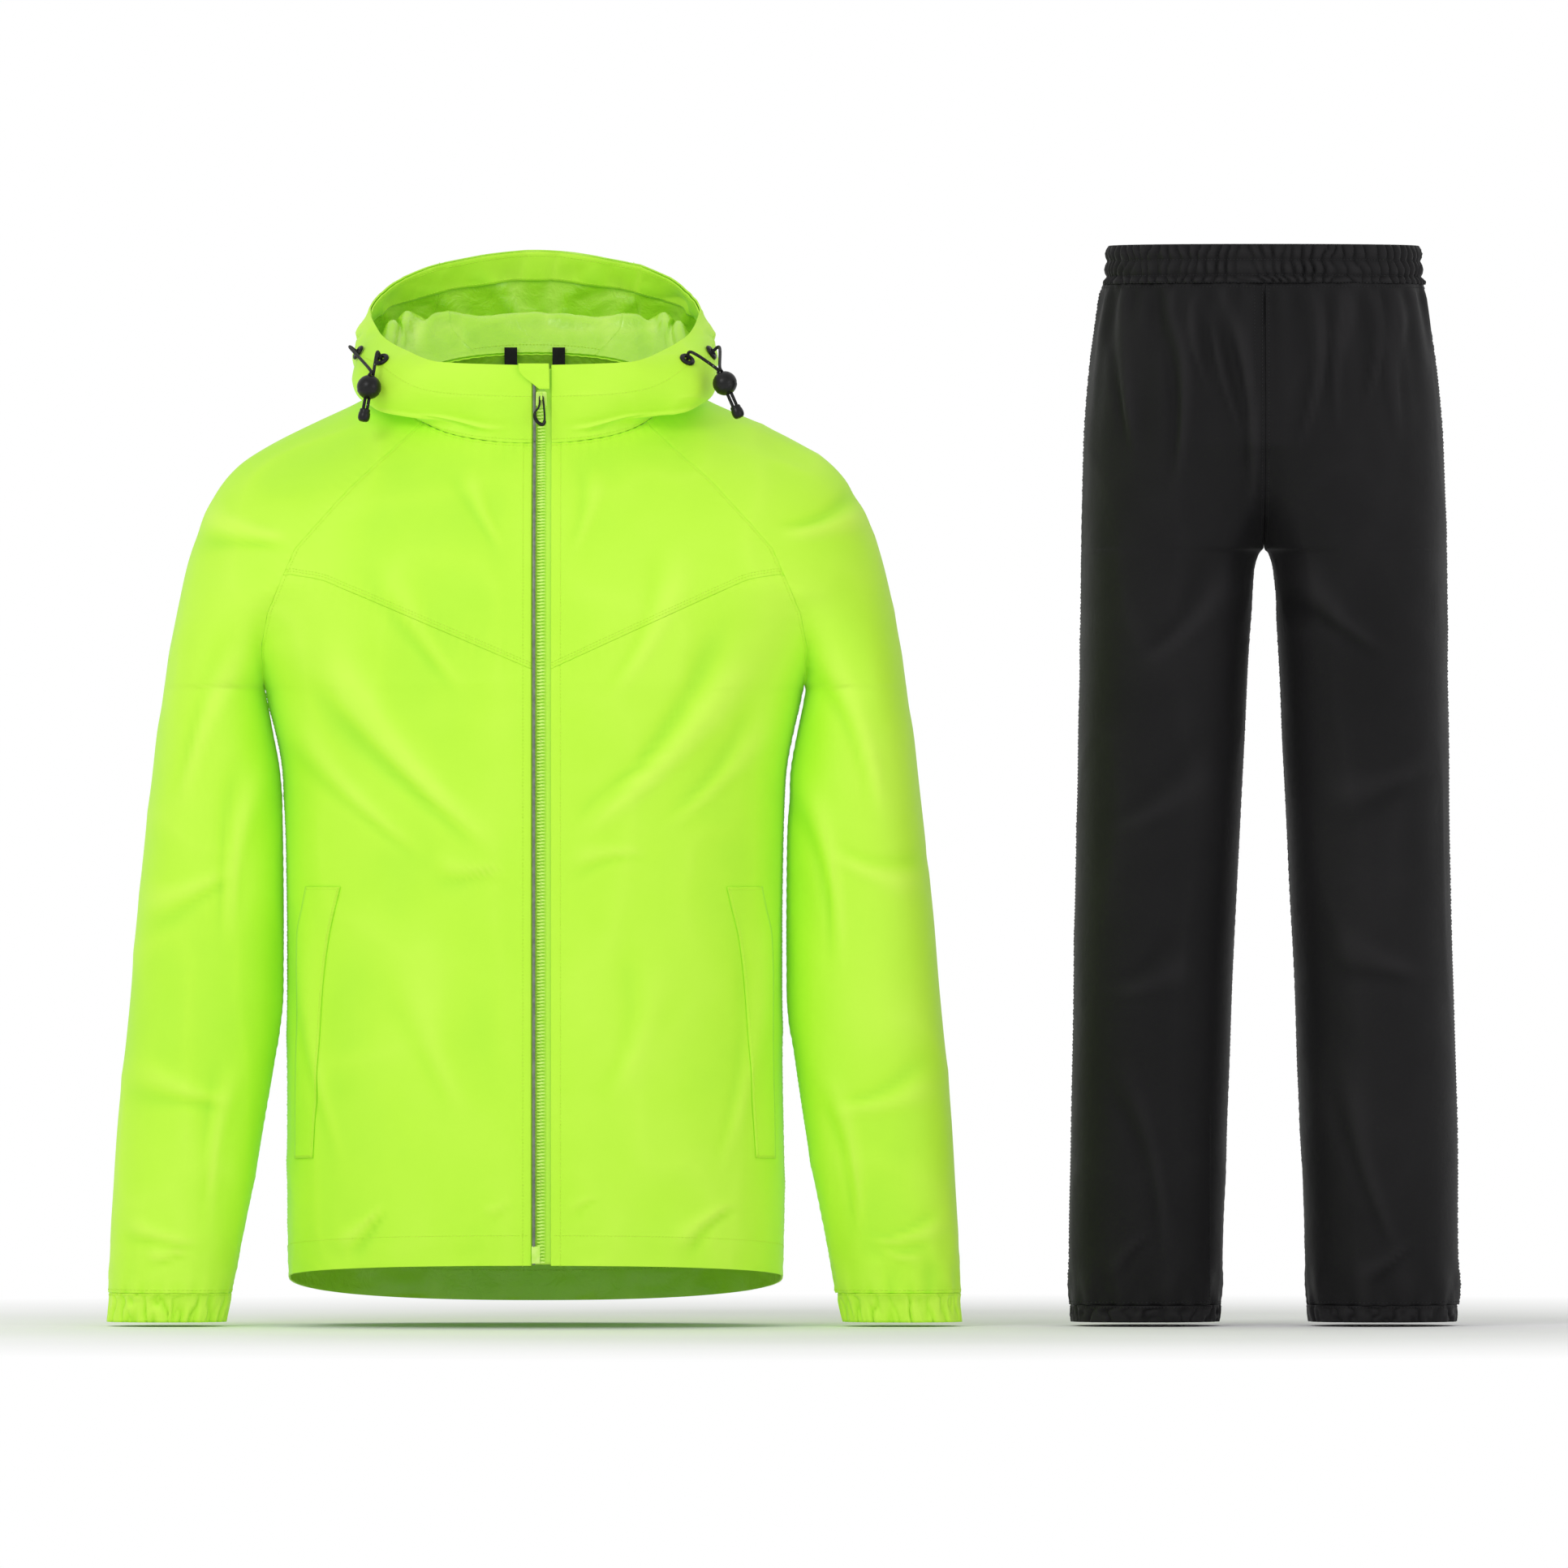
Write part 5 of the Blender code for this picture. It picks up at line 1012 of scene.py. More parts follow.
class Panel:
    """A sewn panel at full detail, kept so that stitches can follow its surface."""

    def __init__(self, name, sheet, v, u, side, relief, looks, offset=0.0, seams=(1, 1, 1, 1),
                 lift=0.0, wall=WALL, whole=False, slot="neon_cloth", flip=False, pucker=1.0,
                 rests_on=("suit",)):
        point, normal, along, across = sheet.sample(v, u)
        turn = np.array([side, 1, 1])
        point, normal, along, across = [part * turn for part in (point, normal, along, across)]
        if whole:
            point, normal, along, across = both_halves(point, normal, along, across)
            v = np.concatenate([v, v[:, :-1][:, ::-1]], axis=1)
            u = np.concatenate([u, u[:, :-1][:, ::-1]], axis=1)
        raised = relief(point, v, u)
        distances = edge_distances(point)
        moved = seam_relief(point, distances, seams, pucker)
        shift = drawn_in(along, across, seams)
        move = np.array([offset, 0, 0])
        self.outer = point + shift + normal * (raised + moved + lift)[..., None] + move
        self.inner = self.outer - normal * wall
        self.normals = grid_normals(self.outer, normal)
        self.distances = distances
        # The relief, seam dips included, is stored for painted shade in the hollows and a painted highlight
        # on the ridges.
        self.piece = walled_piece(name, self.outer, self.inner, looks, (distances[2], distances[0]),
                                  fold_shading=(raised + moved) / FOLD_SHADING_DEPTH,
                                  flip=flip or (side * sheet.turn < 0 and not whole))
        dress(self.piece, (name,))
        cut_from(point + move)

    def beside(self, edge, distance, inside=False):
        """The line on the cloth at this distance from an edge, with its normals."""
        grid = self.inner if inside else self.outer
        normals = -self.normals if inside else self.normals
        away = self.distances[("top", "bottom", "first", "last").index(edge)]
        if edge in ("top", "bottom"):
            grid, normals, away = grid.swapaxes(0, 1), normals.swapaxes(0, 1), away.T
        return line_across(grid, normals, away, distance)

    def at_x(self, x):
        """The line down the cloth at this distance from the middle."""
        off = np.abs(self.outer[..., 0] - self.outer[:, :1, 0])
        want = np.abs(x - self.outer[:, 0, 0])
        return line_across(self.outer, self.normals, off, want)


def line_across(grid, normals, away, distance):
    """In each row, the point where the distance is reached."""
    wanted = np.broadcast_to(distance, len(grid))
    points = []
    turned = []
    for row, normal, far, want in zip(grid, normals, away, wanted):
        if far[0] > far[-1]:
            row, normal, far = row[::-1], normal[::-1], far[::-1]
        points.append([np.interp(want, far, row[:, k]) for k in range(3)])
        turned.append([np.interp(want, far, normal[:, k]) for k in range(3)])
    return np.array(points), unit(np.array(turned))


def both_halves(*grids):
    """A panel's left half joined to its right half along the middle column."""
    made = []
    for place, grid in enumerate(grids):
        grid = grid.copy()
        if place < 3:
            grid[:, -1, 0] = 0.0
        other = grid[:, :-1][:, ::-1] * (-1, 1, 1)
        if place == 3:
            other = other * -1
            grid[:, -1] *= (1, 0, 0)
        made.append(np.concatenate([grid, other], axis=1))
    return [made[0], unit(made[1]), unit(made[2]), unit(made[3])]


def jacket_relief(creases, calm_zip=False):
    def relief(point, v, u):
        raised = crease_height(point[..., 0], point[..., 2], creases)
        raised += waves(point, JACKET_WAVES)
        raised += crumples(point, JACKET_CRUMPLE)
        hem = smoothly(-point[..., 2], 0.66, 0.73)
        raised += hem * crumples(point, HEM_CRUMPLE)
        if calm_zip:
            raised *= smoothly(np.abs(point[..., 0] - ZIP_MID_X), 0.010, 0.045)
        return raised * smoothly(v, 0.0, 0.9)
    return relief


def sleeve_relief(point, v, u):
    raised = jacket_relief(SLEEVE_CREASES)(point, v, u)
    above_cuff = point[..., 2] - ARM_RINGS[-1][0]
    around = CUFF_WAVES * u + 0.25 * noise(point, 0.04, 21)
    small = np.cos(2 * math.pi * around) * np.exp(-above_cuff / 0.008)
    large = np.cos(math.pi * around + 1.0) * np.exp(-((above_cuff - 0.014) / 0.012) ** 2)
    raised += GATHER_HEIGHT * small + FOLD_HEIGHT * large * (0.6 + 0.8 * noise(point, 0.05, 22))
    return raised + crumples(point, CUFF_CRUMPLE) * np.exp(-above_cuff / 0.06)


def trouser_relief(point, v, u):
    raised = crease_height(point[..., 0], point[..., 2], TROUSER_CREASES)
    raised += waves(point, TROUSER_WAVES)
    raised += crumples(point, TROUSER_CRUMPLE)
    below = HIP_RINGS[0][0] - point[..., 2]
    side = np.sign(point[..., 0])
    around = u * 10 + 0.35 * noise(point * (1, 1, 0.15), 0.03, 34) + 0.21 * side
    puffs = 2 * np.abs(np.cos(math.pi * 2 * around)) ** 0.7 - 1
    folds = np.cos(2 * math.pi * around * 0.75 + 0.8 * side)
    raised += WAIST_PUFF_HEIGHT * puffs * np.exp(-below / 0.011)
    raised += WAIST_FOLD_HEIGHT * folds * np.exp(-below / 0.050) * smoothly(below, 0.0, 0.012)
    above_hem = point[..., 2] - LEG_RINGS[-1][0]
    around = 10 * u + 0.3 * noise(point, 0.04, 35)
    raised += GATHER_HEIGHT * np.cos(2 * math.pi * around) * np.exp(-above_hem / 0.009)
    raised += FOLD_HEIGHT * np.cos(math.pi * around) * np.exp(-((above_hem - 0.018) / 0.014) ** 2)
    return raised + crumples(point, ANKLE_CRUMPLE) * np.exp(-above_hem / 0.06)


def hood_relief(point, v, u):
    raised = crease_height(u, v, HOOD_CREASES)
    inner_fold = smoothly(u, 0.45, 0.62)
    raised += waves(point, HOOD_WAVES)
    raised += (1 + HOOD_FOLD_GAIN * inner_fold) * crumples(point, HOOD_CRUMPLE)
    raised += inner_fold * crumples(point, HOOD_CRINKLE)
    calm = smoothly(v, 0.0, 0.06) * smoothly(np.abs(point[..., 0] - ZIP_MID_X), 0.010, 0.040)
    calm = np.where(u > 0.5, smoothly(v, 0.0, 0.06), calm)
    return raised * calm


def front_rows(sheet, edge_x):
    """Rows and columns of the yoke and of the front below it, at full detail."""
    share = edge_share(FRONT_ACROSS, CELL)
    seam = yoke_rows(sheet, share)
    seam = seam + (YOKE_END_ROW - seam[-1]) * smoothly(share, 0.80, 1.0)
    last = sheet.rows_at[-1]
    top = even_rows(sheet, 0.0, YOKE_END_ROW, 0.5, CELL)[:, None]
    below = even_rows(sheet, YOKE_END_ROW, last, 0.5, CELL)[:, None]
    top_v = top * (seam / YOKE_END_ROW)[None, :]
    low_v = seam[None, :] + (below - YOKE_END_ROW) * ((last - seam) / (last - YOKE_END_ROW))[None, :]
    grids = []
    for v in (top_v, low_v):
        first = front_start(sheet, v[:, 0], edge_x)
        grids.append((v, first[:, None] + (1 - first)[:, None] * share[None, :]))
    return grids


def make_jacket(sheets, looks):
    made = {}
    cloth = (looks["cloth"], looks["coating"])
    for side, edge_x, tag in FRONT_EDGES:
        yoke, lower = front_rows(sheets["front"], edge_x)
        relief = jacket_relief(FRONT_CREASES, calm_zip=True)
        made["yoke", side] = Panel(f"jacket_yoke_{tag}", sheets["front"], *yoke, side, relief, cloth,
                                   seams=(1, 1, 0, 1))
        made["front", side] = Panel(f"jacket_front_{tag}", sheets["front"], *lower, side, relief, cloth,
                                    seams=(1, 0, 0, 1))
        sheet = sheets["sleeve"]
        rows = even_rows(sheet, 0.0, sheet.rows_at[-1], 0.5, CELL)
        v, u = grid_of(rows, edge_share(SLEEVE_ACROSS, CELL))
        made["sleeve", side] = Panel(f"jacket_sleeve_{tag}", sheet, v, u, side, sleeve_relief, cloth)
    sheet = sheets["back"]
    rows = even_rows(sheet, 0.0, sheet.rows_at[-1], 0.6, CELL)
    share = edge_share(FRONT_ACROSS, CELL)
    v, u = grid_of(rows, share[:-3])
    u = u / u.max()
    made["back"] = Panel("jacket_back", sheet, v, u, 1, jacket_relief(BACK_CREASES), cloth,
                         seams=(1, 0, 1, 1), whole=True)
    return made


def make_trouser_panels(sheets, looks):
    made = {}
    for side, tag in SIDES:
        for part in ("front", "back"):
            sheet = sheets[part]
            rows = even_rows(sheet, 0.0, sheet.rows_at[-1], 0.5, CELL)
            v, u = grid_of(rows, edge_share(TROUSER_ACROSS, CELL))
            made[part, side] = Panel(f"trousers_{part}_{tag}", sheet, v, u, side, trouser_relief,
                                     (looks["black_cloth"], looks["black_cloth"]), offset=TROUSERS_X,
                                     slot="black_cloth")
    return made


def make_hood(sheet, looks):
    made = {}
    cloth = (looks["cloth"], looks["coating"])
    rows = even_rows(sheet, 0.0, 1.0, 0.86, HOOD_CELL)
    for side, edge_x, tag in FRONT_EDGES:
        share = edge_share(HOOD_SIDE_ACROSS, HOOD_CELL)
        first = front_start(sheet, rows, edge_x)
        u = first[:, None] + (HOOD_CENTRE_FROM - first)[:, None] * share[None, :]
        v = np.broadcast_to(rows[:, None], u.shape)
        made["side", side] = Panel(f"hood_side_{tag}", sheet, v, u, side, hood_relief, cloth,
                                   seams=(1, 0, 0, 1), pucker=0.6)
    share = edge_share(HOOD_CENTRE_ACROSS, HOOD_CELL)[:-3]
    u = HOOD_CENTRE_FROM + (1 - HOOD_CENTRE_FROM) * share / share[-1]
    v, u = grid_of(rows, u)
    made["centre"] = Panel("hood_centre", sheet, v, u, 1, hood_relief, cloth, seams=(1, 0, 1, 1),
                           whole=True, flip=True, pucker=0.6)
    u = np.linspace(FACING_FROM, 1.0, 90)
    first = facing_start(sheet, u)
    share = np.linspace(0, 1, 12)[:, None]
    v = first[None, :] + (FACING_TO - first)[None, :] * share
    made["facing"] = Panel("hood_facing", sheet, v, np.broadcast_to(u, v.shape), 1, hood_relief,
                           (looks["cloth"], looks["cloth"]), seams=(0, 0, 0, 0), whole=True, flip=True,
                           lift=-WALL - FACING_GAP, wall=0.0010, rests_on=("hood_centre",))
    return made


def facing_start(sheet, u):
    """The row at which the facing begins, so that it is as wide as sewn."""
    rows_at = np.linspace(1.0, 0.5, 100)
    found = []
    for column in u:
        point = sheet.sample(rows_at, np.full(100, column))[0]
        far = length_along(point)
        found.append(np.interp(FACING_WIDTH, far, rows_at))
    return np.array(found)


def gather_wave(share, height, waves, seed):
    """Gathers round a band: rounded puffs with narrow hollows, uneven and slightly slanted."""
    turn = 2 * math.pi * share
    place = np.stack([np.cos(turn), np.sin(turn), 0.12 * height], axis=-1)
    drift = 0.45 * noise(place, 0.11, seed) + 0.35 * height * noise(place, 0.35, seed + 1)
    puffs = 2 * np.abs(np.cos(math.pi * (waves * share + drift))) ** 0.75 - 1
    strength = 0.75 + 0.45 * noise(place, 0.17, seed + 2)
    return puffs * strength


def gathered_band(name, rows, rings, waves, heights, bulge, seed, look, turn=False, offset=0.0):
    """A band of cloth drawn in on elastic, as a closed tube with a plain inside."""
    rings = np.array([spread_evenly(ring, waves * 14 + 1)[:-1] for ring in rings])
    count = rings.shape[1]
    share, height = np.meshgrid(np.arange(count) / count, rows)
    centre = rings.mean(axis=1, keepdims=True)
    away = unit((rings - centre) * (1, 1, 0))
    raised = heights[:, None] * gather_wave(share, height, waves, seed) + bulge[:, None]
    outer = rings + away * raised[..., None]
    inner = rings - away * (BAND_WALL + np.max(heights) * 0.8)
    outer, inner = [grid * (-1 if turn else 1, 1, 1) + (offset, 0, 0) for grid in (outer, inner)]
    down, _, _, _ = edge_distances(outer)
    over = np.broadcast_to(np.arange(count) / count, down.shape) * cloth_size(rings, True)[0]
    # The gathers' relief is stored for painted shade in their hollows and a painted highlight on their
    # puffs.
    piece = walled_piece(name, outer, inner, (look, look), (over, down), fold_shading=raised / GATHER_SHADING_DEPTH,
                         closed=True, flip=turn)
    dress(piece, (name,))
    cut_from(outer, closed=True)
    return outer


def band_rows(count, steps=7):
    """Rows down a band of this many table rows, closer beside its lines of stitching."""
    per = (1 - np.cos(np.linspace(0, math.pi, steps))) / 2
    return np.concatenate([[0.0]] + [i + per[1:] for i in range(count - 1)])


def leg_tube(v):
    front, back = leg_ring(v, LEG_HEM_RINGS)
    return np.concatenate([front, back[1:]])


def gathered_ends(name, rows, ring_of, waves, look, heights, puff, seed, offset=0.0):
    """The elastic band at the end of both sleeves or both legs."""
    made = {}
    heights = curve_through((0, 0.3, 1.0, 2.0), heights, rows)
    bulge = puff * np.sin(math.pi * np.clip(rows / 2, 0, 1))
    for side, tag in SIDES:
        rings = [ring_of(v) for v in rows]
        rings[0] = rings[0] - (0, 0, SEAM)
        made[side] = gathered_band(f"{name}_{tag}", rows, rings, waves, heights, bulge, seed + side,
                                   look, turn=side < 0, offset=offset)
    return made


def make_cuffs(looks):
    rows = np.linspace(0, len(CUFF_RINGS) - 1, 17)
    return gathered_ends("jacket_cuff", rows, lambda v: arm_ring(v, CUFF_RINGS), CUFF_WAVES,
                         looks["cloth"], CUFF_HEIGHTS, CUFF_PUFF, 60)


def make_hems(looks):
    rows = np.linspace(0, len(LEG_HEM_RINGS) - 1, 15)
    return gathered_ends("trousers_hem", rows, leg_tube, HEM_WAVES, looks["black_cloth"],
                         HEM_HEIGHTS, HEM_PUFF, 70, offset=TROUSERS_X)


def waist_ring(v):
    values = ring_values(WAIST_RINGS, WAIST_COLUMNS, v)
    turn = np.linspace(0.0, 2 * math.pi, 1441)
    cosine = -np.cos(turn)
    sine = -np.sin(turn)
    power = 2 / BODY_POWER
    x = values["half"] * np.sign(cosine) * np.abs(cosine) ** power
    depth = np.where(sine < 0, values["front"], values["back"])
    y = depth * np.sign(sine) * np.abs(sine) ** power
    return np.stack([x, y, np.full_like(x, values["z"])], axis=1)


def make_waistband(looks):
    rows = band_rows(len(WAIST_RINGS))
    rings = [waist_ring(v) for v in rows]
    rings[-1] = rings[-1] + (0, 0, SEAM)
    between = np.abs(np.sin(math.pi * rows))
    heights = WAIST_WAVE_LEAST + WAIST_WAVE_MORE * between
    bulge = WAIST_PUFF * between - WAIST_TIGHT
    return gathered_band("trousers_waistband", rows, rings, WAIST_WAVES, heights, bulge, 80,
                         looks["black_cloth"], offset=TROUSERS_X)


def resampled(points, normals, pitch):
    along = length_along(points)
    at = np.arange(pitch / 2, along[-1], pitch)
    spots = points_at(at, along, points)
    turned = points_at(at, along, normals)
    ahead = points_at(at + pitch / 4, along, points)
    behind = points_at(at - pitch / 4, along, points)
    return spots, unit(turned), unit(ahead - behind)


class Thread:
    """Gathers the stitches of one colour into a single piece."""

    def __init__(self):
        self.points = []
        self.faces = []

    def sew(self, line, pitch=STITCH_PITCH, length=STITCH_LENGTH, radius=STITCH_RADIUS, trim=(0, None)):
        points, normals = line
        spots, up, ahead = resampled(points[trim[0]:trim[1]], normals[trim[0]:trim[1]], pitch)
        across = unit(np.cross(up, ahead))
        base = spots + up * radius * 0.4
        shape = [(-0.5, 0, -0.3), (0.5, 0, -0.3)]
        for at in (-0.3, 0.3):
            shape += [(at, 1, 0), (at, 0, 1), (at, -1, 0), (at, 0, -0.6)]
        for place, side, rise in shape:
            base_points = base + ahead * (place * length) + across * (side * radius) + up * (rise * radius)
            self.points.append(base_points)
        start = sum(len(block) for block in self.points[:-10])
        count = len(spots)
        for k in range(4):
            n = (k + 1) % 4
            for i in range(count):
                near, far = start + (2 + k) * count + i, start + (2 + n) * count + i
                head, tail = start + (6 + k) * count + i, start + (6 + n) * count + i
                self.faces += [(start + i, far, near), (near, far, tail, head),
                               (start + count + i, head, tail)]

    def piece(self, name, look, slot):
        made = mesh_piece(name, np.concatenate(self.points), self.faces, (look,))
        return dress(made)


def sew_jacket(jacket, hood, cuffs, looks):
    thread = Thread()
    for side in (1, -1):
        yoke, front, sleeve = jacket["yoke", side], jacket["front", side], jacket["sleeve", side]
        thread.sew(yoke.beside("last", SEAM_STITCH))
        thread.sew(front.beside("last", SEAM_STITCH), trim=(0, UNDERARM_TRIM))
        thread.sew(yoke.beside("bottom", TOP_STITCH))
        thread.sew(yoke.beside("bottom", SECOND_STITCH))
        thread.sew(yoke.beside("top", TOP_STITCH))
        thread.sew(sleeve.beside("top", TOP_STITCH))
        edge = STITCH_LEFT_X if side > 0 else -STITCH_RIGHT_X
        for panel in (yoke, front):
            thread.sew(panel.at_x(edge * side))
        thread.sew(front.beside("bottom", HEM_HEIGHT), trim=(3, -2))
        thread.sew(sleeve.beside("bottom", 0.0028), pitch=BAND_PITCH, length=BAND_STITCH)
        thread.sew(hood["side", side].beside("top", TOP_STITCH))
        thread.sew(hood["side", side].beside("last", TOP_STITCH))
        sew_ring(thread, cuffs[side], 2)
    back = jacket["back"]
    for edge in ("first", "last"):
        thread.sew(back.beside(edge, SEAM_STITCH), trim=(0, UNDERARM_TRIM))
    thread.sew(back.beside("bottom", HEM_HEIGHT))
    thread.sew(back.beside("bottom", HEM_HEIGHT, inside=True))
    thread.sew(back.beside("top", TOP_STITCH))
    for edge in ("first", "last"):
        thread.sew(hood["centre"].beside(edge, TOP_STITCH))
    thread.sew(hood["centre"].beside("top", 0.0075, inside=True))
    thread.sew(hood["facing"].beside("top", 0.0022, inside=True))
    thread.sew(hood["facing"].beside("bottom", 0.0035, inside=True))
    for side in (1, -1):
        thread.sew(hood["side", side].beside("bottom", BRIM_STITCH))
    thread.sew(hood["centre"].beside("bottom", BRIM_STITCH))
    return thread.piece("jacket_stitches", looks["thread"], "neon_cloth")


def sew_ring(thread, grid, row):
    points = np.concatenate([grid[row], grid[row][:1]])
    centre = points.mean(axis=0)
    thread.sew((points, unit((points - centre) * (1, 1, 0))))


def sew_trousers(panels, hems, waist, looks):
    thread = Thread()
    for side in (1, -1):
        front, back = panels["front", side], panels["back", side]
        thread.sew(front.beside("top", TOP_STITCH))
        thread.sew(back.beside("top", TOP_STITCH))
        thread.sew(front.beside("first", LEG_STITCH), trim=(2, CROTCH_TRIM))
        thread.sew(front.beside("last", LEG_STITCH), trim=(2, -2))
        thread.sew(back.beside("last", LEG_STITCH), trim=(2, CROTCH_TRIM))
        for panel in (front, back):
            thread.sew(panel.beside("bottom", HEM_STITCH), pitch=BAND_PITCH)
        sew_ring(thread, hems[side], 2)
    right = panels["front", -1]
    line = right.at_x(TROUSERS_X + ANKLE_SEAM_X)
    low = line[0][:, 2] < ANKLE_SEAM_TOP
    thread.sew((line[0][low], line[1][low]), trim=(0, -3))
    fly = panels["front", -1].at_x(TROUSERS_X + FLY_STITCH_X)
    high = fly[0][:, 2] > FLY_STITCH_BOTTOM
    thread.sew((fly[0][high], fly[1][high]), trim=(2, None))
    for row in WAIST_STITCH_ROWS:
        sew_ring(thread, waist, row)
    return thread.piece("trousers_stitches", looks["black_thread"], "black_cloth")


def zip_path_at(sheets, hood, x, bottom, top):
    """Points and normals up the front of the jacket at this x."""
    front = sheets["front"]
    rows = np.linspace(front.rows_at[-1] - bottom, 0.0, 260)
    line = front.sample(rows, front_start(front, rows, abs(x)))
    upward = np.linspace(0.01, top, 40)
    collar = hood.sample(upward, front_start(hood, upward, abs(x)))
    points = np.concatenate([line[0], collar[0]])
    normals = unit(np.concatenate([line[1], collar[1]]) * (0, 1, 1))
    points[:, 0] = x
    kernel = np.ones(9) / 9
    for k in (1, 2):
        padded = np.concatenate([normals[:4, k], normals[:, k], normals[-4:, k]])
        normals[:, k] = np.convolve(padded, kernel, "valid")
    return points, unit(normals)


def make_zip(sheets, hood, looks):
    middle = zip_path_at(sheets, hood, ZIP_MID_X, *TEETH_ENDS)
    lines = [zip_path_at(sheets, hood, x, *TAPE_ENDS) for x in np.linspace(*TAPE_X, 9)]
    outer, inner = [np.stack([point - normal * (WALL + below) for point, normal in lines], axis=1)[::-1]
                    for below in TAPE_BELOW]
    down, _, over, _ = edge_distances(outer)
    tape = walled_piece("zip_tape", outer, inner, (looks["tape"], looks["tape"]), (over, down))
    dress(tape, ("zip_tape",))
    cut_from(outer)
    make_teeth(middle, looks)
    point, normal = zip_path_at(sheets, hood, PIPING_X, *PIPING_ENDS)
    line = point + normal * PIPING_LIFT
    piping = tube_mesh("reflective_piping", line, PIPING_RADIUS, (looks["grey"],), sides=10)
    dress(piping, ("reflective_piping",))
    stop = rounded_block("zip_bottom_stop", STOP_PLACE, STOP_SIZE, looks["teeth"], middle)
    dress(stop)
    return middle


def make_teeth(middle, looks):
    """Moulded teeth in two rows that mesh along the middle of the zip."""
    points = []
    faces = []
    for side in (1, -1):
        line = (middle[0] + (side * TOOTH_REACH, 0, 0), middle[1])
        start = 0 if side > 0 else 1
        spots, up, ahead = resampled(line[0][start:], line[1][start:], TOOTH_PITCH)
        if side < 0:
            spots = spots + ahead * TOOTH_PITCH / 2
        for spot, rise, along in zip(spots, up, ahead):
            base = len(points)
            for scale, height in ((1.0, -1.0), (1.0, 0.35), (0.78, 1.0)):
                for a, b in TOOTH_OUTLINE:
                    points.append(spot + np.array([-side * a * scale * TOOTH_SIZE[0], 0, 0])
                                  + along * b * scale * TOOTH_SIZE[1] + rise * height * TOOTH_SIZE[2])
            for ring in (0, 8):
                for k in range(8):
                    n = (k + 1) % 8
                    face = (base + ring + k, base + ring + n, base + ring + 8 + n, base + ring + 8 + k)
                    faces.append(face if side < 0 else face[::-1])
            top = tuple(base + 16 + k for k in range(8))
            low = tuple(base + k for k in range(8))
            faces += [top, low[::-1]] if side < 0 else [top[::-1], low]
    teeth = mesh_piece("zip_teeth", np.array(points), faces, (looks["teeth"],), smooth=False)
    dress(teeth, ("zip_teeth",))


def tube_mesh(name, path, radius, looks, sides=8, closed=False):
    """A round cord of mesh along the path. The radius may change along it."""
    path = np.asarray(path, float)
    radius = np.broadcast_to(radius, len(path))
    if closed:
        ahead = unit(np.roll(path, -1, axis=0) - np.roll(path, 1, axis=0))
    else:
        ahead = unit(np.gradient(path, axis=0))
    up = np.cross(ahead[0], (0.31, 0.9, 0.2))
    points = []
    for spot, way, size in zip(path, ahead, radius):
        up = up - way * up.dot(way)
        up = up / np.linalg.norm(up)
        side = np.cross(way, up)
        for k in range(sides):
            turn = 2 * math.pi * k / sides
            points.append(spot + size * (math.cos(turn) * up + math.sin(turn) * side))
    rows = len(path)
    faces = []
    for i in range(rows if closed else rows - 1):
        n = (i + 1) % rows
        for k in range(sides):
            j = (k + 1) % sides
            faces.append((i * sides + k, i * sides + j, n * sides + j, n * sides + k))
    if not closed:
        faces.append(tuple(range(sides))[::-1])
        faces.append(tuple((rows - 1) * sides + k for k in range(sides)))
    along = length_along(path)
    uv = np.stack([np.tile(np.arange(sides) / sides, rows), np.repeat(along, sides)], axis=-1)
    return mesh_piece(name, np.array(points), faces, looks, uv)


def rounded_block(name, centre, size, look, line):
    """A block with rounded edges that lies on the jacket's front at this line."""
    x, y, z = centre
    y = y + float(np.interp(z, line[0][:, 2], line[0][:, 1]))
    corners = [(x + a * size[0] / 2, y + b * size[1] / 2, z + c * size[2] / 2)
               for a in (-1, 1) for b in (-1, 1) for c in (-1, 1)]
    faces = [(0, 1, 3, 2), (4, 6, 7, 5), (0, 4, 5, 1), (2, 3, 7, 6), (0, 2, 6, 4), (1, 5, 7, 3)]
    made = mesh_piece(name, np.array(corners), faces, (look,))
    rounding = made.modifiers.new("edges", "BEVEL")
    rounding.width = min(size) * 0.3
    rounding.segments = 3
    return made


def turned(name, profile, centre, direction, look, steps=32):
    """A turned piece: rings of radius and height round a line."""
    turn = np.array(Vector(direction).to_track_quat("Z", "Y").to_matrix())
    angles = np.linspace(0, 2 * math.pi, steps + 1)[:-1]
    rings = []
    for radius, height in profile:
        ring = np.stack([radius * np.cos(angles), radius * np.sin(angles), np.full(steps, height)], axis=1)
        rings.append(ring @ turn.T + centre)
    points = np.concatenate(rings)
    faces = []
    for i in range(len(profile)):
        n = (i + 1) % len(profile)
        for j in range(steps):
            k = (j + 1) % steps
            faces.append((i * steps + j, i * steps + k, n * steps + k, n * steps + j))
    return mesh_piece(name, points, faces, (look,))


def hood_place(hood, side, u, v):
    point, normal = hood.sample(np.array([v]), np.array([u]))[:2]
    return point[0] * (side, 1, 1), normal[0] * (side, 1, 1)


def make_eyelets(hood, looks):
    for name, side, u, v in EYELETS:
        point, normal = hood_place(hood, side, u, v)
        centre = point + normal * EYELET_OFF
        piece = turned(name, EYELET_PROFILE, centre, normal, looks["plastic"])
        dress(piece, (name,))


def make_lock(tag, lock, axis, looks):
    """The ball lock, with a lip round its middle and a groove beside it."""
    limit = math.asin(LOCK_BORE / LOCK_RADIUS)
    profile = []
    for angle in np.linspace(math.pi - limit, limit, 27):
        swell = 1.0
        for height, middle, width in LOCK_RINGS:
            swell += height * math.exp(-(((angle - middle) / width) ** 2))
        profile.append((LOCK_RADIUS * math.sin(angle) * swell, LOCK_RADIUS * math.cos(angle)))
    piece = turned(f"cord_lock_{tag}", profile, lock, axis, looks["plastic"], steps=40)
    return dress(piece, (f"cord_lock_{tag}",))


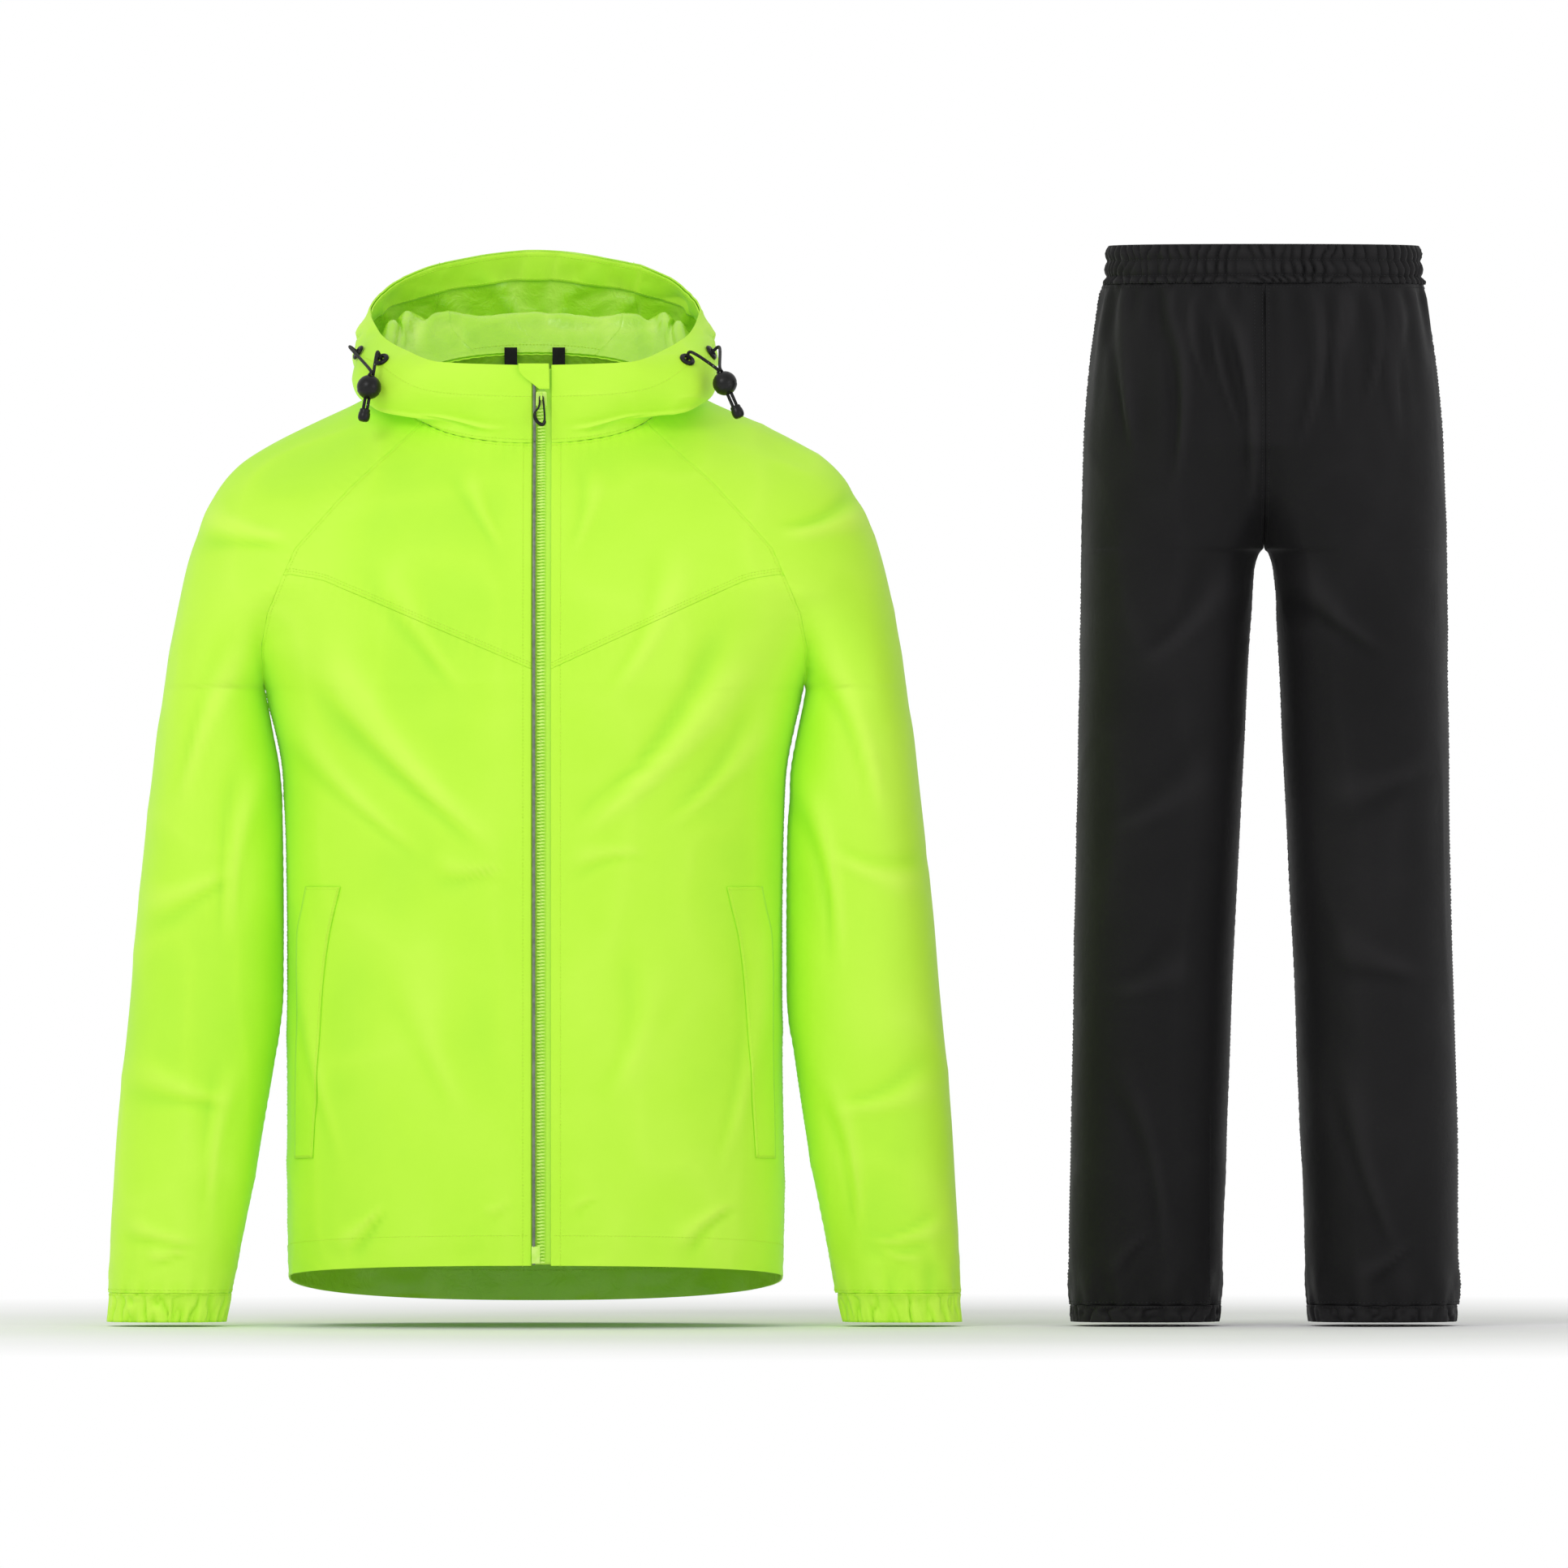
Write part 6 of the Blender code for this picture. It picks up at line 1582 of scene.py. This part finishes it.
def make_cord_end(tag, end, axis, looks):
    piece = turned(f"cord_end_{tag}", CORD_END_PROFILE, end, axis, looks["plastic"], steps=28)
    return dress(piece, (f"cord_end_{tag}",))


def cord_curve(name, path, look):
    curve = bpy.data.curves.new(name, "CURVE")
    curve.dimensions = "3D"
    curve.bevel_depth = CORD_RADIUS
    curve.bevel_resolution = 4
    curve.use_fill_caps = True
    line = curve.splines.new("POLY")
    line.points.add(len(path) - 1)
    for spot, spline_point in zip(path, line.points):
        spline_point.co = (*spot, 1.0)
    curve.materials.append(look)
    piece = bpy.data.objects.new(f"{name}_fine", curve)
    bpy.context.scene.collection.objects.link(piece)
    return piece


def make_cords(hood, looks):
    """Two strands on each side, from the eyelets through the lock to the cord end."""
    for tag, side, lock, end in CORD_SETS:
        lock = np.array(lock)
        end = np.array(end)
        axis = unit(end - lock)
        fittings = [make_lock(tag, lock, axis, looks), make_cord_end(tag, end, axis, looks)]
        for place, offset in (("rear", 1.0), ("front", -1.0)):
            u, v = [(row[2], row[3]) for row in EYELETS if row[0] == f"eyelet_{tag}_{place}"][0]
            point, normal = hood_place(hood, side, u, v)
            start = point + normal * CORD_START_OFF
            lift = point + normal * CORD_LIFT
            sideways = unit(np.cross(axis, (0, 1, 0))) * CORD_APART * offset * side
            above = lock - axis * CORD_ABOVE_LOCK + sideways
            mouth = lock - axis * CORD_AT_MOUTH + sideways
            below = end - axis * CORD_INTO_END + sideways
            path = spline_rows((start, lift, above, mouth, lock + sideways, below), 36)
            piece = cord_curve(f"drawcord_{tag}_{place}", path, looks["cord"])
            dress(piece, (f"drawcord_{tag}_{place}",))


def make_pull(looks):
    """The loop of thin cord on the slider's eye, with a rubber tip."""
    outline = spline_rows([(x, PULL_Y, z) for x, z in PULL_PATH], 70)
    strand = tube_mesh("zip_pull_loop", outline, PULL_RADIUS, (looks["plastic"],), sides=10, closed=True)
    dress(strand, ("zip_pull",), body="pull")
    path = spline_rows([(x, PULL_Y, z) for x, z in PULL_TIP], 40)
    share = np.linspace(0, 1, 40)
    radius = TIP_RADIUS - TIP_TAPER * np.abs(2 * share - 1) ** 6
    tip = tube_mesh("zip_pull_tip", path, radius, (looks["rubber"],), sides=14)
    dress(tip, body="pull")


def make_garage(middle, looks):
    """The small flap over the top of the zip, with a slanting lower edge."""
    rows = np.array(GARAGE_ROWS)
    at = np.linspace(0, len(rows) - 1, 26)
    z, x0, x1 = [curve_through(np.arange(len(rows)), rows[:, k], at) for k in range(3)]
    share = np.linspace(0, 1, 18)
    x = x0[:, None] + (x1 - x0)[:, None] * share[None, :]
    z = np.broadcast_to(z[:, None], x.shape)
    order = np.argsort(middle[0][:, 2])
    height = np.minimum(z, GARAGE_FLAT_FROM)
    y = np.interp(height, middle[0][order, 2], middle[0][order, 1]) - GARAGE_OFF
    crown = 0.0006 * (1 - (2 * share - 1) ** 2)[None, :] + 0.0004 * np.sin(at * 2.1)[:, None]
    outer = np.stack([x, y - crown, z], axis=-1)
    down, _, over, _ = edge_distances(outer)
    piece = walled_piece("zip_garage", outer, outer + (0, GARAGE_WALL, 0),
                         (looks["cloth"], looks["cloth"]), (over, down))
    dress(piece, ("zip_garage",))
    cut_from(outer)


def make_pockets(sheet, looks):
    rows = np.array(POCKET_ROWS)
    at = np.linspace(0, len(rows) - 1, 60)
    z, x0, x1 = [curve_through(np.arange(len(rows)), rows[:, k], at) for k in range(3)]
    down = np.linspace(15.0, 25.0, 600)
    heights = sheet.sample(down, np.full(600, 0.8))[0][:, 2]
    v = np.interp(-z, -heights, down)
    ends = [front_start(sheet, v, x) for x in (x0, x1)]
    share = np.linspace(0, 1, 12)
    u = ends[0][:, None] + (ends[1] - ends[0])[:, None] * share[None, :]
    v = np.broadcast_to(v[:, None], u.shape)
    made = {}
    for side, tag in SIDES:
        made[side] = Panel(f"pocket_flap_{tag}", sheet, v, u, side,
                           jacket_relief(FRONT_CREASES, calm_zip=True), (looks["cloth"], looks["cloth"]),
                           seams=(0, 0, 0, 0), lift=0.0015, wall=0.0010,
                           rests_on=(f"jacket_front_{tag}",))
    return made


def sew_pockets(pockets, looks):
    thread = Thread()
    for side in (1, -1):
        for edge in ("top", "bottom", "first"):
            thread.sew(pockets[side].beside(edge, 0.0022))
    return thread.piece("pocket_stitches", looks["thread"], "neon_cloth")


class Look:
    """A material with short calls to add nodes to it and join them."""

    def __init__(self, name, roughness, metallic=0.0, sheen=0.0, coat=0.0, specular=0.5):
        self.made = bpy.data.materials.new(name)
        self.made.use_nodes = True
        self.nodes = self.made.node_tree.nodes
        self.shader = self.nodes["Principled BSDF"]
        self.shader.inputs["Roughness"].default_value = roughness
        self.shader.inputs["Metallic"].default_value = metallic
        self.shader.inputs["Sheen Weight"].default_value = sheen
        self.shader.inputs["Sheen Roughness"].default_value = 0.4
        self.shader.inputs["Coat Weight"].default_value = coat
        self.shader.inputs["Coat Roughness"].default_value = 0.18
        self.shader.inputs["Specular IOR Level"].default_value = specular

    def add(self, kind, inputs=None, **settings):
        node = self.nodes.new(kind)
        for name, value in settings.items():
            setattr(node, name, value)
        for name, value in (inputs or {}).items():
            if isinstance(value, bpy.types.NodeSocket):
                self.made.node_tree.links.new(value, node.inputs[name])
            else:
                node.inputs[name].default_value = value
        return node

    def join(self, output, name):
        self.made.node_tree.links.new(output, self.shader.inputs[name])

    def ramp(self, factor, stops):
        node = self.add("ShaderNodeValToRGB", {"Fac": factor})
        for place, (at, colour) in enumerate(stops):
            element = node.color_ramp.elements[place] if place < 2 else node.color_ramp.elements.new(at)
            element.position = at
            element.color = (*colour, 1.0)
        return node.outputs["Color"]

    def bumps(self, layers):
        """Adds relief from several heights, each with its strength and depth."""
        normal = None
        for height, strength, depth in layers:
            inputs = {"Height": height, "Strength": strength, "Distance": depth}
            if normal is not None:
                inputs["Normal"] = normal
            normal = self.add("ShaderNodeBump", inputs).outputs["Normal"]
        self.join(normal, "Normal")


def cloth_look(name, painted_shade, middle, ridge, roughness, sheen, crinkle, coat=0.0, specular=0.5, painted_glow=0.0):
    """Woven cloth: a fine weave, a grain, soft crinkles, random tone, and painted shade in the hollows of
    its folds with a painted highlight on their ridges.
    """
    look = Look(name, roughness, sheen=sheen, coat=coat, specular=specular)
    place = look.add("ShaderNodeTexCoord")
    lengths = look.add("ShaderNodeUVMap", uv_map="cloth").outputs["UV"]
    # Relief heights, read to paint shade into hollows and a highlight onto ridges.
    solid = place.outputs["Object"]
    fold_shading = look.add("ShaderNodeAttribute", attribute_name="fold_shading").outputs["Fac"]
    cloudy = look.add("ShaderNodeTexNoise", {"Vector": solid, "Scale": 14.0, "Detail": 3.0}).outputs["Fac"]
    grain = look.add("ShaderNodeTexNoise", {"Vector": lengths, "Scale": 900.0, "Detail": 2.0}).outputs["Fac"]
    raised = look.add("ShaderNodeMath", {0: fold_shading, 1: 0.42, 2: 0.26}, operation="MULTIPLY_ADD").outputs[0]
    mixed = look.add("ShaderNodeMath", {0: cloudy, 1: 0.34, 2: raised}, operation="MULTIPLY_ADD").outputs[0]
    mixed = look.add("ShaderNodeMath", {0: grain, 1: 0.10, 2: mixed}, operation="MULTIPLY_ADD").outputs[0]
    # Base colour: random cloudy tone and grain, plus painted shade in hollows (first colour) and a painted
    # highlight on ridges (last colour).
    look.join(look.ramp(mixed, ((0.0, painted_shade), (1.0, ridge), (0.45, middle))), "Base Color")
    warp = look.add("ShaderNodeTexWave", {"Vector": lengths, "Scale": 520.0, "Distortion": 0.6},
                    wave_type="BANDS", bands_direction="X").outputs["Fac"]
    weft = look.add("ShaderNodeTexWave", {"Vector": lengths, "Scale": 520.0, "Distortion": 0.6},
                    wave_type="BANDS", bands_direction="Y").outputs["Fac"]
    weave = look.add("ShaderNodeMath", {0: warp, 1: weft}, operation="MULTIPLY").outputs[0]
    creased = look.add("ShaderNodeTexNoise", {"Vector": solid, "Scale": 55.0, "Detail": 4.0,
                                              "Roughness": 0.55, "Distortion": 0.6}).outputs["Fac"]
    spread = look.add("ShaderNodeTexNoise", {"Vector": solid, "Scale": 30.0, "Detail": 2.0}).outputs["Fac"]
    rough = look.add("ShaderNodeMapRange", {"Value": spread, "To Min": roughness - 0.07,
                                            "To Max": roughness + 0.07}).outputs["Result"]
    look.join(rough, "Roughness")
    look.bumps(((creased, crinkle, 0.0030), (grain, 0.25, 0.00025), (weave, 0.35, 0.00020)))
    # Painted glow: the cloth emits its own middle colour, so its shaded parts stay bright though it is no
    # lamp.
    if painted_glow:
        look.shader.inputs["Emission Color"].default_value = (*middle, 1.0)
        look.shader.inputs["Emission Strength"].default_value = painted_glow
    return look.made


def trim_look(name, colour, worn, roughness, scale, depth, metallic=0.0, coat=0.0, specular=0.5):
    """Moulded plastic, rubber or thread: a fine skin with scuffed, lighter patches."""
    look = Look(name, roughness, metallic, coat=coat, specular=specular)
    solid = look.add("ShaderNodeTexCoord").outputs["Object"]
    patches = look.add("ShaderNodeTexNoise", {"Vector": solid, "Scale": 160.0, "Detail": 5.0}).outputs["Fac"]
    look.join(look.ramp(patches, ((0.35, colour), (0.85, worn))), "Base Color")
    skin = look.add("ShaderNodeTexNoise", {"Vector": solid, "Scale": scale, "Detail": 3.0}).outputs["Fac"]
    rough = look.add("ShaderNodeMapRange", {"Value": patches, "To Min": max(roughness - 0.1, 0.05),
                                            "To Max": roughness + 0.1}).outputs["Result"]
    look.join(rough, "Roughness")
    look.bumps(((skin, 0.4, depth),))
    return look.made


def cord_look(name):
    """Braided black cord with light flecks."""
    look = Look(name, 0.55, specular=0.3)
    solid = look.add("ShaderNodeTexCoord").outputs["Object"]
    first = look.add("ShaderNodeTexWave", {"Vector": solid, "Scale": 190.0, "Distortion": 0.4},
                     wave_type="BANDS", bands_direction="DIAGONAL").outputs["Fac"]
    other_way = look.add("ShaderNodeMapping", {"Vector": solid, "Scale": (-1.0, 1.0, 1.0)})
    second = look.add("ShaderNodeTexWave", {"Vector": other_way.outputs["Vector"], "Scale": 190.0,
                                             "Distortion": 0.4},
                      wave_type="BANDS", bands_direction="DIAGONAL").outputs["Fac"]
    braid = look.add("ShaderNodeMath", {0: first, 1: second}, operation="MULTIPLY").outputs[0]
    cells = look.add("ShaderNodeTexVoronoi", {"Vector": solid, "Scale": 420.0}).outputs["Distance"]
    fleck = look.add("ShaderNodeMath", {0: cells, 1: 0.22}, operation="LESS_THAN").outputs[0]
    bright = look.add("ShaderNodeMath", {0: fleck, 1: braid}, operation="MULTIPLY").outputs[0]
    look.join(look.ramp(bright, ((0.25, (0.006, 0.006, 0.006)), (0.6, (0.30, 0.31, 0.30)))), "Base Color")
    look.bumps(((braid, 0.7, 0.0004),))
    return look.made


def make_looks():
    # Each cloth's first colour is painted shade for the hollows of its folds and its third a painted
    # highlight for their ridges; the second is its own colour. The emission value at the end of a cloth's
    # line, where given, is a painted glow that lifts its shaded parts.
    return {
        "cloth": cloth_look("neon_cloth_woven", (0.36, 0.80, 0.012), (0.50, 0.90, 0.030),
                            (0.62, 0.95, 0.075), 0.62, 0.12, 0.10, painted_glow=0.06),
        "coating": cloth_look("neon_coating_film", (0.27, 0.62, 0.012), (0.42, 0.80, 0.030),
                              (0.60, 0.92, 0.12), 0.24, 0.0, 0.80, coat=0.60, painted_glow=0.04),
        "black_cloth": cloth_look("black_cloth_woven", (0.0024, 0.0023, 0.0027), (0.0052, 0.0049, 0.0056),
                                  (0.0130, 0.0122, 0.0134), 0.60, 0.05, 0.16, specular=0.17),
        "tape": cloth_look("zip_tape_knit", (0.40, 0.82, 0.03), (0.54, 0.92, 0.07), (0.66, 0.96, 0.14),
                           0.70, 0.1, 0.05, painted_glow=0.05),
        "thread": trim_look("neon_thread", (0.56, 0.90, 0.035), (0.70, 0.95, 0.10), 0.6, 3000.0, 0.0001),
        "black_thread": trim_look("black_thread", (0.010, 0.010, 0.011), (0.030, 0.030, 0.032), 0.55, 3000.0,
                                  0.0001, specular=0.3),
        "teeth": trim_look("neon_moulded", (0.55, 0.90, 0.10), (0.72, 0.97, 0.25), 0.32, 900.0, 0.00006,
                           coat=0.2),
        "grey": trim_look("grey_reflective_film", (0.14, 0.155, 0.13), (0.26, 0.28, 0.24), 0.36, 1500.0,
                          0.00008, metallic=0.1),
        "plastic": trim_look("black_moulded", (0.003, 0.003, 0.0032), (0.009, 0.009, 0.0095), 0.34, 1100.0,
                             0.00008, specular=0.3),
        "rubber": trim_look("black_rubber", (0.003, 0.003, 0.003), (0.009, 0.009, 0.009), 0.28, 1400.0,
                            0.00005, specular=0.3),
        "webbing": trim_look("black_webbing", (0.0035, 0.0035, 0.004), (0.014, 0.014, 0.014), 0.75, 700.0,
                             0.0005, specular=0.25),
        "cord": cord_look("black_braid"),
    }


def finish_kept_solids(looks):
    """Better materials for the solids that keep their own shape."""
    for node, look in (("zip_slider", "teeth"), ("hanger_loop", "webbing")):
        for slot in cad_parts[node].material_slots:
            slot.material = looks[look]


def make_camera():
    data = bpy.data.cameras.new("camera")
    data.sensor_width = 36.0
    data.lens = 36.0 * CAMERA_AWAY / (PHOTO_SIDE * PHOTO_SCALE)
    data.clip_end = 100.0
    camera = bpy.data.objects.new("camera", data)
    camera.location = (CAMERA_X, -CAMERA_AWAY, CAMERA_Z)
    camera.rotation_euler = (math.pi / 2, 0, 0)
    bpy.context.scene.collection.objects.link(camera)
    bpy.context.scene.camera = camera


def make_light(name, place, aim, size, energy):
    data = bpy.data.lights.new(name, "AREA")
    data.shape = "DISK"
    data.size = size
    data.energy = energy
    light = bpy.data.objects.new(name, data)
    light.location = place
    light.rotation_euler = (Vector(aim) - Vector(place)).to_track_quat("-Z", "Y").to_euler()
    bpy.context.scene.collection.objects.link(light)


def make_surround():
    """A white backdrop for the camera and an even, slightly dimmer light all round."""
    world = bpy.data.worlds.new("studio")
    world.use_nodes = True
    tree = world.node_tree
    backdrop = tree.nodes["Background"]
    backdrop.inputs["Color"].default_value = (1, 1, 1, 1)
    backdrop.inputs["Strength"].default_value = 1.0
    fill = tree.nodes.new("ShaderNodeBackground")
    fill.inputs["Color"].default_value = (1, 1, 1, 1)
    fill.inputs["Strength"].default_value = SURROUND
    seen = tree.nodes.new("ShaderNodeLightPath")
    mix = tree.nodes.new("ShaderNodeMixShader")
    tree.links.new(seen.outputs["Is Camera Ray"], mix.inputs[0])
    tree.links.new(fill.outputs[0], mix.inputs[1])
    tree.links.new(backdrop.outputs[0], mix.inputs[2])
    tree.links.new(mix.outputs[0], tree.nodes["World Output"].inputs["Surface"])
    bpy.context.scene.world = world


def make_studio():
    """A pale floor that fades into the backdrop, and two soft lights."""
    make_surround()
    turns = [2 * math.pi * k / FLOOR_SIDES for k in range(FLOOR_SIDES)]
    points = [(FLOOR_X, 0.0, FLOOR_Z)]
    points += [(FLOOR_X + FLOOR_RADIUS * math.cos(turn), FLOOR_RADIUS * math.sin(turn), FLOOR_Z)
               for turn in turns]
    faces = [(0, 1 + k, 1 + (k + 1) % FLOOR_SIDES) for k in range(FLOOR_SIDES)]
    look = Look("studio_floor", 0.9)
    solid = look.add("ShaderNodeTexCoord").outputs["Object"]
    mottle = look.add("ShaderNodeTexNoise", {"Vector": solid, "Scale": 3.0}).outputs["Fac"]
    look.join(look.ramp(mottle, ((0.3, (0.86, 0.86, 0.86)), (0.7, (0.89, 0.89, 0.89)))), "Base Color")
    far = look.add("ShaderNodeVectorMath", {0: solid, 1: (FLOOR_X, 0.0, FLOOR_Z)},
                   operation="DISTANCE").outputs["Value"]
    fade = look.add("ShaderNodeMapRange", {"Value": far, "From Min": FADE_FROM,
                                           "From Max": FADE_TO}).outputs["Result"]
    bright = look.add("ShaderNodeEmission", {"Color": (1, 1, 1, 1), "Strength": 1.0}).outputs[0]
    blend = look.add("ShaderNodeMixShader", {0: fade, 1: look.shader.outputs[0], 2: bright}).outputs[0]
    look.made.node_tree.links.new(blend, look.nodes["Material Output"].inputs["Surface"])
    mesh_piece("floor", points, faces, (look.made,))
    for light in LIGHTS:
        make_light(*light)


def main():
    bpy.context.scene.view_settings.view_transform = "Standard"
    make_camera()
    looks = make_looks()
    sheets = jacket_sheets()
    hood = hood_sheet()
    make_cords(hood, looks)
    make_eyelets(hood, looks)
    jacket = make_jacket(sheets, looks)
    hood_panels = make_hood(hood, looks)
    cuffs = make_cuffs(looks)
    middle = make_zip(sheets, hood, looks)
    make_pull(looks)
    make_garage(middle, looks)
    pockets = make_pockets(sheets["front"], looks)
    sew_jacket(jacket, hood_panels, cuffs, looks)
    sew_pockets(pockets, looks)
    legs = make_trouser_panels(trouser_sheets(), looks)
    hems = make_hems(looks)
    waist = make_waistband(looks)
    sew_trousers(legs, hems, waist, looks)
    finish_kept_solids(looks)
    make_studio()


main()
